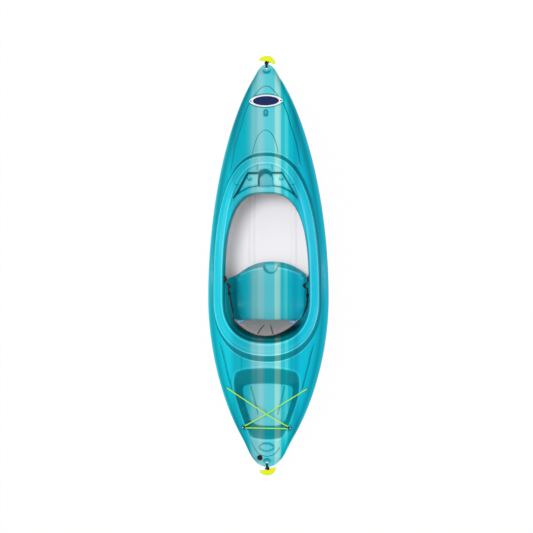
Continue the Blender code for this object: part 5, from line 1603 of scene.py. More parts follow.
class Palette:
    """Every finish of the boat as a built material."""

    def __init__(self) -> None:
        """Builds the shared effects and the materials."""
        effects = Effects()
        satin = {"specular": 0.15}
        fine = {"peel": 900.0, "peel_depth": 0.00002}
        grained = {"clouding": 0.10, "peel": 1500.0, "peel_depth": 0.00005, "specular": 0.2}
        dull = {"roughness": 0.9, "sheen": 0.02}
        black = linear(9, 9, 10)
        made = {
            "deck": StripedSheet("deck_striped_sheet", linear(8, 162, 180), 0.20, 0.04, specular=0.07),
            "deck_under": MouldedPlastic("deck_underside", linear(216, 214, 216), 0.5, **satin),
            "hull": MouldedPlastic("hull_teal_sheet", linear(0, 116, 140), 0.25, 0.04, specular=0.14),
            "hull_inside": MouldedPlastic("hull_white_inside", linear(247, 245, 248), 0.5, 0.03, **satin),
            "plate_rim": MouldedPlastic(
                "plate_pearl_rim", linear(226, 228, 222), 0.3, 0.04, specular=0.3, **fine
            ),
            "plate_field": MouldedPlastic(
                "plate_navy_field", linear(20, 32, 84), 0.25, 0.06, **satin, **fine
            ),
            "black_plastic": MouldedPlastic("black_moulding", black, 0.45, **grained),
            "rubber": MouldedPlastic("black_rubber", linear(24, 24, 25), 0.8, **grained),
            "lime": MouldedPlastic("lime_grip", linear(216, 228, 8), 0.42, specular=0.25, **fine),
            "webbing": Woven("black_webbing", black, pitch=0.0016, **dull),
            "binding": Woven("black_binding", black, pitch=0.0010, depth=0.0002, **dull),
            "bungee": Woven(
                "lime_braid", linear(170, 236, 36), 0.6, 0.0014, sheen=0.2, turn=math.radians(38)
            ),
            "cord": Woven("black_cord", linear(7, 7, 8), pitch=0.0016, turn=math.radians(40), **dull),
            "pad": Woven("grey_pad_cloth", linear(140, 138, 139), 0.9, 0.0011, 0.0002, 0.1, False,
                         math.radians(90), seam_shaded=True),
            "tab": Woven("blue_tab_webbing", linear(84, 184, 255), 0.7, 0.0014, 0.0002, 0.3),
            "steel": Metal("stainless_steel", linear(205, 206, 208), 0.32),
            "foam": Foam("grey_foam", linear(196, 196, 198), 0.85),
        }
        self.materials = {key: finish.build(effects) for key, finish in made.items()}

    def dress(self, obj: Piece, *keys: str) -> Piece:
        """Gives an object its materials, one slot each, and keeps which face has which slot.

        Args:
            obj: Mesh object.
            keys: Palette keys, one for each slot.

        Returns:
            The same object.
        """
        slots = np.empty(len(obj.data.polygons), np.int32)
        obj.data.polygons.foreach_get("material_index", slots)
        obj.data.materials.clear()
        for key in keys:
            obj.data.materials.append(self.materials[key])
        obj.data.polygons.foreach_set("material_index", slots)
        return obj


@dataclass
class SubAssembly:
    """Group of pieces that share the boat's form and palette."""

    form: KayakForm
    palette: Palette

    def finish(
        self, obj: Piece, name: str, body: Body, slot: str, keys: Sequence[str], nodes: Sequence[str] = ()
    ) -> Piece:
        """Dresses a piece and hangs it on its body.

        Args:
            obj: The finished mesh object.
            name: Name of the piece.
            body: CAD body that it rides on.
            slot: Name of its material slot, not used.
            keys: Palette keys of its materials.
            nodes: CAD nodes that it replaces.

        Returns:
            The same object.
        """
        obj.name = obj.data.name = name
        self.palette.dress(obj, *keys)
        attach(obj, body.value)
        if nodes:
            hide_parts(*nodes)
        LOG.info("%s: %d points on %s", name, len(obj.data.vertices), body.value)
        return obj

    def black_moulding(
        self, obj: Piece, name: str, node: str, body: Body = Body.BOAT, degrees: float = 35.0
    ) -> Piece:
        """Finishes a moulding of black plastic.

        Args:
            obj: The mesh object.
            name: Name of the piece.
            node: CAD node that it replaces.
            body: CAD body that it rides on.
            degrees: Edges sharper than this stay sharp.

        Returns:
            The same object.
        """
        return self.finish(smooth(obj, degrees), name, body, "black_plastic", ["black_plastic"], [node])


# The two sheets


@dataclass
class SheetMould:
    """Plan of a formed sheet: its outline, the lines that its mesh follows, and points between them."""

    form: KayakForm
    outline: Array
    lines: list[Array]
    openings: list[Array]
    fill: Array
    clear: float = 0.0035
    # Function of (x, y) that gives the painted highlight and the painted shade along the sheet's lines
    traces: Optional[Callable] = None
    # Slope at which the painted wall shade is full, and the share of it that shows in the seat
    full_shade_slope: float = 0.15
    seat_draw: float = 0.3
    # Shares of the half-breadth over which the painted shade on the shoulders fades, and the painted shade's
    # reach into the tub floor
    shoulder_shade_fade: Pair = (0.985, 0.08)
    tub_shade_reach: Pair = (0.040, 0.072)

    def triangles(self) -> tuple[Array, Array]:
        """Points and triangles of the plan, with the outline, openings and lines kept as edges."""
        verts, edges = [], []
        for closed, group in ((True, [self.outline, *self.openings]), (False, self.lines)):
            for line in group:
                first, count = len(verts), len(line)
                verts += [tuple(p) for p in line]
                edges += [(first + k, first + (k + 1) % count) for k in range(count if closed else count - 1)]
        tree = point_tree(verts)
        verts += [tuple(p) for p in self.fill if tree.find((*p, 0.0))[2] > self.clear]
        found, _, faces, *_ = delaunay_2d_cdt([Vector(v) for v in verts], edges, [], 0, 1e-6)
        plan = np.array([tuple(p) for p in found])
        faces = np.array([tuple(f) for f in faces])
        one, two = (plan[faces[:, k]] - plan[faces[:, 0]] for k in (1, 2))
        area = one[:, 0] * two[:, 1] - one[:, 1] * two[:, 0]
        faces = np.where((area > 0)[:, None], faces, faces[:, ::-1])
        centres = plan[faces].mean(axis=1)
        keep = (np.abs(centres[:, 0]) < self.form.half_beam(centres[:, 1])) & (np.abs(area) > 1e-11)
        for opening in self.openings:
            near = boxed(opening, *centres.T)
            keep[near] &= inside(opening, *centres[near].T) < 0
        return plan, faces[keep]

    def sheet(
        self, name: str, plan: Array, faces: Array, heights: Array, flange_z: float, wall: float
    ) -> Piece:
        """Sheet with an upright flange to the seam.

        Args:
            name: Name of the object.
            plan: Plan points.
            faces: Triangles of the plan, in the order that faces the sheet's outer side.
            heights: Height of each point.
            flange_z: Height of the flange's edge above the seam.
            wall: Thickness, whose inner side gets the second material.

        Returns:
            The sheet as a closed mesh.
        """
        verts = np.column_stack([plan, heights])
        directed = {(int(f[k]), int(f[(k + 1) % 3])) for f in faces for k in range(3)}
        at_seam = np.abs(np.abs(plan[:, 0]) - self.form.half_beam(plan[:, 1])) < 1e-5
        rim = [(a, b) for a, b in directed if (b, a) not in directed and at_seam[a] and at_seam[b]]
        lower = {a: len(verts) + k for k, a in enumerate(sorted({a for edge in rim for a in edge}))}
        below = np.array([(*plan[a], float(self.form.seam_z(plan[a, 1])) + flange_z) for a in lower])
        skirt = [(b, a, lower[a], lower[b]) for a, b in sorted(rim)]
        obj = from_points(name, np.vstack([verts, below]), [*faces, *skirt])
        bm = bmesh.new()
        bm.from_mesh(obj.data)
        bmesh.ops.delete(bm, geom=[v for v in bm.verts if not v.link_faces], context="VERTS")
        bm.to_mesh(obj.data)
        bm.free()
        obj.data.materials.append(None)
        obj.data.materials.append(None)
        modify(obj, "SOLIDIFY", thickness=wall, offset=-1.0, material_offset=1)
        self.mark_painted_light(obj)
        return smooth(obj, 50)

    def mark_painted_light(self, obj: Piece) -> None:
        """Stores painted shade where the sheet stands steeply, also spread from the tub's walls into its
        floor, and the painted highlights and shade of its traces.

        Args:
            obj: Mesh object.
        """
        normals, spots = np.empty(len(obj.data.vertices) * 3), np.empty(len(obj.data.vertices) * 3)
        obj.data.vertices.foreach_get("normal", normals)
        obj.data.vertices.foreach_get("co", spots)
        x, y, _ = spots.reshape(-1, 3).T
        # Painted shade on the walls, faded out near the seam, and in the tub spread from its walls into the
        # floor
        wall_shade = ease((1.0 - np.abs(normals.reshape(-1, 3)[:, 2])) / self.full_shade_slope, 0.3)
        (seam, fade), (reach, run) = self.shoulder_shade_fade, self.tub_shade_reach
        wall_shade *= ease((seam - np.abs(x) / self.form.half_beam(y)) / fade)
        tub = inside(self.form.lip_foot, x, y) > 0
        into = inside(self.form.tub_floor, x[tub], y[tub])
        wall_shade[tub] = np.maximum(ease((reach - into) / run), self.seat_draw * wall_shade[tub])
        marks = {"drawn": wall_shade}
        if self.traces:
            marks["crest"], marks["groove"] = self.traces(x, y)
        for name, values in marks.items():
            attribute = obj.data.attributes.new(name, "FLOAT", "POINT")
            attribute.data.foreach_set("value", values.astype(np.float32))


def lengthwise(
    form: KayakForm, shares: Sequence[float], half_length: float, step: float,
    clear_of: Optional[Array] = None,
) -> list[Array]:
    """Lines that run the length of the boat on both sides.

    Args:
        form: The boat's form.
        shares: Shares of the half-breadth at which they run.
        half_length: Half of their length.
        step: Distance between their points.
        clear_of: Loop from which they keep 4 mm, or None.

    Returns:
        The lines, each side's apart.
    """
    y = np.linspace(-half_length, half_length, 2 * round(half_length / step) + 1)
    lines = []
    for share in shares:
        line = np.column_stack([share * form.half_beam(y), y])
        keep = np.ones(len(line), bool) if clear_of is None else inside(clear_of, *line.T) < -0.004
        keep[0] = False
        for run in kept_runs(line, keep):
            lines += [run, run * (-1, 1)]
    return lines


def fill_grid(form: KayakForm, step: float) -> Array:
    """Staggered points within the seam's outline.

    Args:
        form: The boat's form.
        step: Distance between the points.

    Returns:
        The points.
    """
    end = form.tip_y - 0.006
    rows = np.arange(-end, end, step * 0.87)
    points = []
    for k, y in enumerate(rows):
        half = float(form.half_beam(y)) - 0.4 * step
        count = max(1, int(half / step))
        across = (np.arange(-count, count + 1) + 0.5 * (k % 2)) * half / (count + 0.5)
        points += [(x, y) for x in across if abs(x) < half]
    return np.array(points)


@dataclass
class Trace:
    """Rib along lines, or groove for a negative height."""

    lines: list[Array]
    half_width: float
    height: float

    def share(self, x: Array, y: Array, half_width: float = 0.0) -> Array:
        """How near the crest each point lies, from 0 to 1, for the trace's half width or another one.

        Args:
            x: Distances to starboard.
            y: Distances toward the bow.
            half_width: Half width, or 0 for the trace's own.

        Returns:
            Share at each point.
        """
        half_width = half_width or self.half_width
        raised = np.zeros(len(x))
        for line in self.lines:
            near = boxed(line, x, y, half_width)
            if near.any():
                off = -inside(line, x[near], y[near], closed=False)
                raised[near] = np.maximum(raised[near], ease(1.0 - off / half_width, 0.4))
        return raised

    def rise(self, x: Array, y: Array) -> Array:
        """Height that the trace adds at each point."""
        return self.height * self.share(x, y)


@dataclass
class DeckRelief:
    """Shallow styling lines of the deck, the painted shade along them, and the lines that its mesh follows
    there.
    """

    form: KayakForm
    plate: Array
    step_width: float = 0.0056
    bow_half: tuple = (
        (0.0, 1.085), (0.028, 1.075), (0.056, 1.047), (0.082, 1.014), (0.106, 0.976), (0.129, 0.922),
        (0.146, 0.86), (0.185, 0.735), (0.209, 0.61), (0.222, 0.53),
    )
    bow_step: float = 0.0040
    bow_fade: Pair = (0.53, 0.12)
    spine_half: tuple = (
        (0.0, 0.818), (0.026, 0.806), (0.048, 0.777), (0.065, 0.735), (0.077, 0.682), (0.082, 0.645),
    )
    spine_step: float = 0.0034
    spine_fade: Pair = (0.60, 0.04)
    arc_half: tuple = ((0.096, -1.06), (0.080, -1.097), (0.056, -1.132), (0.028, -1.149), (0.0, -1.154))
    arc_step: float = 0.0032
    arc_fade: Pair = (-1.05, 0.05)
    flank: tuple = ((0.302, -0.44), (0.277, -0.514), (0.250, -0.622), (0.218, -0.742), (0.196, -0.82))
    flank_run: tuple = (-0.82, 0.10, -0.44, 0.08)
    panel: Triple = (0.153, -0.545, -0.628)
    # Hooks beside the cup: centre, radius, and the turn of their two ends
    hook: tuple = (0.097, 0.531, 0.012, math.radians(195), math.radians(345))
    # Moulded oval at the stern: y and its two half widths
    oval_size: Triple = (-1.099, 0.045, 0.024)
    badge_pad_half: float = 0.0095
    badge_pad_y: Pair = (0.904, 0.938)
    # Painted shade on the coaming's outer wall: share of the way from foot to ridge, half width and strength,
    # then the station and run over which it fades in toward the bow
    wall_dark: tuple = (0.5, 0.008, 0.5)
    wall_fade: Pair = (0.30, 0.15)

    def __post_init__(self) -> None:
        """Works out the lines."""
        self.bow_arch, self.spine, self.stern_arc = (
            self.arch(half) for half in (self.bow_half, self.spine_half, self.arc_half)
        )
        flanks = [spread(smooth_open(side.of(self.flank)), 0.006) for side in Side]
        self.flanks = Trace(flanks, 0.0045, -0.0034)
        x, front, rear = self.panel
        panels = [side.of([(x, y) for y in np.linspace(front, rear, 15)]) for side in Side]
        self.panels = Trace(panels, 0.004, 0.0018)
        self.creases = Trace(on_both_sides([(0.104, -0.735), (0.060, -0.905)], 0.006), 0.005, -0.0026)
        self.ribs = Trace(on_both_sides([(0.046, 0.575), (0.043, 0.606)], 0.003), 0.003, 0.0022)
        x, y, radius, *ends = self.hook
        turn = np.linspace(*ends, 15)
        hook = np.column_stack([x + radius * np.cos(turn), y + radius * np.sin(turn)])
        self.hooks = Trace([side.of(hook) for side in Side], 0.003, 0.0030)
        self.ticks = Trace(on_both_sides([(0.164, 0.486), (0.179, 0.491)], 0.003), 0.0035, 0.0020)
        # The trays' walls get no relief from this trace, only painted shade and lines of the mesh
        wall = [(0.050, 0.557), (0.103, 0.557), (0.192, 0.404)]
        self.tray_walls = Trace(on_both_sides(wall, 0.003), 0.012, 0.0)
        y, x_half, y_half = self.oval_size
        turn = np.linspace(0, 2 * np.pi, 72, endpoint=False)
        oval = np.column_stack([x_half * np.cos(turn), y + y_half * np.sin(turn)])
        x, (low, high) = self.badge_pad_half, self.badge_pad_y
        pad = rounded(((x, low), (x, high), (-x, high), (-x, low)), 0.004)
        # Groove round each loop, darkened with painted shade: the loop, its half width and its depth, which
        # is 0 round the plate, where only a painted shadow outline stays
        self.rings = ((oval, 0.003, 0.0026), (pad, 0.0028, 0.0034), (self.plate, 0.003, 0.0))

    @staticmethod
    def arch(half: Sequence[Pair]) -> Array:
        """Open line round a pointed arch, from its port foot over the apex to its starboard foot.

        Args:
            half: Starboard half, with the apex at one end.

        Returns:
            The line in even steps.
        """
        half = np.array(half)
        line = np.vstack([half[::-1] * (-1, 1), half[1:]])
        if half[0, 0] != 0.0:
            line = np.vstack([half * (-1, 1), half[-2::-1]])
        return spread(smooth_open(line, 12), 0.006)

    def step(self, line: Array, x: Array, y: Array) -> Array:
        """Share of a small step up to the inside of a line that is closed across its feet.

        Args:
            line: Line round the raised part.
            x: Distances to starboard.
            y: Distances toward the bow.

        Returns:
            Share of the step at each point.
        """
        raised = np.zeros(len(x))
        near = boxed(line, x, y, 0.02)
        into = inside(line, x[near], y[near])
        edge = -inside(line, x[near], y[near], closed=False)
        raised[near] = self.eased(np.where(into > 0, edge, -edge))
        return raised

    def eased(self, into: Array) -> Array:
        """Share of a step at a distance past its middle."""
        return ease((into + self.step_width / 2) / self.step_width, 0.35)

    @staticmethod
    def faded(y: Array, fade: Pair) -> Array:
        """0 at a station and behind it, 1 ahead of its fade."""
        start, run = fade
        return ease((y - start) / run)

    def height(self, x: Array, y: Array) -> Array:
        """Relief of the open deck, ahead of and behind the coaming.

        Args:
            x: Distances to starboard.
            y: Distances toward the bow.

        Returns:
            Height to add at each point.
        """
        z = self.bow_step * self.step(self.bow_arch, x, y) * self.faded(y, self.bow_fade)
        z = mix(z, 0.0, self.eased(inside(self.plate, x, y)))
        z += self.spine_step * self.step(self.spine, x, y) * self.faded(y, self.spine_fade)
        start, run = self.arc_fade
        z += self.arc_step * self.step(self.stern_arc, x, y) * ease((start - y) / run)
        z += self.flanks.rise(x, y) * stretch(y, *self.flank_run)
        z += self.panels.rise(x, y)
        for loop, half, depth in self.rings:
            if depth:
                z -= depth * ease(1.0 - np.abs(inside(loop, x, y)) / half, 0.4)
        return z

    def painted_groove_shade(self, x: Array, y: Array) -> Array:
        """Share of painted shade at each point, along the styling lines and rings, on the front of the
        coaming's outer wall and on the trays' walls.

        Args:
            x: Distances to starboard.
            y: Distances toward the bow.

        Returns:
            Share at each point.
        """
        bow, spine, arc = (Trace([line], 0.003, 0.8) for line in (self.bow_arch, self.spine, self.stern_arc))
        share, half, dark = self.wall_dark
        wall = Trace([closed_line(midway(self.form.foot, self.form.ridge, share))], half, dark)
        marks = [
            bow.rise(x, y) * self.faded(y, self.bow_fade) * (inside(self.plate, x, y) < 0),
            spine.rise(x, y),
            arc.rise(x, y),
            0.7 * self.flanks.share(x, y, 0.004) * stretch(y, *self.flank_run),
            0.35 * self.creases.share(x, y, 0.004),
            wall.rise(x, y) * self.faded(y, self.wall_fade),
            0.9 * self.tray_walls.share(x, y, 0.013),
        ]
        marks += [ease(1.0 - np.abs(inside(loop, x, y)) / half, 0.4) * 0.9 for loop, half, _ in self.rings]
        return np.max(marks, axis=0)

    def inner_height(self, x: Array, y: Array) -> Array:
        """Relief inside the coaming and in the tank well.

        Args:
            x: Distances to starboard.
            y: Distances toward the bow.

        Returns:
            Height to add at each point.
        """
        z = self.ribs.rise(x, y) + self.hooks.rise(x, y)
        z += self.ticks.rise(x, y)
        return z + self.creases.rise(x, y)

    def lines(self) -> list[Array]:
        """Lines that the deck's mesh follows along the relief."""
        lines = []
        half = self.step_width / 2
        for line in (self.bow_arch, self.spine, self.stern_arc):
            lines += [parallel(line, off * half) for off in (-1.6, -1.0, -0.4, 0.4, 1.0, 1.6)]
        traces = (self.flanks, self.panels, self.creases, self.ribs, self.hooks, self.ticks, self.tray_walls)
        for trace in traces:
            for line in trace.lines:
                lines += [
                    parallel(line, off * trace.half_width) for off in (-1.0, -0.6, -0.25, 0.25, 0.6, 1.0)
                ]
        (oval, oval_half, _), (pad, pad_half, _), (plate, *_) = self.rings
        for loop, width in ((oval, oval_half), (evenly(pad, 0.003), pad_half), (plate, half)):
            lines += [closed_line(around(loop, off * width)) for off in (-1.0, -0.4, 0.4, 1.0)]
        return lines


@dataclass
class DeckShell(SubAssembly):
    """Upper sheet with the coaming, console, seat tub, tank well and fittings' bosses."""

    wall: float = 0.0045
    step: float = 0.007
    fill_step: float = 0.0115
    # Name plate: half widths and powers of its outline and of its sunk field
    plate_y: float = 0.9955
    plate_half: Pair = (0.102, 0.036)
    plate_power: float = 1.8
    plate_thickness: float = 0.0022
    field_half: Pair = (0.080, 0.0285)
    field_power: float = 2.0
    field_edge: float = 0.0012
    field_depth: float = 0.0006
    # Shares of the way down a wall at which the mesh has lines, for short walls and for the deck's own
    turn_shares: tuple = (0.0, 0.12, 0.25, 0.5, 0.75, 0.88, 1.0)
    wall_shares: tuple = (0.035, 0.07, 0.3, 0.5, 0.7, 0.93, 0.965)

    def lip_parts(self) -> tuple[Array, Array]:
        """Lower edge of the coaming's lip: the part round the leg opening and the part round the seat."""
        form = self.form
        lip = form.oval(form.opening_size, form.opening_power, form.lip_lean)
        ahead = np.flatnonzero(lip[:, 1] > form.seat_line(lip[:, 0], form.seat_edge_line))
        return (
            spread(lip[ahead[0]:ahead[-1] + 1], self.step),
            spread(np.vstack([lip[ahead[-1]:], lip[:ahead[0] + 1]]), self.step),
        )

    def openings(self) -> list[Array]:
        """Loops of the openings that go down through the deck."""
        form = self.form
        legs = self.lip_parts()[0]
        half = legs[0, 0]
        x = np.linspace(-half, half, 2 * round(half / 0.006) + 1)[1:-1]
        loops = [np.vstack([legs, np.column_stack([x, form.seat_line(x, form.seat_edge_line)])])]
        loops += [*form.cord_holes(), ring(*form.drain, form.drain_hole, 28)]
        for side in Side:
            loops.append(ring(*side.of(form.bungee_hole), form.bungee_hole_radius, 20))
            loops.append(ring(*form.eye_spot(side, form.eye_screw_at), SCREW_HOLE, 12))
            loops.append(ring(*side.of(form.bracket_screw), SCREW_HOLE, 12))
        return loops

    def plate_loop(self, half: Pair, power: float, grow: float) -> Array:
        """Oval about the plate's centre, grown by a distance."""
        turn = np.arange(360) * math.pi / 180
        return evenly(superoval(turn, half[0] + grow, half[1] + grow, power) + (0.0, self.plate_y), 0.004)

    def plate_outline(self, grow: float = 0.0) -> Array:
        """Outline of the name plate."""
        return self.plate_loop(self.plate_half, self.plate_power, grow)

    def field_outline(self, grow: float = 0.0) -> Array:
        """Ellipse of the plate's dark field."""
        return self.plate_loop(self.field_half, self.field_power, grow)

    def behind_seat_edge(self, loop: Array) -> Array:
        """Mask of the points that lie on the seat, and not over the leg opening."""
        return loop[:, 1] < self.form.seat_line(loop[:, 0], self.form.seat_edge_line) - 0.003

    def lines(self, relief: DeckRelief) -> list[Array]:
        """Edges of the deck's mouldings, as lines that its mesh follows.

        Args:
            relief: Styling lines of the deck.

        Returns:
            All the lines.
        """
        shares = (0.997, 0.991, 0.98, 0.965, 0.945, 0.92, 0.89, 0.85)
        form = self.form
        return [
            *relief.lines(), *self.coaming_lines(), *self.tub_lines(), *self.console_lines(),
            *self.well_lines(),
            *self.boss_lines(), closed_line(self.plate_outline()),
            *(closed_line(self.field_outline(grow)) for grow in (-self.field_edge, 0.0, self.field_edge)),
            *lengthwise(form, shares, form.tip_y - 0.04, 0.008, around(form.foot, 0.006)),
        ]

    def coaming_lines(self) -> list[Array]:
        """Lines round the coaming, down to its lip's foot."""
        form = self.form
        loops = [around(form.foot, 0.006), form.foot, form.ridge, form.lip_ridge]
        lines = [closed_line(loop) for loop in loops]
        lines += stepped(form.foot, form.ridge, self.wall_shares)
        lines += stepped(form.ridge, form.lip_ridge, (0.04, 0.08, 0.3, 0.7, 0.82, 0.92))
        for inset in (0.008, 0.018, 0.030, 0.044):
            loop = around(form.tub_floor, -inset)
            x, y = loop.T
            lines += kept_runs(loop, (np.abs(x) > 0.12) & (y < -0.08) & (y > -0.30))
        lines += [closed_line(around(form.lip_ridge, -d)) for d in (0.0025, 0.0075)]
        lines += [closed_line(around(form.edge, d)) for d in (0.0072, 0.005, 0.003, 0.0015, 0.0005, 0.0)]
        return lines + stepped(form.edge, form.lip_foot, (0.08, 0.15, 0.5, 0.85))

    def tub_lines(self) -> list[Array]:
        """Lines down the tub's walls, across the seat's front edge and round its notch."""
        form, lines = self.form, [self.lip_parts()[1]]
        for share in (0.04, 0.1, 0.2, 0.3, 0.5, 0.7, 0.8, 0.9, 1.0):
            loop = midway(form.lip_foot, form.tub_floor, share)
            lines += kept_runs(loop, self.behind_seat_edge(loop))
        x = np.linspace(-form.seat_crest_line[2], form.seat_crest_line[2], 65)
        crest, front = form.seat_line(x, form.seat_crest_line), form.seat_line(x, form.seat_edge_line)
        lines += [
            np.column_stack([x, mix(crest, front, share)]) for share in (-0.1, 0.0, 0.15, 0.3, 0.5, 0.7, 0.85)
        ]
        at_y, outer, inner, _ = form.notch
        for share in self.turn_shares:
            loop = ring(0.0, at_y, mix(outer, inner, share), 64)
            lines += kept_runs(loop, self.behind_seat_edge(loop))
        return lines

    def console_lines(self) -> list[Array]:
        """Lines down the walls of the trays and the cup."""
        walls = [[evenly(loop, 0.004) for loop in wall] for wall in (*self.form.trays, self.form.cups)]
        return [line for rim, floor in walls for line in stepped(rim, floor, self.turn_shares)]

    def well_lines(self) -> list[Array]:
        """Lines round the tank well, broken where the pad eyes' bosses stand."""
        form, lines = self.form, []
        bosses = [ring(*form.eye_frame(side)[0], form.boss_radius + form.boss_slope, 40) for side in Side]
        loops = [midway(form.rim, form.well, share) for share in (0.0, *self.wall_shares, 1.0)]
        for loop in loops + [around(form.rim, reach) for reach in (0.004, 0.010)]:
            lines += kept_runs(loop, np.max([inside(boss, *loop.T) for boss in bosses], axis=0) < 0)
        return lines

    def boss_lines(self) -> list[Array]:
        """Lines round the fittings' bosses and down the dishes, broken at the boat's edge."""
        form, rings = self.form, []
        bosses = [(side.of(form.pad_eye), form.boss_radius) for side in Side]
        bosses.append((form.drain, form.drain_boss))
        for centre, radius in bosses:
            for slopes in (-1.0, 0.0, 0.4, 1.0):
                rings.append((ring(*centre, radius - slopes * form.boss_slope, 40), 0.002))
        for tip, radius in zip(Tip, form.dish_radius):
            for share in (0.0, 0.25, 0.5, 0.75, 1.0):
                centre_y = tip.value * (form.tip_y - form.dish_inset)
                rings.append((ring(0.0, centre_y, radius - share * form.dish_bowl[0], 48), 0.003))
        lines = []
        for loop, margin in rings:
            lines += kept_runs(loop, np.abs(loop[:, 0]) < form.half_beam(loop[:, 1]) - margin)
        return lines

    def painted_highlights(self, x: Array, y: Array) -> Array:
        """Share of painted highlight at each point, along the edges where the sheet turns over, on the trays'
        floors and along the seat's crest line.

        Args:
            x: Distances to starboard.
            y: Distances toward the bow.

        Returns:
            Share at each point.
        """
        form = self.form
        share = np.zeros(len(x))
        # Each with the half width and the strength of its painted highlight line
        loops = (
            (form.ridge, 0.005, 0.75), (around(form.lip_ridge, 0.003), 0.006, 0.5),
            (form.foot, 0.003, 0.45), (around(form.rim, 0.004), 0.006, 0.2),
        )
        for loop, half, strength in loops:
            near = boxed(loop, x, y, half)
            far = np.abs(inside(loop, x[near], y[near]))
            share[near] = np.maximum(share[near], strength * np.clip(1.0 - far / half, 0.0, 1.0))
        for _, floor in form.trays:
            share = np.maximum(share, 0.3 * ease(inside(floor, x, y) / 0.006))
        at_y, outer, *_ = form.notch
        seat = (inside(form.tub_floor, x, y) > 0.008) & (np.hypot(x, y - at_y) > outer)
        off = np.abs(y - form.seat_line(x, form.seat_crest_line))
        return np.maximum(share, 0.6 * seat * np.clip(1.0 - off / 0.006, 0.0, 1.0))

    def height(self, relief: DeckRelief, x: Array, y: Array) -> Array:
        """Top of the deck with its relief."""
        return self.form.deck_height(x, y, relief.height) + relief.inner_height(x, y)

    def build(self) -> Piece:
        """Deck piece, and the name plate that follows the same surface."""
        form, relief = self.form, DeckRelief(self.form, self.plate_outline(0.006))
        mould = SheetMould(
            form, form.seam_outline(), self.lines(relief), self.openings(), fill_grid(form, self.fill_step),
            # The deck's colour takes its painted highlights and painted shade from these
            traces=lambda x, y: (self.painted_highlights(x, y), relief.painted_groove_shade(x, y)),
        )
        plan, faces = mould.triangles()
        heights = self.height(relief, *plan.T)
        self.build_plate(plan, faces, heights)
        deck = mould.sheet("deck_skin", plan, faces, heights, GAP / 2, self.wall)
        return self.finish(deck, "deck_skin", Body.BOAT, "deck_teal", ("deck", "deck_under"), ["deck_shell"])

    def build_plate(self, plan: Array, faces: Array, heights: Array) -> Piece:
        """Oval plate with a raised pearl rim round a bare navy field.

        Args:
            plan: Plan points of the deck.
            faces: Triangles of the deck.
            heights: Height of the deck at each point.

        Returns:
            The plate.
        """
        below = faces[inside(self.plate_outline(), *plan[faces].mean(axis=1).T) > 0]
        used, places = np.unique(below, return_inverse=True)
        spots, field = plan[used], self.field_outline()
        sunk = self.field_depth * ease((inside(field, *spots.T) + self.field_edge) / (2 * self.field_edge))
        raised = np.column_stack([spots, heights[used] + 1.1 * GAP + self.plate_thickness - sunk])
        plate = from_points("plate", raised, places.reshape(-1, 3))
        smooth(modify(plate, "SOLIDIFY", thickness=self.plate_thickness - 0.0008), 60)
        self.finish(
            plate, "name_plate_bare", Body.BOAT, "plate_white", ("plate_rim", "plate_field"), ["name_plate"]
        )
        for face in plate.data.polygons:
            far = float(inside(field, face.center.x, face.center.y)[0])
            face.material_index = int(far > 0.0 and face.normal.z > 0)
        return plate


@dataclass
class HullShell(SubAssembly):
    """Lower sheet, white inside."""

    wall: float = 0.0045
    fill_step: float = 0.014
    clear: float = 0.0045

    def build(self) -> Piece:
        """Hull piece."""
        form = self.form
        straight = form.tip_y - form.stem_inset - form.stem_taper
        near_tip = np.abs(form.body[:, 1]) > straight
        lines = kept_runs(form.body, near_tip)
        for inset in (0.002, 0.005, 0.010, 0.017):
            loop = around(form.body, -inset)
            deep = inside(form.body, *loop.T) > 0.9 * inset
            lines += kept_runs(loop, deep & near_tip)
        shares = (0.996, 0.988, 0.975, 0.958, 0.935, 0.91, 0.875, 0.835, 0.79)
        lines += lengthwise(form, shares, straight, 0.010)
        start, width, _, slope, run_half = form.channel
        end, y = start + width, np.linspace(-run_half, run_half, 180)
        for x in (start, start + slope / 2, start + slope, end - slope, end - slope / 2, end):
            lines += [np.column_stack([side.value * x + 0 * y, y]) for side in Side]
        fill = fill_grid(form, self.fill_step)
        mould = SheetMould(form, form.seam_outline(), lines, form.cord_holes(), fill, self.clear)
        plan, faces = mould.triangles()
        heights = form.hull_height(*plan.T)
        hull = mould.sheet("hull_skin", plan, faces[:, ::-1], heights, -GAP / 2, self.wall)
        return self.finish(hull, "hull_skin", Body.BOAT, "hull_teal", ("hull", "hull_inside"), ["hull_shell"])


@dataclass
class Flotation(SubAssembly):
    """Foam blocks between the sheets."""

    rounding: float = 0.004

    def build(self) -> None:
        """The three blocks, each cut from the space its solid holds."""
        for node in ("bow_flotation_block", "stern_flotation_block", "seat_support_block"):
            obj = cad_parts[node].copy()
            obj.data = obj.data.copy()
            for key in list(obj.keys()):
                del obj[key]
            bpy.context.scene.collection.objects.link(obj)
            obj.parent = None
            outward(obj)
            smooth(bevel(obj, self.rounding, 3, 40.0), 40)
            self.finish(obj, node.replace("_block", "_foam"), Body.BOAT, "foam_grey", ["foam"], [node])


# Backrest and its straps


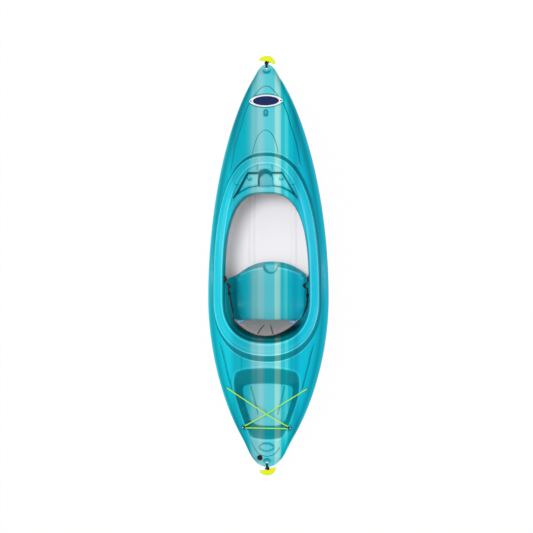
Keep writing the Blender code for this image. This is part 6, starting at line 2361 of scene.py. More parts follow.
@dataclass
class Backrest(SubAssembly):
    """Padded backrest on its board, with the binding and the tabs."""

    low_z: float = 0.100
    rise: float = 0.228
    corner_drop: float = 0.042
    low_half: float = 0.150
    top_half: float = 0.203
    low_y: float = -0.345
    recline: float = 0.080
    wing: float = 0.100
    # Pad: its depth at the middle and at its edges, and the play that the cloth has to fill
    pad_depth: float = 0.026
    edge_depth: float = 0.009
    slim: float = 0.003
    swell: float = 0.007
    flat: float = 0.0004
    # Seams: (t, x) of the foot and head of each, half width and depth of the furrow
    seam: tuple = ((0.56, 0.0216), (0.93, 0.0465))
    seam_half: float = 0.0045
    seam_depth: float = 0.0065
    # Quilting along the edges: distances from the sides and from the top, half width and depth
    quilt_at: Pair = (0.010, 0.012)
    quilt_half: float = 0.0035
    quilt_depth: float = 0.0016
    wrinkle: float = 0.0011
    board: float = 0.0035
    binding_radius: float = 0.0026
    # Lugs for the pivot pins: inner and outer x, radius
    lug: Triple = (0.104, 0.1215, 0.006)
    # Tabs: (s, t) of their two ends
    tab_from: Pair = (0.89, 0.965)
    tab_to: Pair = (0.81, 0.81)
    tab_width: float = 0.021
    tab_taper: float = 0.34
    tab_thickness: float = 0.0015
    tab_lift: float = 0.009
    tab_rows: int = 22

    def point(self, s: float, t: float, out: float = 0.0) -> Vector:
        """Point of the backrest's rear surface, s across and t up, moved out along its normal.

        Args:
            s: Place across, from -1 at port to 1 at starboard.
            t: Place upward, from 0 to 1.
            out: Distance behind the surface.

        Returns:
            The point.
        """

        def at(s: float, t: float) -> Vector:
            """The same point on the surface itself.

            Args:
                s: Place across.
                t: Place upward.

            Returns:
                The point.
            """
            half = mix(self.low_half, self.top_half, t)
            z = self.low_z + (self.rise - self.corner_drop * s * s) * t
            return Vector((half * s, self.low_y - self.recline * t + self.wing * t * s * s, z))

        step = 1e-4
        normal = (at(s + step, t) - at(s - step, t)).cross(at(s, t + step) - at(s, t - step)).normalized()
        return at(s, t) + normal * out

    def depth(self, s: float, t: float) -> float:
        """Thickness of the pad before its seams are drawn in."""
        share = (1.0 - abs(s) ** 5) ** 0.5 * max(0.0, 1.0 - abs(2 * t - 1.0) ** 4) ** 0.5
        return mix(self.edge_depth, self.pad_depth, share)

    def seam_share(self, s: float, t: float) -> float:
        """How deep in a seam the place lies, from 0 to 1.

        Args:
            s: Place across, from -1 at port to 1 at starboard.
            t: Place upward, from 0 to 1.

        Returns:
            The share.
        """
        (low, low_x), (high, high_x) = self.seam
        x = abs(s) * mix(self.low_half, self.top_half, t)
        off = abs(x - mix(low_x, high_x, (t - low) / (high - low))) / self.seam_half
        run = float(ease((t - low + 0.03) / 0.05)) * float(ease((high + 0.04 - t) / 0.05))
        return run * max(0.0, 1.0 - off) ** 0.7

    def slab(self, name: str, near: Callable, far: Callable, columns: int, rows: int) -> Piece:
        """Closed slab between two sheets.

        Args:
            name: Name of the object.
            near: Point of the rear sheet at (s, t).
            far: Point of the front sheet at (s, t).
            columns: Points across.
            rows: Points upward.

        Returns:
            The slab.
        """
        across, up = np.linspace(-1.0, 1.0, columns), np.linspace(0.0, 1.0, rows)
        verts = [sheet(s, t) for sheet in (near, far) for t in up for s in across]
        count, faces = rows * columns, []
        for face in grid_faces(columns, rows):
            faces += [face, tuple(count + v for v in reversed(face))]
        rim = list(range(columns)) + [r * columns + columns - 1 for r in range(1, rows)]
        rim += [(rows - 1) * columns + c for c in range(columns - 2, -1, -1)]
        rim += [r * columns for r in range(rows - 2, 0, -1)]
        faces += [(b, a, count + a, count + b) for a, b in zip(rim, rim[1:] + rim[:1])]
        return outward(from_points(name, verts, faces))

    def build_pad(self) -> Piece:
        """Cushion inflated by cloth from a slimmer form, with its seams drawn in afterwards."""
        pad = self.slab(
            "pad", lambda s, t: self.point(s * 0.992, 0.008 + 0.984 * t, -0.0002),
            lambda s, t: self.point(s * 0.985, 0.012 + 0.972 * t, self.slim - self.depth(s, t)), 64, 34,
        )
        modify(pad, "REMESH", mode="VOXEL", voxel_size=0.0048)
        start = np.array([v.co for v in pad.data.vertices])
        self.inflate(pad)
        moved = np.array([v.co for v in pad.data.vertices]) - start
        reach = np.linalg.norm(moved, axis=1)[:, None]
        ended = start + moved * np.minimum(1.0, self.swell / np.clip(reach, 1e-9, None))
        for vertex, place in zip(pad.data.vertices, ended):
            vertex.co = place
        modify(pad, "SUBSURF", levels=1, render_levels=1)
        self.draw_in(pad)
        return pad

    def inflate(self, pad: Piece) -> None:
        """Blows the pad up as cloth that is held along the board.

        Args:
            pad: The pad's mesh object.
        """
        columns, rows = 48, 24
        across, up = np.linspace(-1, 1, columns), np.linspace(0, 1, rows)
        tree = BVHTree.FromPolygons(
            [self.point(s, t) for t in up for s in across], list(grid_faces(columns, rows))
        )
        held = pad.vertex_groups.new(name="held")
        for vertex in pad.data.vertices:
            if tree.find_nearest(vertex.co)[3] < 0.0012:
                held.add([vertex.index], 1.0, "REPLACE")
        cloth, last_frame = pad.modifiers.new("fill", "CLOTH"), 20
        cloth.settings.quality = 6
        cloth.settings.mass = 0.3
        cloth.settings.use_pressure = True
        cloth.settings.uniform_pressure_force = 4.0
        cloth.settings.effector_weights.gravity = 0.0
        cloth.settings.vertex_group_mass = "held"
        cloth.settings.pin_stiffness = 1.0
        cloth.collision_settings.use_collision = False
        cloth.point_cache.frame_start, cloth.point_cache.frame_end = 1, last_frame
        for number in range(1, last_frame + 1):
            bpy.context.scene.frame_set(number)
        bake(pad)
        bpy.context.scene.frame_set(1)

    def draw_in(self, pad: Piece) -> None:
        """Keeps the pad's rear flat on the board, pulls its front in along the seams and quilting, and stores
        how deep in a seam furrow each point lies as painted shade.

        Args:
            pad: The pad's mesh object.
        """
        seams = np.zeros(len(pad.data.vertices), np.float32)
        for vertex in pad.data.vertices:
            s, t, out = self.locate(vertex.co)
            if out > -self.flat:
                vertex.co = self.point(s, t, -self.flat)
                continue
            share = self.seam_share(s, t)
            wrinkle = (
                self.wrinkle * math.sin(46 * s + 9 * t) * math.sin(7 * t + 2.3 * s) * max(0.0, 1.0 - s * s)
            )
            # Painted shade for the cloth, by how deep in a seam furrow the point lies
            seams[vertex.index] = min(1.0, 1.6 * share)
            side, top = min(1.0 - abs(s), 0.5) * self.top_half, (1.0 - t) * self.rise
            offs = [(far - at) / self.quilt_half for far, at in zip((side, top), self.quilt_at)]
            quilt = max(math.exp(-(off**2)) for off in offs)
            sink = self.seam_depth * share + wrinkle
            sink += self.quilt_depth * quilt
            if out < -0.006:
                vertex.co = self.point(s, t, min(-0.003, out + sink))
        pad.data.attributes.new("seam", "FLOAT", "POINT").data.foreach_set("value", seams)

    def locate(self, place: Vector) -> Triple:
        """(s, t, out) of a place near the backrest.

        Args:
            place: The place.

        Returns:
            s, t and the distance behind the surface.
        """
        t = min(1.0, max(0.0, (place.z - self.low_z) / (self.rise - self.corner_drop * 0.3)))
        s = 0.0
        for _ in range(12):
            half = mix(self.low_half, self.top_half, t)
            s = max(-1.0, min(1.0, place.x / half))
            miss = place - self.point(s, t)
            up = self.point(s, min(1.0, t + 0.01)) - self.point(s, t - 0.01)
            t = min(1.0, max(0.0, t + 0.02 * miss.dot(up) / up.length_squared * (1.0 if t < 1.0 else 0.5)))
        base, lifted = self.point(s, t), self.point(s, t, 1.0)
        return s, t, (place - base).dot((lifted - base).normalized())

    def build(self) -> None:
        """All pieces of the backrest."""
        pad = smooth(self.build_pad(), 60)
        self.finish(pad, "backrest_cushion", Body.BACKREST, "pad_grey", ["pad"], ["backrest_pad"])
        self.build_board()
        self.build_binding()
        for side in Side:
            self.build_tab(side, pad)

    def build_board(self) -> None:
        """Stiff board behind the pad, with the two lugs that turn on the pivot pins."""
        board = self.slab("board", lambda s, t: self.point(s, t, GAP),
                          lambda s, t: self.point(s, t, GAP + self.board), 49, 25)
        parts = [bevel(board, 0.0012, 2, 60.0)]
        low, high, radius = self.lug
        pivot_y, pivot_z = self.form.pivot
        for side in Side:
            x = side.value * (low + high) / 2
            axle = facing((x, pivot_y, pivot_z), (side.value, 0, 0))
            lug = rod("lug", radius, high - low, axle, 40)
            cut(lug, rod("bore", self.form.pivot_bore, high - low + 0.01, axle, 32))
            parts.append(bevel(lug, 0.0006, 2, 60.0))
            arm = shift(x, pivot_y + 0.0004, (pivot_z + self.low_z + 0.002) / 2 + 0.002)
            parts.append(block("arm", (high - low - 0.001, 0.0026, 0.009), arm, 0.0004))
        self.black_moulding(join(parts, "board"), "backrest_panel", "backrest_board", Body.BACKREST)

    def build_binding(self) -> None:
        """Bound edge along the top."""
        line = []
        for s in np.linspace(-1.0, 1.0, 81):
            rise = (self.point(s, 1.0) - self.point(s, 0.99)).normalized()
            line.append(self.point(s, 1.0) + rise * (self.binding_radius + 2 * GAP))
        binding = smooth(sweep("binding", line, round_section(self.binding_radius, 20)), 60)
        self.finish(
            binding, "backrest_piping", Body.BACKREST, "black_webbing", ["binding"], ["backrest_binding"]
        )

    def build_tab(self, side: Side, pad: Piece) -> None:
        """Tapering webbing tongue, sewn under the pad's top edge and lying down its front.

        Args:
            side: Port or starboard.
            pad: The pad's mesh object.
        """
        bpy.context.view_layer.update()
        tree = BVHTree.FromObject(pad, bpy.context.evaluated_depsgraph_get())
        path, normals, shares = [], [], []
        last = self.tab_rows - 1
        for share in np.linspace(0.0, 1.0, self.tab_rows):
            s, t = (mix(a, b, share) for a, b in zip(self.tab_from, self.tab_to))
            start = self.point(side.value * s, t, -0.09)
            spot, normal, *_ = tree.ray_cast(start, self.point(side.value * s, t) - start)
            path.append(spot + normal * (0.0012 + self.tab_lift * share**2))
            normals.append(normal)
            shares.append(mix(1.0, self.tab_taper, share))
        ahead = [path[min(k + 1, last)] - path[max(k - 1, 0)] for k in range(self.tab_rows)]
        ups = [normal.cross(way) for normal, way in zip(normals, ahead)]
        section = band_section(self.tab_thickness, self.tab_width, 6)
        tab = smooth(sweep("tab", path, section, ups, shares=shares), 50)
        self.finish(
            tab, f"pull_tab_{side.label}", Body.BACKREST, "tab_blue", ["tab"], [f"backrest_tab_{side.label}"]
        )


@dataclass
class SideStraps(SubAssembly):
    """Adjusting straps from the coaming's lip to the backrest, with their anchors and buckles."""

    backrest: Backrest = None
    width: float = 0.020
    thickness: float = 0.0018
    anchor: Triple = (0.040, 0.024, 0.004)
    bridge: Triple = (0.026, 0.0262, 0.0050)
    bridge_play: float = 0.0004
    buckle: Triple = (0.018, 0.028, 0.0066)
    buckle_slot: Triple = (0.030, 0.0216, 0.0034)
    buckle_window: Triple = (0.0036, 0.0200, 0.006)
    window_at: Pair = (-0.0042, 0.0042)
    end_share: float = 0.84
    on_board: float = 0.022
    # Twist and plan route of the left and the right strap's free part
    twists: Pair = (math.radians(52), math.radians(34))
    fold_at: float = 4.5
    routes: tuple = (
        ((0.2465, -0.1000), (0.2400, -0.1080), (0.2290, -0.1210), (0.2275, -0.1270), (0.2315, -0.1330),
         (0.2325, -0.1400), (0.2210, -0.2005), (0.2105, -0.2690), (0.2085, -0.3010)),
        ((0.2465, -0.1000), (0.2400, -0.1070), (0.2300, -0.1160), (0.2290, -0.1220), (0.2345, -0.1285),
         (0.2450, -0.1375), (0.2490, -0.1480), (0.2490, -0.2020), (0.2400, -0.2560), (0.2200, -0.3010)),
    )

    def turned(self, side: Side) -> float:
        """Twist of a strap in its free part."""
        return side.value * self.twists[0 if side is Side.LEFT else 1]

    def anchor_place(self, side: Side) -> Matrix:
        """Placement of an anchor's back: X ahead, Y up, Z away from the lip.

        Args:
            side: Port or starboard.

        Returns:
            The placement.
        """
        centre, (*_, thin_way) = node_axes(f"strap_anchor_{side.label}")
        out = thin_way if thin_way.x * side.value < 0 else -thin_way
        ahead = (out * out.y * side.value - Vector((0, side.value, 0))).normalized()
        return frame_of(ahead, out.cross(ahead), out, centre - out * self.anchor[2] / 2)

    def build(self) -> None:
        """Both sides."""
        for side in Side:
            self.build_side(side)

    def build_side(self, side: Side) -> None:
        """One anchor, strap and buckle.

        Args:
            side: Port or starboard.
        """
        back, label = self.backrest, side.label
        place = self.anchor_place(side)
        ahead, up = place.to_3x3().col[0], place.to_3x3().col[1]
        self.build_anchor(side, place)
        face = place @ Vector((0, 0, self.anchor[2] + GAP + self.thickness / 2))
        run = [face - ahead * side.value * 0.014, face + ahead * side.value * 0.014]
        route = self.routes[0 if side is Side.LEFT else 1]
        corner_z = back.point(side.value, self.end_share).z
        lengths = np.cumsum([0.0] + [math.dist(a, b) for a, b in zip(route, route[1:])])
        for (x, y), done in zip(route, lengths / (lengths[-1] + 0.02)):
            run.append(Vector((side.value * x, y, mix(face.z, corner_z, float(done)))))
        out = back.board + 2 * GAP + self.thickness / 2
        lie = [side.value * s for s in np.linspace(1.045, 1.0 - self.on_board / back.top_half, 5)]
        run += [back.point(s, self.end_share, out + GAP) for s in lie]
        upright = [back.point(s, self.end_share + 0.05) - back.point(s, self.end_share - 0.05) for s in lie]
        free = len(run) - len(lie)
        ups = [up.lerp(upright[0].normalized(), k / free) for k in range(free)]
        ups += [u.normalized() for u in upright]
        for k in range(2, free):
            ahead = (run[k + 1] - run[k - 1]).normalized()
            share = float(ease((k - 1) / 3) * ease((free - k) / 2))
            fold = 1.0 + 0.8 * math.exp(-(((k - self.fold_at) / 1.2) ** 2))
            ups[k] = Matrix.Rotation(self.turned(side) * share * fold, 3, ahead) @ ups[k]
        rows = np.array([[*p, *u] for p, u in zip(run, ups)])
        fine = smooth_open(rows, 6)
        section = band_section(self.thickness, self.width)
        strap = smooth(
            sweep("strap", [Vector(r[:3]) for r in fine], section, [Vector(r[3:]) for r in fine]), 50
        )
        strap.name = strap.data.name = f"webbing_strap_{label}"
        self.palette.dress(strap, "webbing")
        tuple(run[1])
        tuple(run[-5])
        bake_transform(strap)
        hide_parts(f"strap_{label}")
        LOG.info("webbing_strap_%s: %d points", label, len(strap.data.vertices))
        self.build_buckle(side)

    def build_anchor(self, side: Side, place: Matrix) -> None:
        """Anchor plate with its screw hole and the bridge that the webbing runs under.

        Args:
            side: Port or starboard.
            place: Placement of its back.
        """
        thick = self.anchor[2]
        plate = block("anchor", self.anchor, place @ shift(0, 0, thick / 2), 0.0012)
        cut(plate, rod("hole", SCREW_HOLE, 0.02, place, 24))
        length, height, bar = self.bridge
        level = thick + GAP + self.thickness + self.bridge_play + bar / 2
        parts = [plate, block("bridge", self.bridge, place @ shift(0, 0, level), 0.0008)]
        post = (length, (height - self.width) / 2 - self.bridge_play, level)
        for end in (-1.0, 1.0):
            rise = end * (height / 2 - post[1] / 2)
            parts.append(block("post", post, place @ shift(0, rise, level / 2), 0.0004))
        self.black_moulding(join(parts, "anchor"), f"strap_mount_{side.label}", f"strap_anchor_{side.label}")

    def build_buckle(self, side: Side) -> None:
        """Ladder-lock buckle: a frame with a slot for the webbing and two windows.

        Args:
            side: Port or starboard.
        """
        node = f"strap_buckle_{side.label}"
        centre, (tall_way, long_way, _) = node_axes(node)
        if tall_way.z < 0:
            tall_way = -tall_way
        if long_way.y > 0:
            long_way = -long_way
        place = frame_of(long_way, tall_way, long_way.cross(tall_way), centre)
        place = place @ Matrix.Rotation(self.turned(side), 4, "X")
        buckle = block("buckle", self.buckle, place, 0.0014)
        cut(buckle, block("slot", self.buckle_slot, place))
        for reach in self.window_at:
            cut(buckle, block("window", self.buckle_window, place @ shift(reach, 0.0, 0.004)))
        self.black_moulding(buckle, f"ladder_buckle_{side.label}", node, Body[f"BUCKLE_{side.name}"])


# Small hardware


@dataclass
class Fasteners(SubAssembly):
    """Rivets, screws and pivot pins, each turned in place."""

    # Heads and the recess as (radius, rise) and a box, and rivets as (head, shank, wall)
    screw_head: Pair = (0.0038, 0.0020)
    screw_shank: float = 0.0019
    screw_length: float = 0.014
    bracket_screw_length: float = 0.010
    thread_pitch: float = 0.0012
    thread_core: float = 0.82
    recess: Triple = (0.0040, 0.0009, 0.0018)
    plate_rivet: tuple = ((0.0046, 0.0018), 0.0018, 0.0076)
    side_rivet: tuple = ((0.0066, 0.0028), 0.0026, 0.0051)
    pin_head: Pair = (0.0048, 0.003)
    pin_radius: float = 0.0025

    def screw(self, node: str, length: float) -> None:
        """Pan-head screw with a thread and a cross recess.

        Args:
            node: CAD node that it replaces.
            length: Length under its head.
        """
        radius, rise = self.screw_head
        place = fastener_place(node, rise)
        shank = self.screw_shank
        dome = ((0.0, 1.0), (0.35, 0.98), (0.65, 0.88), (0.88, 0.62), (1.0, 0.25), (1.0, 0.0))
        profile = [(share * radius, height * rise) for share, height in dome] + [(shank, 0.0)]
        pitch, start = self.thread_pitch, 0.001
        for k in range(int((length - shank - start) / pitch)):
            profile += [(shank, -start - k * pitch), (self.thread_core * shank, -start - (k + 0.5) * pitch)]
        profile += [(shank, -length + shank), (0.0, -length)]
        obj = spun("screw", profile, place, 24)
        for turn in (0.0, math.pi / 2):
            slot = place @ shift(0, 0, rise) @ Matrix.Rotation(turn, 4, "Z")
            cut(obj, block("recess", self.recess, slot))
        self.finish(
            smooth(obj, 35), node.replace("_screw", "_pan_screw"), Body.BOAT, "steel", ["steel"], [node]
        )

    def rivet(self, node: str, head: Pair, shank: float, wall: float) -> None:
        """Domed rivet clenched behind its wall.

        Args:
            node: CAD node that it replaces.
            head: Radius and rise of its head.
            shank: Radius of its shank.
            wall: Thickness that it holds together.
        """
        place = fastener_place(node, head[1])
        radius, rise = head
        behind = -wall - 2 * GAP
        dome = [
            (radius * math.sin(a), rise * (0.25 + 0.75 * math.cos(a))) for a in np.linspace(0, math.pi / 2, 8)
        ]
        profile = [*dome, (radius, 0.0), (shank, 0.0), (shank, behind), (1.6 * shank, behind),
                   (1.5 * shank, behind - 0.0010), (1.1 * shank, behind - 0.0016), (0.0, behind - 0.0016)]
        obj = spun("rivet", profile, place, 32)
        self.black_moulding(obj, node.replace("rivet", "dome_rivet"), node, degrees=40)

    def pin(self, side: Side) -> None:
        """Pivot pin through the bracket's ear into the lug.

        Args:
            side: Port or starboard.
        """
        node = f"backrest_pivot_pin_{side.label}"
        low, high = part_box(node)
        (head, rise), radius = self.pin_head, self.pin_radius
        length, edge = high.x - low.x - rise, 0.0008
        place = fastener_place(node, rise)
        profile = [(0.0, rise), (head - edge, rise), (head, rise - edge), (head, 0.0), (radius, 0.0),
                   (radius, edge - length), (radius - 0.0007, -length), (0.0, -length)]
        pin = smooth(spun("pin", profile, place, 32), 40)
        self.finish(pin, f"backrest_hinge_pin_{side.label}", Body.BOAT, "steel", ["steel"], [node])

    def build(self) -> None:
        """Every fastener."""
        for side in Side:
            self.screw(f"strap_anchor_screw_{side.label}", self.screw_length)
            self.screw(f"pad_eye_screw_{side.label}", self.screw_length)
            self.screw(f"backrest_bracket_screw_{side.label}", self.bracket_screw_length)
            self.rivet(f"name_plate_rivet_{side.label}", *self.plate_rivet)
            self.rivet(f"side_rivet_{side.label}", *self.side_rivet)
            self.pin(side)


@dataclass
class Brackets(SubAssembly):
    """Hinge brackets on the seat floor."""

    # Ear: inner and outer x, radius. Foot: inner x, width and thickness
    ear: Triple = (0.1221, 0.1261, 0.006)
    foot: Triple = (0.080, 0.022, 0.003)

    def build(self) -> None:
        """Both brackets."""
        form = self.form
        floor = form.seat_z + GAP
        pivot_y, pivot_z = form.pivot
        (low, high, radius), (inner, width, thick) = self.ear, self.foot
        rise = pivot_z - floor - 0.0005
        for side in Side:
            centre = shift(side.value * (inner + high) / 2, pivot_y - 0.001, floor + thick / 2)
            foot = block("foot", (high - inner, width, thick), centre, 0.0008)
            cut(foot, rod("hole", SCREW_HOLE, 0.02, shift(*side.of(form.bracket_screw), floor), 24))
            x = side.value * (low + high) / 2
            ear = block("ear", (high - low, 2 * radius, rise), shift(x, pivot_y, pivot_z - rise / 2), 0.0004)
            axle = facing((x, pivot_y, pivot_z), (side.value, 0, 0))
            cut(ear, rod("round", radius, high - low, axle, 40), "UNION")
            cut(ear, rod("bore", form.pivot_bore, 0.02, axle, 32))
            bracket = join([foot, ear], "bracket")
            self.black_moulding(bracket, f"hinge_bracket_{side.label}", f"backrest_bracket_{side.label}")


@dataclass
class TankWellCord(SubAssembly):
    """Bungee over the tank well, with its pad eyes."""

    radius: float = 0.00325
    clearance: float = 0.0005
    # Pad eye: places along it of its arch's feet, and its base
    post_at: float = 0.012
    foot_at: float = -0.004
    base: Triple = (0.033, 0.014, 0.0025)
    wire: float = 0.003
    arch_top: float = 0.0138
    bend: float = 0.008
    knot: float = 0.0075

    def half(self, side: Side, crossing_rise: float) -> list[Vector]:
        """One half of the cord.

        Args:
            side: Side of its hole.
            crossing_rise: Height above the level line at which it crosses the other half.

        Returns:
            Its route from under the hole, over the well and round the other side's pad eye.
        """
        form, sign = self.form, side.value
        hole = side.of(form.bungee_hole)
        clear = self.radius + self.clearance
        top, step = form.deck_at(*hole), 1e-3
        slope_x = (form.deck_at(hole[0] + step, hole[1]) - top) / step
        slope_y = (form.deck_at(hole[0], hole[1] + step) - top) / step
        normal = Vector((-slope_x, -slope_y, 1.0)).normalized()
        line = [Vector((*hole, top)) + normal * reach for reach in (-0.021, -0.013, -0.005, 0.0032)]
        far_side = Side.LEFT if side is Side.RIGHT else Side.RIGHT
        post = form.eye_spot(far_side, self.post_at)
        eye_z = form.boss_height(side.of(form.pad_eye)) + GAP + self.base[2] + clear
        crossing = np.array((0.0, mix(hole[1], post[1], abs(hole[0]) / (abs(hole[0]) + abs(post[0])))))
        shoulder = [mix(hole, crossing, share) for share in np.linspace(0.04, 0.3, 9)]
        heights = [form.deck_at(*spot) + 1.12 * clear + 0.0008 for spot in shoulder]
        for spot, z in list(zip(shoulder, heights))[:heights.index(max(heights)) + 1]:
            line.append(Vector((*spot, z)))
        middle = Vector((*crossing, mix(line[-1].z, eye_z, 0.6) + crossing_rise))
        line += [line[-1].lerp(middle, t) for t in np.linspace(0.1, 1.0, 10)]
        away = post - crossing
        distance = float(np.hypot(*away))
        heading = math.atan2(away[1], away[0]) - sign * math.asin(self.bend / distance)
        reach = math.sqrt(distance**2 - self.bend**2)
        touch = crossing + reach * np.array((math.cos(heading), math.sin(heading)))
        line += [middle.lerp(Vector((*touch, eye_z)), t) for t in np.linspace(0.1, 0.98, 10)]
        start, end = math.atan2(*(touch - post)[::-1]), -math.pi / 2
        if sign < 0:
            start += 2 * math.pi if start < end else 0.0
        else:
            start -= 2 * math.pi if start > end else 0.0
        for turned in np.linspace(start, end, 19):
            line.append(Vector((*(post + self.bend * np.array((math.cos(turned), math.sin(turned)))), eye_z)))
        return line

    def build(self) -> None:
        """Cord and pad eyes."""
        rise = self.radius + 0.5 * self.clearance + 0.0002
        first, second = self.half(Side.LEFT, rise), self.half(Side.RIGHT, -rise)
        across = [first[-1].lerp(second[-1], t) for t in np.linspace(0.0, 1.0, 24)[1:-1]]
        line = first + across + second[::-1]
        length = sum((b - a).length for a, b in zip(line, line[1:]))
        LOG.info("bungee length %.4f m", length)
        cord = sweep("bungee", line, round_section(self.radius, 18))
        knots = []
        for end, ahead in ((line[0], line[1]), (line[-1], line[-2])):
            place = facing(end + Vector((0, 0, 0.001)), ahead - end)
            knots.append(overhand("knot", self.knot, self.radius * 0.8, place))
        cord = smooth(join([cord, *knots], "bungee"), 60)
        self.finish(cord, "bungee_line", Body.BOAT, "bungee_lime", ["bungee"], ["bungee_cord"])
        for side in Side:
            self.build_eye(side)

    def build_eye(self, side: Side) -> None:
        """Pad eye: a base with a screw hole and a round arch.

        Args:
            side: Port or starboard.
        """
        form = self.form
        centre, toward = form.eye_frame(side)
        top = form.boss_height(side.of(form.pad_eye)) + GAP
        place = shift(*centre, top) @ Matrix.Rotation(math.atan2(toward[1], toward[0]), 4, "Z")
        thick = self.base[2]
        plate = block("eye", self.base, place @ shift(0, 0, thick / 2), 0.0009)
        cut(plate, rod("hole", SCREW_HOLE, 0.02, place @ shift(form.eye_screw_at, 0, thick), 24))
        half = (self.post_at - self.foot_at) / 2
        shoulder = self.arch_top - half * 0.75
        arch = [(self.post_at, 0, z) for z in np.linspace(thick / 2, shoulder, 4)]
        for turned in np.linspace(0, math.pi, 21)[1:-1]:
            reach, rise = half * math.cos(turned), 0.75 * half * math.sin(turned)
            arch.append((self.foot_at + half + reach, 0, shoulder + rise))
        arch += [(self.foot_at, 0, z) for z in np.linspace(shoulder, thick / 2, 4)]
        wire = sweep("wire", [place @ Vector(p) for p in arch], round_section(self.wire, 20))
        self.black_moulding(join([plate, wire], "eye"), f"pad_eye_loop_{side.label}", f"pad_eye_{side.label}")


def overhand(name: str, radius: float, cord: float, place: Matrix) -> Piece:
    """Knot of a cord pulled tight, as a closed trefoil within a sphere.

    Args:
        name: Name of the object.
        radius: Radius of the sphere.
        cord: Radius of the cord.
        place: Placement of the knot.

    Returns:
        The knot as a mesh object.
    """
    turns = np.linspace(0.0, 2 * math.pi, 72, endpoint=False)
    reach = (radius - cord) / 3.0
    path = []
    for a in turns:
        across, along = math.sin(a) + 2 * math.sin(2 * a), math.cos(a) - 2 * math.cos(2 * a)
        spot = Vector((across, along, -1.6 * math.sin(3 * a)))
        path.append(place @ (spot * reach))
    return sweep(name, path, round_section(cord, 12), closed=True)


@dataclass
class CarryHandles(SubAssembly):
    """Cord loop through each tip with its knot and the crescent grip."""

    cord: float = 0.003
    loop: float = 0.0125
    knot: float = 0.0075
    knot_gap: float = 0.0055
    knot_spread: Triple = (3.0, 2.2, 3.0)
    droop: float = math.radians(22)
    yaw: float = math.radians(16)
    inner_at: float = 0.0275
    chord: float = 0.104
    width: float = 0.040
    tip_width: float = 0.008
    hollow: float = 0.005
    thickness: float = 0.014
    tip_thickness: float = 0.006
    socket: float = 0.010

    def build(self) -> None:
        """Both handles."""
        for tip in Tip:
            self.build_handle(tip)

    def build_handle(self, tip: Tip) -> None:
        """Cord and grip at one tip.

        Args:
            tip: Bow or stern.
        """
        form, end = self.form, tip.value
        y = end * (form.tip_y - (form.cord_hole_inset - form.cord_hole) / 2)
        centre = Vector((0.0, y, float(form.seam_z(y))))
        out = Vector((0.0, end * math.cos(self.droop), -math.sin(self.droop)))
        lift = Vector((0.0, end * math.sin(self.droop), math.cos(self.droop)))
        turns = np.linspace(0.0, 2 * math.pi, 48, endpoint=False)
        ring_path = [centre + self.loop * Vector((0.0, math.cos(a), math.sin(a))) for a in turns]
        loops = []
        for offset in (-self.cord - 0.0002, self.cord + 0.0002):
            path = [spot + Vector((offset, 0.0, 0.0)) for spot in ring_path]
            loops.append(sweep("loop", path, round_section(self.cord, 16), closed=True))
        knot_at = self.loop + self.knot_gap
        wide = facing(centre + out * knot_at, out) @ Matrix.Diagonal((*self.knot_spread, 1.0))
        knot = overhand("knot", self.knot, self.cord * 1.2, wide)
        reaches = np.linspace(knot_at - 0.002, self.inner_at + self.socket - 0.001, 14)
        stub = sweep("stub", [centre + out * reach for reach in reaches], round_section(self.cord, 16))
        cord = smooth(join([*loops, knot, stub], "cord"), 60)
        body = Body[f"{tip.name}_HANDLE"]
        self.finish(
            cord, f"{tip.label}_carry_cord", body, "black_webbing", ["cord"], [f"{tip.label}_handle_cord"]
        )
        grip = self.build_grip(end, centre, out, lift)
        self.finish(grip, f"{tip.label}_carry_grip", body, "grip_lime", ["lime"], [f"{tip.label}_grip"])

    def build_grip(self, end: float, centre: Vector, out: Vector, lift: Vector) -> Piece:
        """Crescent grip with a socket for the cord.

        Args:
            end: Sign of the tip's y.
            centre: Middle of the tip's hole.
            out: Direction of the cord.
            lift: Direction of the grip's thickness.

        Returns:
            The grip.
        """
        turn = Matrix.Rotation(-end * self.yaw, 3, "Z")
        verts, faces, sides = [], [], 28
        stations = np.sin(np.linspace(-math.pi / 2, math.pi / 2, 41))
        for s in stations:
            full = math.sqrt(max(0.0, 1.0 - s**2))
            width = mix(self.tip_width, self.width, full**1.3)
            height = mix(self.tip_thickness, self.thickness, full)
            inner = -self.hollow * abs(s) ** 1.5
            cap = min(1.0, math.sqrt(max(0.0, 1.0 - max(0.0, (abs(s) - 0.955) / 0.045) ** 2)) * 0.999 + 0.001)
            for turned in np.arange(sides) * 2 * math.pi / sides:
                v = inner + width / 2 + cap * width / 2 * math.cos(turned)
                w = cap * height / 2 * math.sin(turned)
                local = turn @ Vector((s * self.chord / 2, v, 0.0))
                verts.append(
                    centre + Vector((local.x * end, 0, 0)) + out * (self.inner_at + local.y) + lift * w
                )
        for first in range(0, (len(stations) - 1) * sides, sides):
            pairs = [(first + c, first + (c + 1) % sides) for c in range(sides)]
            faces += [(a, b, b + sides, a + sides) for a, b in pairs]
        faces += [tuple(range(sides)), tuple(range((len(stations) - 1) * sides, len(stations) * sides))]
        grip = outward(from_points("grip", verts, faces))
        depth = self.socket + 0.004
        place = facing(centre + out * (self.inner_at + self.socket - depth / 2), out)
        cut(grip, rod("socket", self.cord + 0.0004, depth, place, 28))
        return smooth(grip, 50)


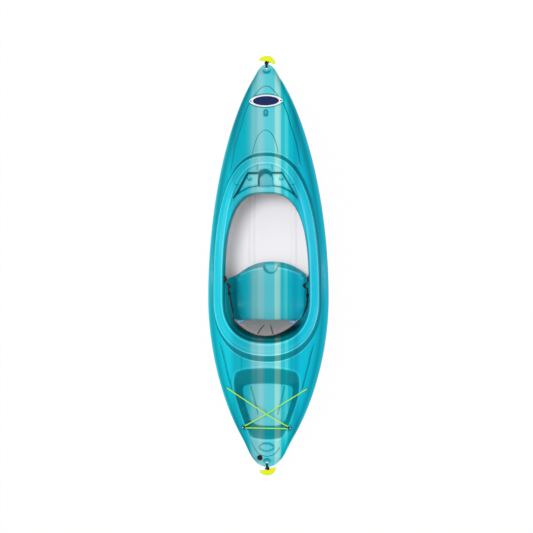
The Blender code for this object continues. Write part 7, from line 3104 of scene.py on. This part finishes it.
@dataclass
class DrainPlug(SubAssembly):
    """Drain seat, gasket and plug."""

    flange: float = 0.016
    flange_rise: float = 0.002
    sleeve: float = 0.010
    sleeve_depth: float = 0.014
    bore: float = 0.0075
    washer_rise: float = 0.0015
    cap: float = 0.0115
    cap_rise: float = 0.006
    plug_play: float = 0.0005
    plug_depth: float = 0.010
    slot: Pair = (0.003, 0.006)

    def build(self) -> None:
        """The three pieces, from the deck upward."""
        form = self.form
        place = Matrix.Translation((*form.drain, form.boss_height(form.drain) + GAP))
        low = self.flange_rise + GAP
        high = low + self.washer_rise
        self.build_seat(place)
        self.build_washer(place, low, high)
        self.build_plug(place, high + GAP)

    def build_seat(self, place: Matrix) -> None:
        """Flanged seat that lines the deck's hole.

        Args:
            place: Placement of the deck's hole.
        """
        bore, flange, sleeve = self.bore, self.flange, self.sleeve
        top, bottom = self.flange_rise, -self.sleeve_depth
        profile = [(bore, bottom), (bore, top - 0.0004), (bore + 0.0004, top), (flange - 0.001, top),
                   (flange - 0.0003, top - 0.0003), (flange, top - 0.001), (flange, 0.0),
                   (sleeve, 0.0), (sleeve, bottom), (bore, bottom)]
        self.black_moulding(spun("seat", profile, place, 48), "drain_collar", "drain_seat")

    def build_washer(self, place: Matrix, low: float, high: float) -> None:
        """Rubber washer between the two heights.

        Args:
            place: Placement of the deck's hole.
            low: Height of its underside.
            high: Height of its top.
        """
        outer, inner = self.cap - 0.0006, self.bore + 0.0002
        turn = np.linspace(0, 2 * math.pi, 17)
        half, rise = (outer - inner) / 2, (high - low) / 2
        profile = [(inner + half + half * math.cos(a), low + rise + rise * math.sin(a)) for a in turn]
        washer = smooth(spun("washer", profile, place, 48), 60)
        self.finish(washer, "drain_washer", Body.PLUG, "rubber_black", ["rubber"], ["drain_gasket"])

    def build_plug(self, place: Matrix, base: float) -> None:
        """Threaded plug with a slotted head whose underside is at the base height.

        Args:
            place: Placement of the deck's hole.
            base: Height of its head's underside.
        """
        rim, shank = self.cap, self.bore - self.plug_play
        head, bottom = base + self.cap_rise, -self.plug_depth
        profile = [
            (0.0, head - 0.0004), (rim - 0.0028, head - 0.0004), (rim - 0.0022, head), (rim - 0.0009, head),
            (rim - 0.0002, head - 0.0005), (rim, head - 0.0014), (rim, base), (shank, base), (shank, 0.0004),
        ]
        profile += [(shank - 0.0005 * (k % 2), -0.0010 * k) for k in range(9)]
        profile += [(shank - 0.001, bottom), (0.0, bottom)]
        plug = spun("plug", profile, place, 48)
        cut(plug, block("slot", (2 * rim + 0.002, *self.slot), place @ shift(0, 0, head)))
        self.black_moulding(plug, "drain_screw_plug", "drain_plug", Body.PLUG)


# Studio


@dataclass
class Studio:
    """Pale floor, soft light from above, and the camera over the boat."""

    distance: float = 7.6
    lean: float = math.radians(8.5)
    view_width: float = 3.2140
    target: Triple = (0.0042, -0.0042, 0.30)
    sensor: float = 36.0
    # Light from the surroundings, and the sun's strength, angle and turn about X and Y
    ambient: float = 0.70
    sun: float = 1.55
    sun_angle: float = math.radians(20)
    sun_turn: Pair = (math.radians(-4), math.radians(-5.8))
    # Strips at the sides: size, power, and (x, z)
    strip_size: Pair = (0.12, 4.6)
    strip_power: float = 60.0
    strip_at: Pair = (2.0, 2.3)
    floor_size: float = 60.0
    floor_grey: float = 0.80
    floor_glow: float = 0.97

    def build(self) -> None:
        """Everything that isn't the boat."""
        self.build_floor()
        self.build_world()
        self.build_lights()
        self.build_camera()
        bpy.context.scene.view_settings.view_transform = "Standard"

    def seen(self, graph: Graph) -> Socket:
        """1 for rays that show the background: from the camera, a mirror or glass.

        Args:
            graph: Graph of the material or the surroundings.

        Returns:
            Socket of the value.
        """
        path = graph.add("LightPath")
        either = graph.sum("MAXIMUM", path.outputs["Is Camera Ray"], path.outputs["Is Glossy Ray"])
        return graph.sum("MAXIMUM", either, path.outputs["Is Transmission Ray"])

    def build_floor(self) -> None:
        """White floor that keeps a faint shadow of the boat."""
        deselect()
        bpy.ops.mesh.primitive_plane_add(size=self.floor_size)
        floor = bpy.context.object
        floor.name = "studio_floor"
        material = bpy.data.materials.new("studio_floor")
        material.use_nodes = True
        graph = Graph(material.node_tree)
        shader = material.node_tree.nodes["Principled BSDF"]
        shader.inputs["Base Color"].default_value = (*[self.floor_grey] * 3, 1.0)
        shader.inputs["Roughness"].default_value = 1.0
        shader.inputs["Specular IOR Level"].default_value = 0.0
        glow = graph.add("Emission", {"Color": (1, 1, 1, 1), "Strength": 1.0})
        share = graph.times(self.seen(graph), self.floor_glow)
        blend = graph.add("MixShader", {0: share, 1: shader.outputs[0], 2: glow.outputs[0]})
        graph.put(blend.outputs[0], material.node_tree.nodes["Material Output"].inputs["Surface"])
        floor.data.materials.append(material)

    def build_world(self) -> None:
        """White surroundings for the camera and for gloss, dimmer as a light."""
        world = bpy.data.worlds.new("studio")
        world.use_nodes = True
        graph = Graph(world.node_tree)
        level = graph.add("MapRange", {"Value": self.seen(graph), "To Min": self.ambient, "To Max": 1.0})
        back = world.node_tree.nodes["Background"]
        back.inputs["Color"].default_value = (1.0, 1.0, 1.0, 1.0)
        graph.put(level.outputs[0], back.inputs["Strength"])
        bpy.context.scene.world = world

    def build_lights(self) -> None:
        """Broad light overhead, and a long strip on each side for the highlights along the edges."""
        sun = bpy.data.lights.new("overhead", "SUN")
        sun.energy = self.sun
        sun.angle = self.sun_angle
        overhead = new_object("overhead", sun)
        overhead.rotation_euler = (*self.sun_turn, 0.0)
        overhead.visible_glossy = False
        x, z = self.strip_at
        for side in Side:
            strip = bpy.data.lights.new(f"strip_{side.label}", "AREA")
            strip.shape = "RECTANGLE"
            strip.size, strip.size_y = self.strip_size
            strip.energy = self.strip_power
            lamp = new_object(f"strip_{side.label}", strip)
            lamp.matrix_world = facing((side.value * x, 0.0, z), (side.value * x, 0.0, z - 0.2))
            lamp.visible_diffuse = False

    def build_camera(self) -> None:
        """Long lens straight above, leaning to starboard."""
        data = bpy.data.cameras.new("camera")
        data.sensor_width = self.sensor
        data.lens = data.sensor_width * self.distance / self.view_width
        data.clip_end = 200.0
        camera = new_object("camera", data)
        sideways, upward = math.sin(self.lean), math.cos(self.lean)
        right, back = Vector((upward, 0, -sideways)), Vector((sideways, 0, upward))
        place = Vector(self.target) + back * self.distance
        camera.matrix_world = frame_of(right, Vector((0, 1, 0)), back, place)
        bpy.context.scene.camera = camera


def main() -> None:
    """Builds every sub-assembly in order."""
    logging.basicConfig(level=logging.INFO, format="%(message)s")
    deselect()
    form, palette = KayakForm(), Palette()
    Studio().build()
    DeckShell(form, palette).build()
    HullShell(form, palette).build()
    Flotation(form, palette).build()
    backrest = Backrest(form, palette)
    backrest.build()
    SideStraps(form, palette, backrest).build()
    Brackets(form, palette).build()
    TankWellCord(form, palette).build()
    CarryHandles(form, palette).build()
    DrainPlug(form, palette).build()
    Fasteners(form, palette).build()
    bpy.context.view_layer.update()


if __name__ == "__main__":
    main()
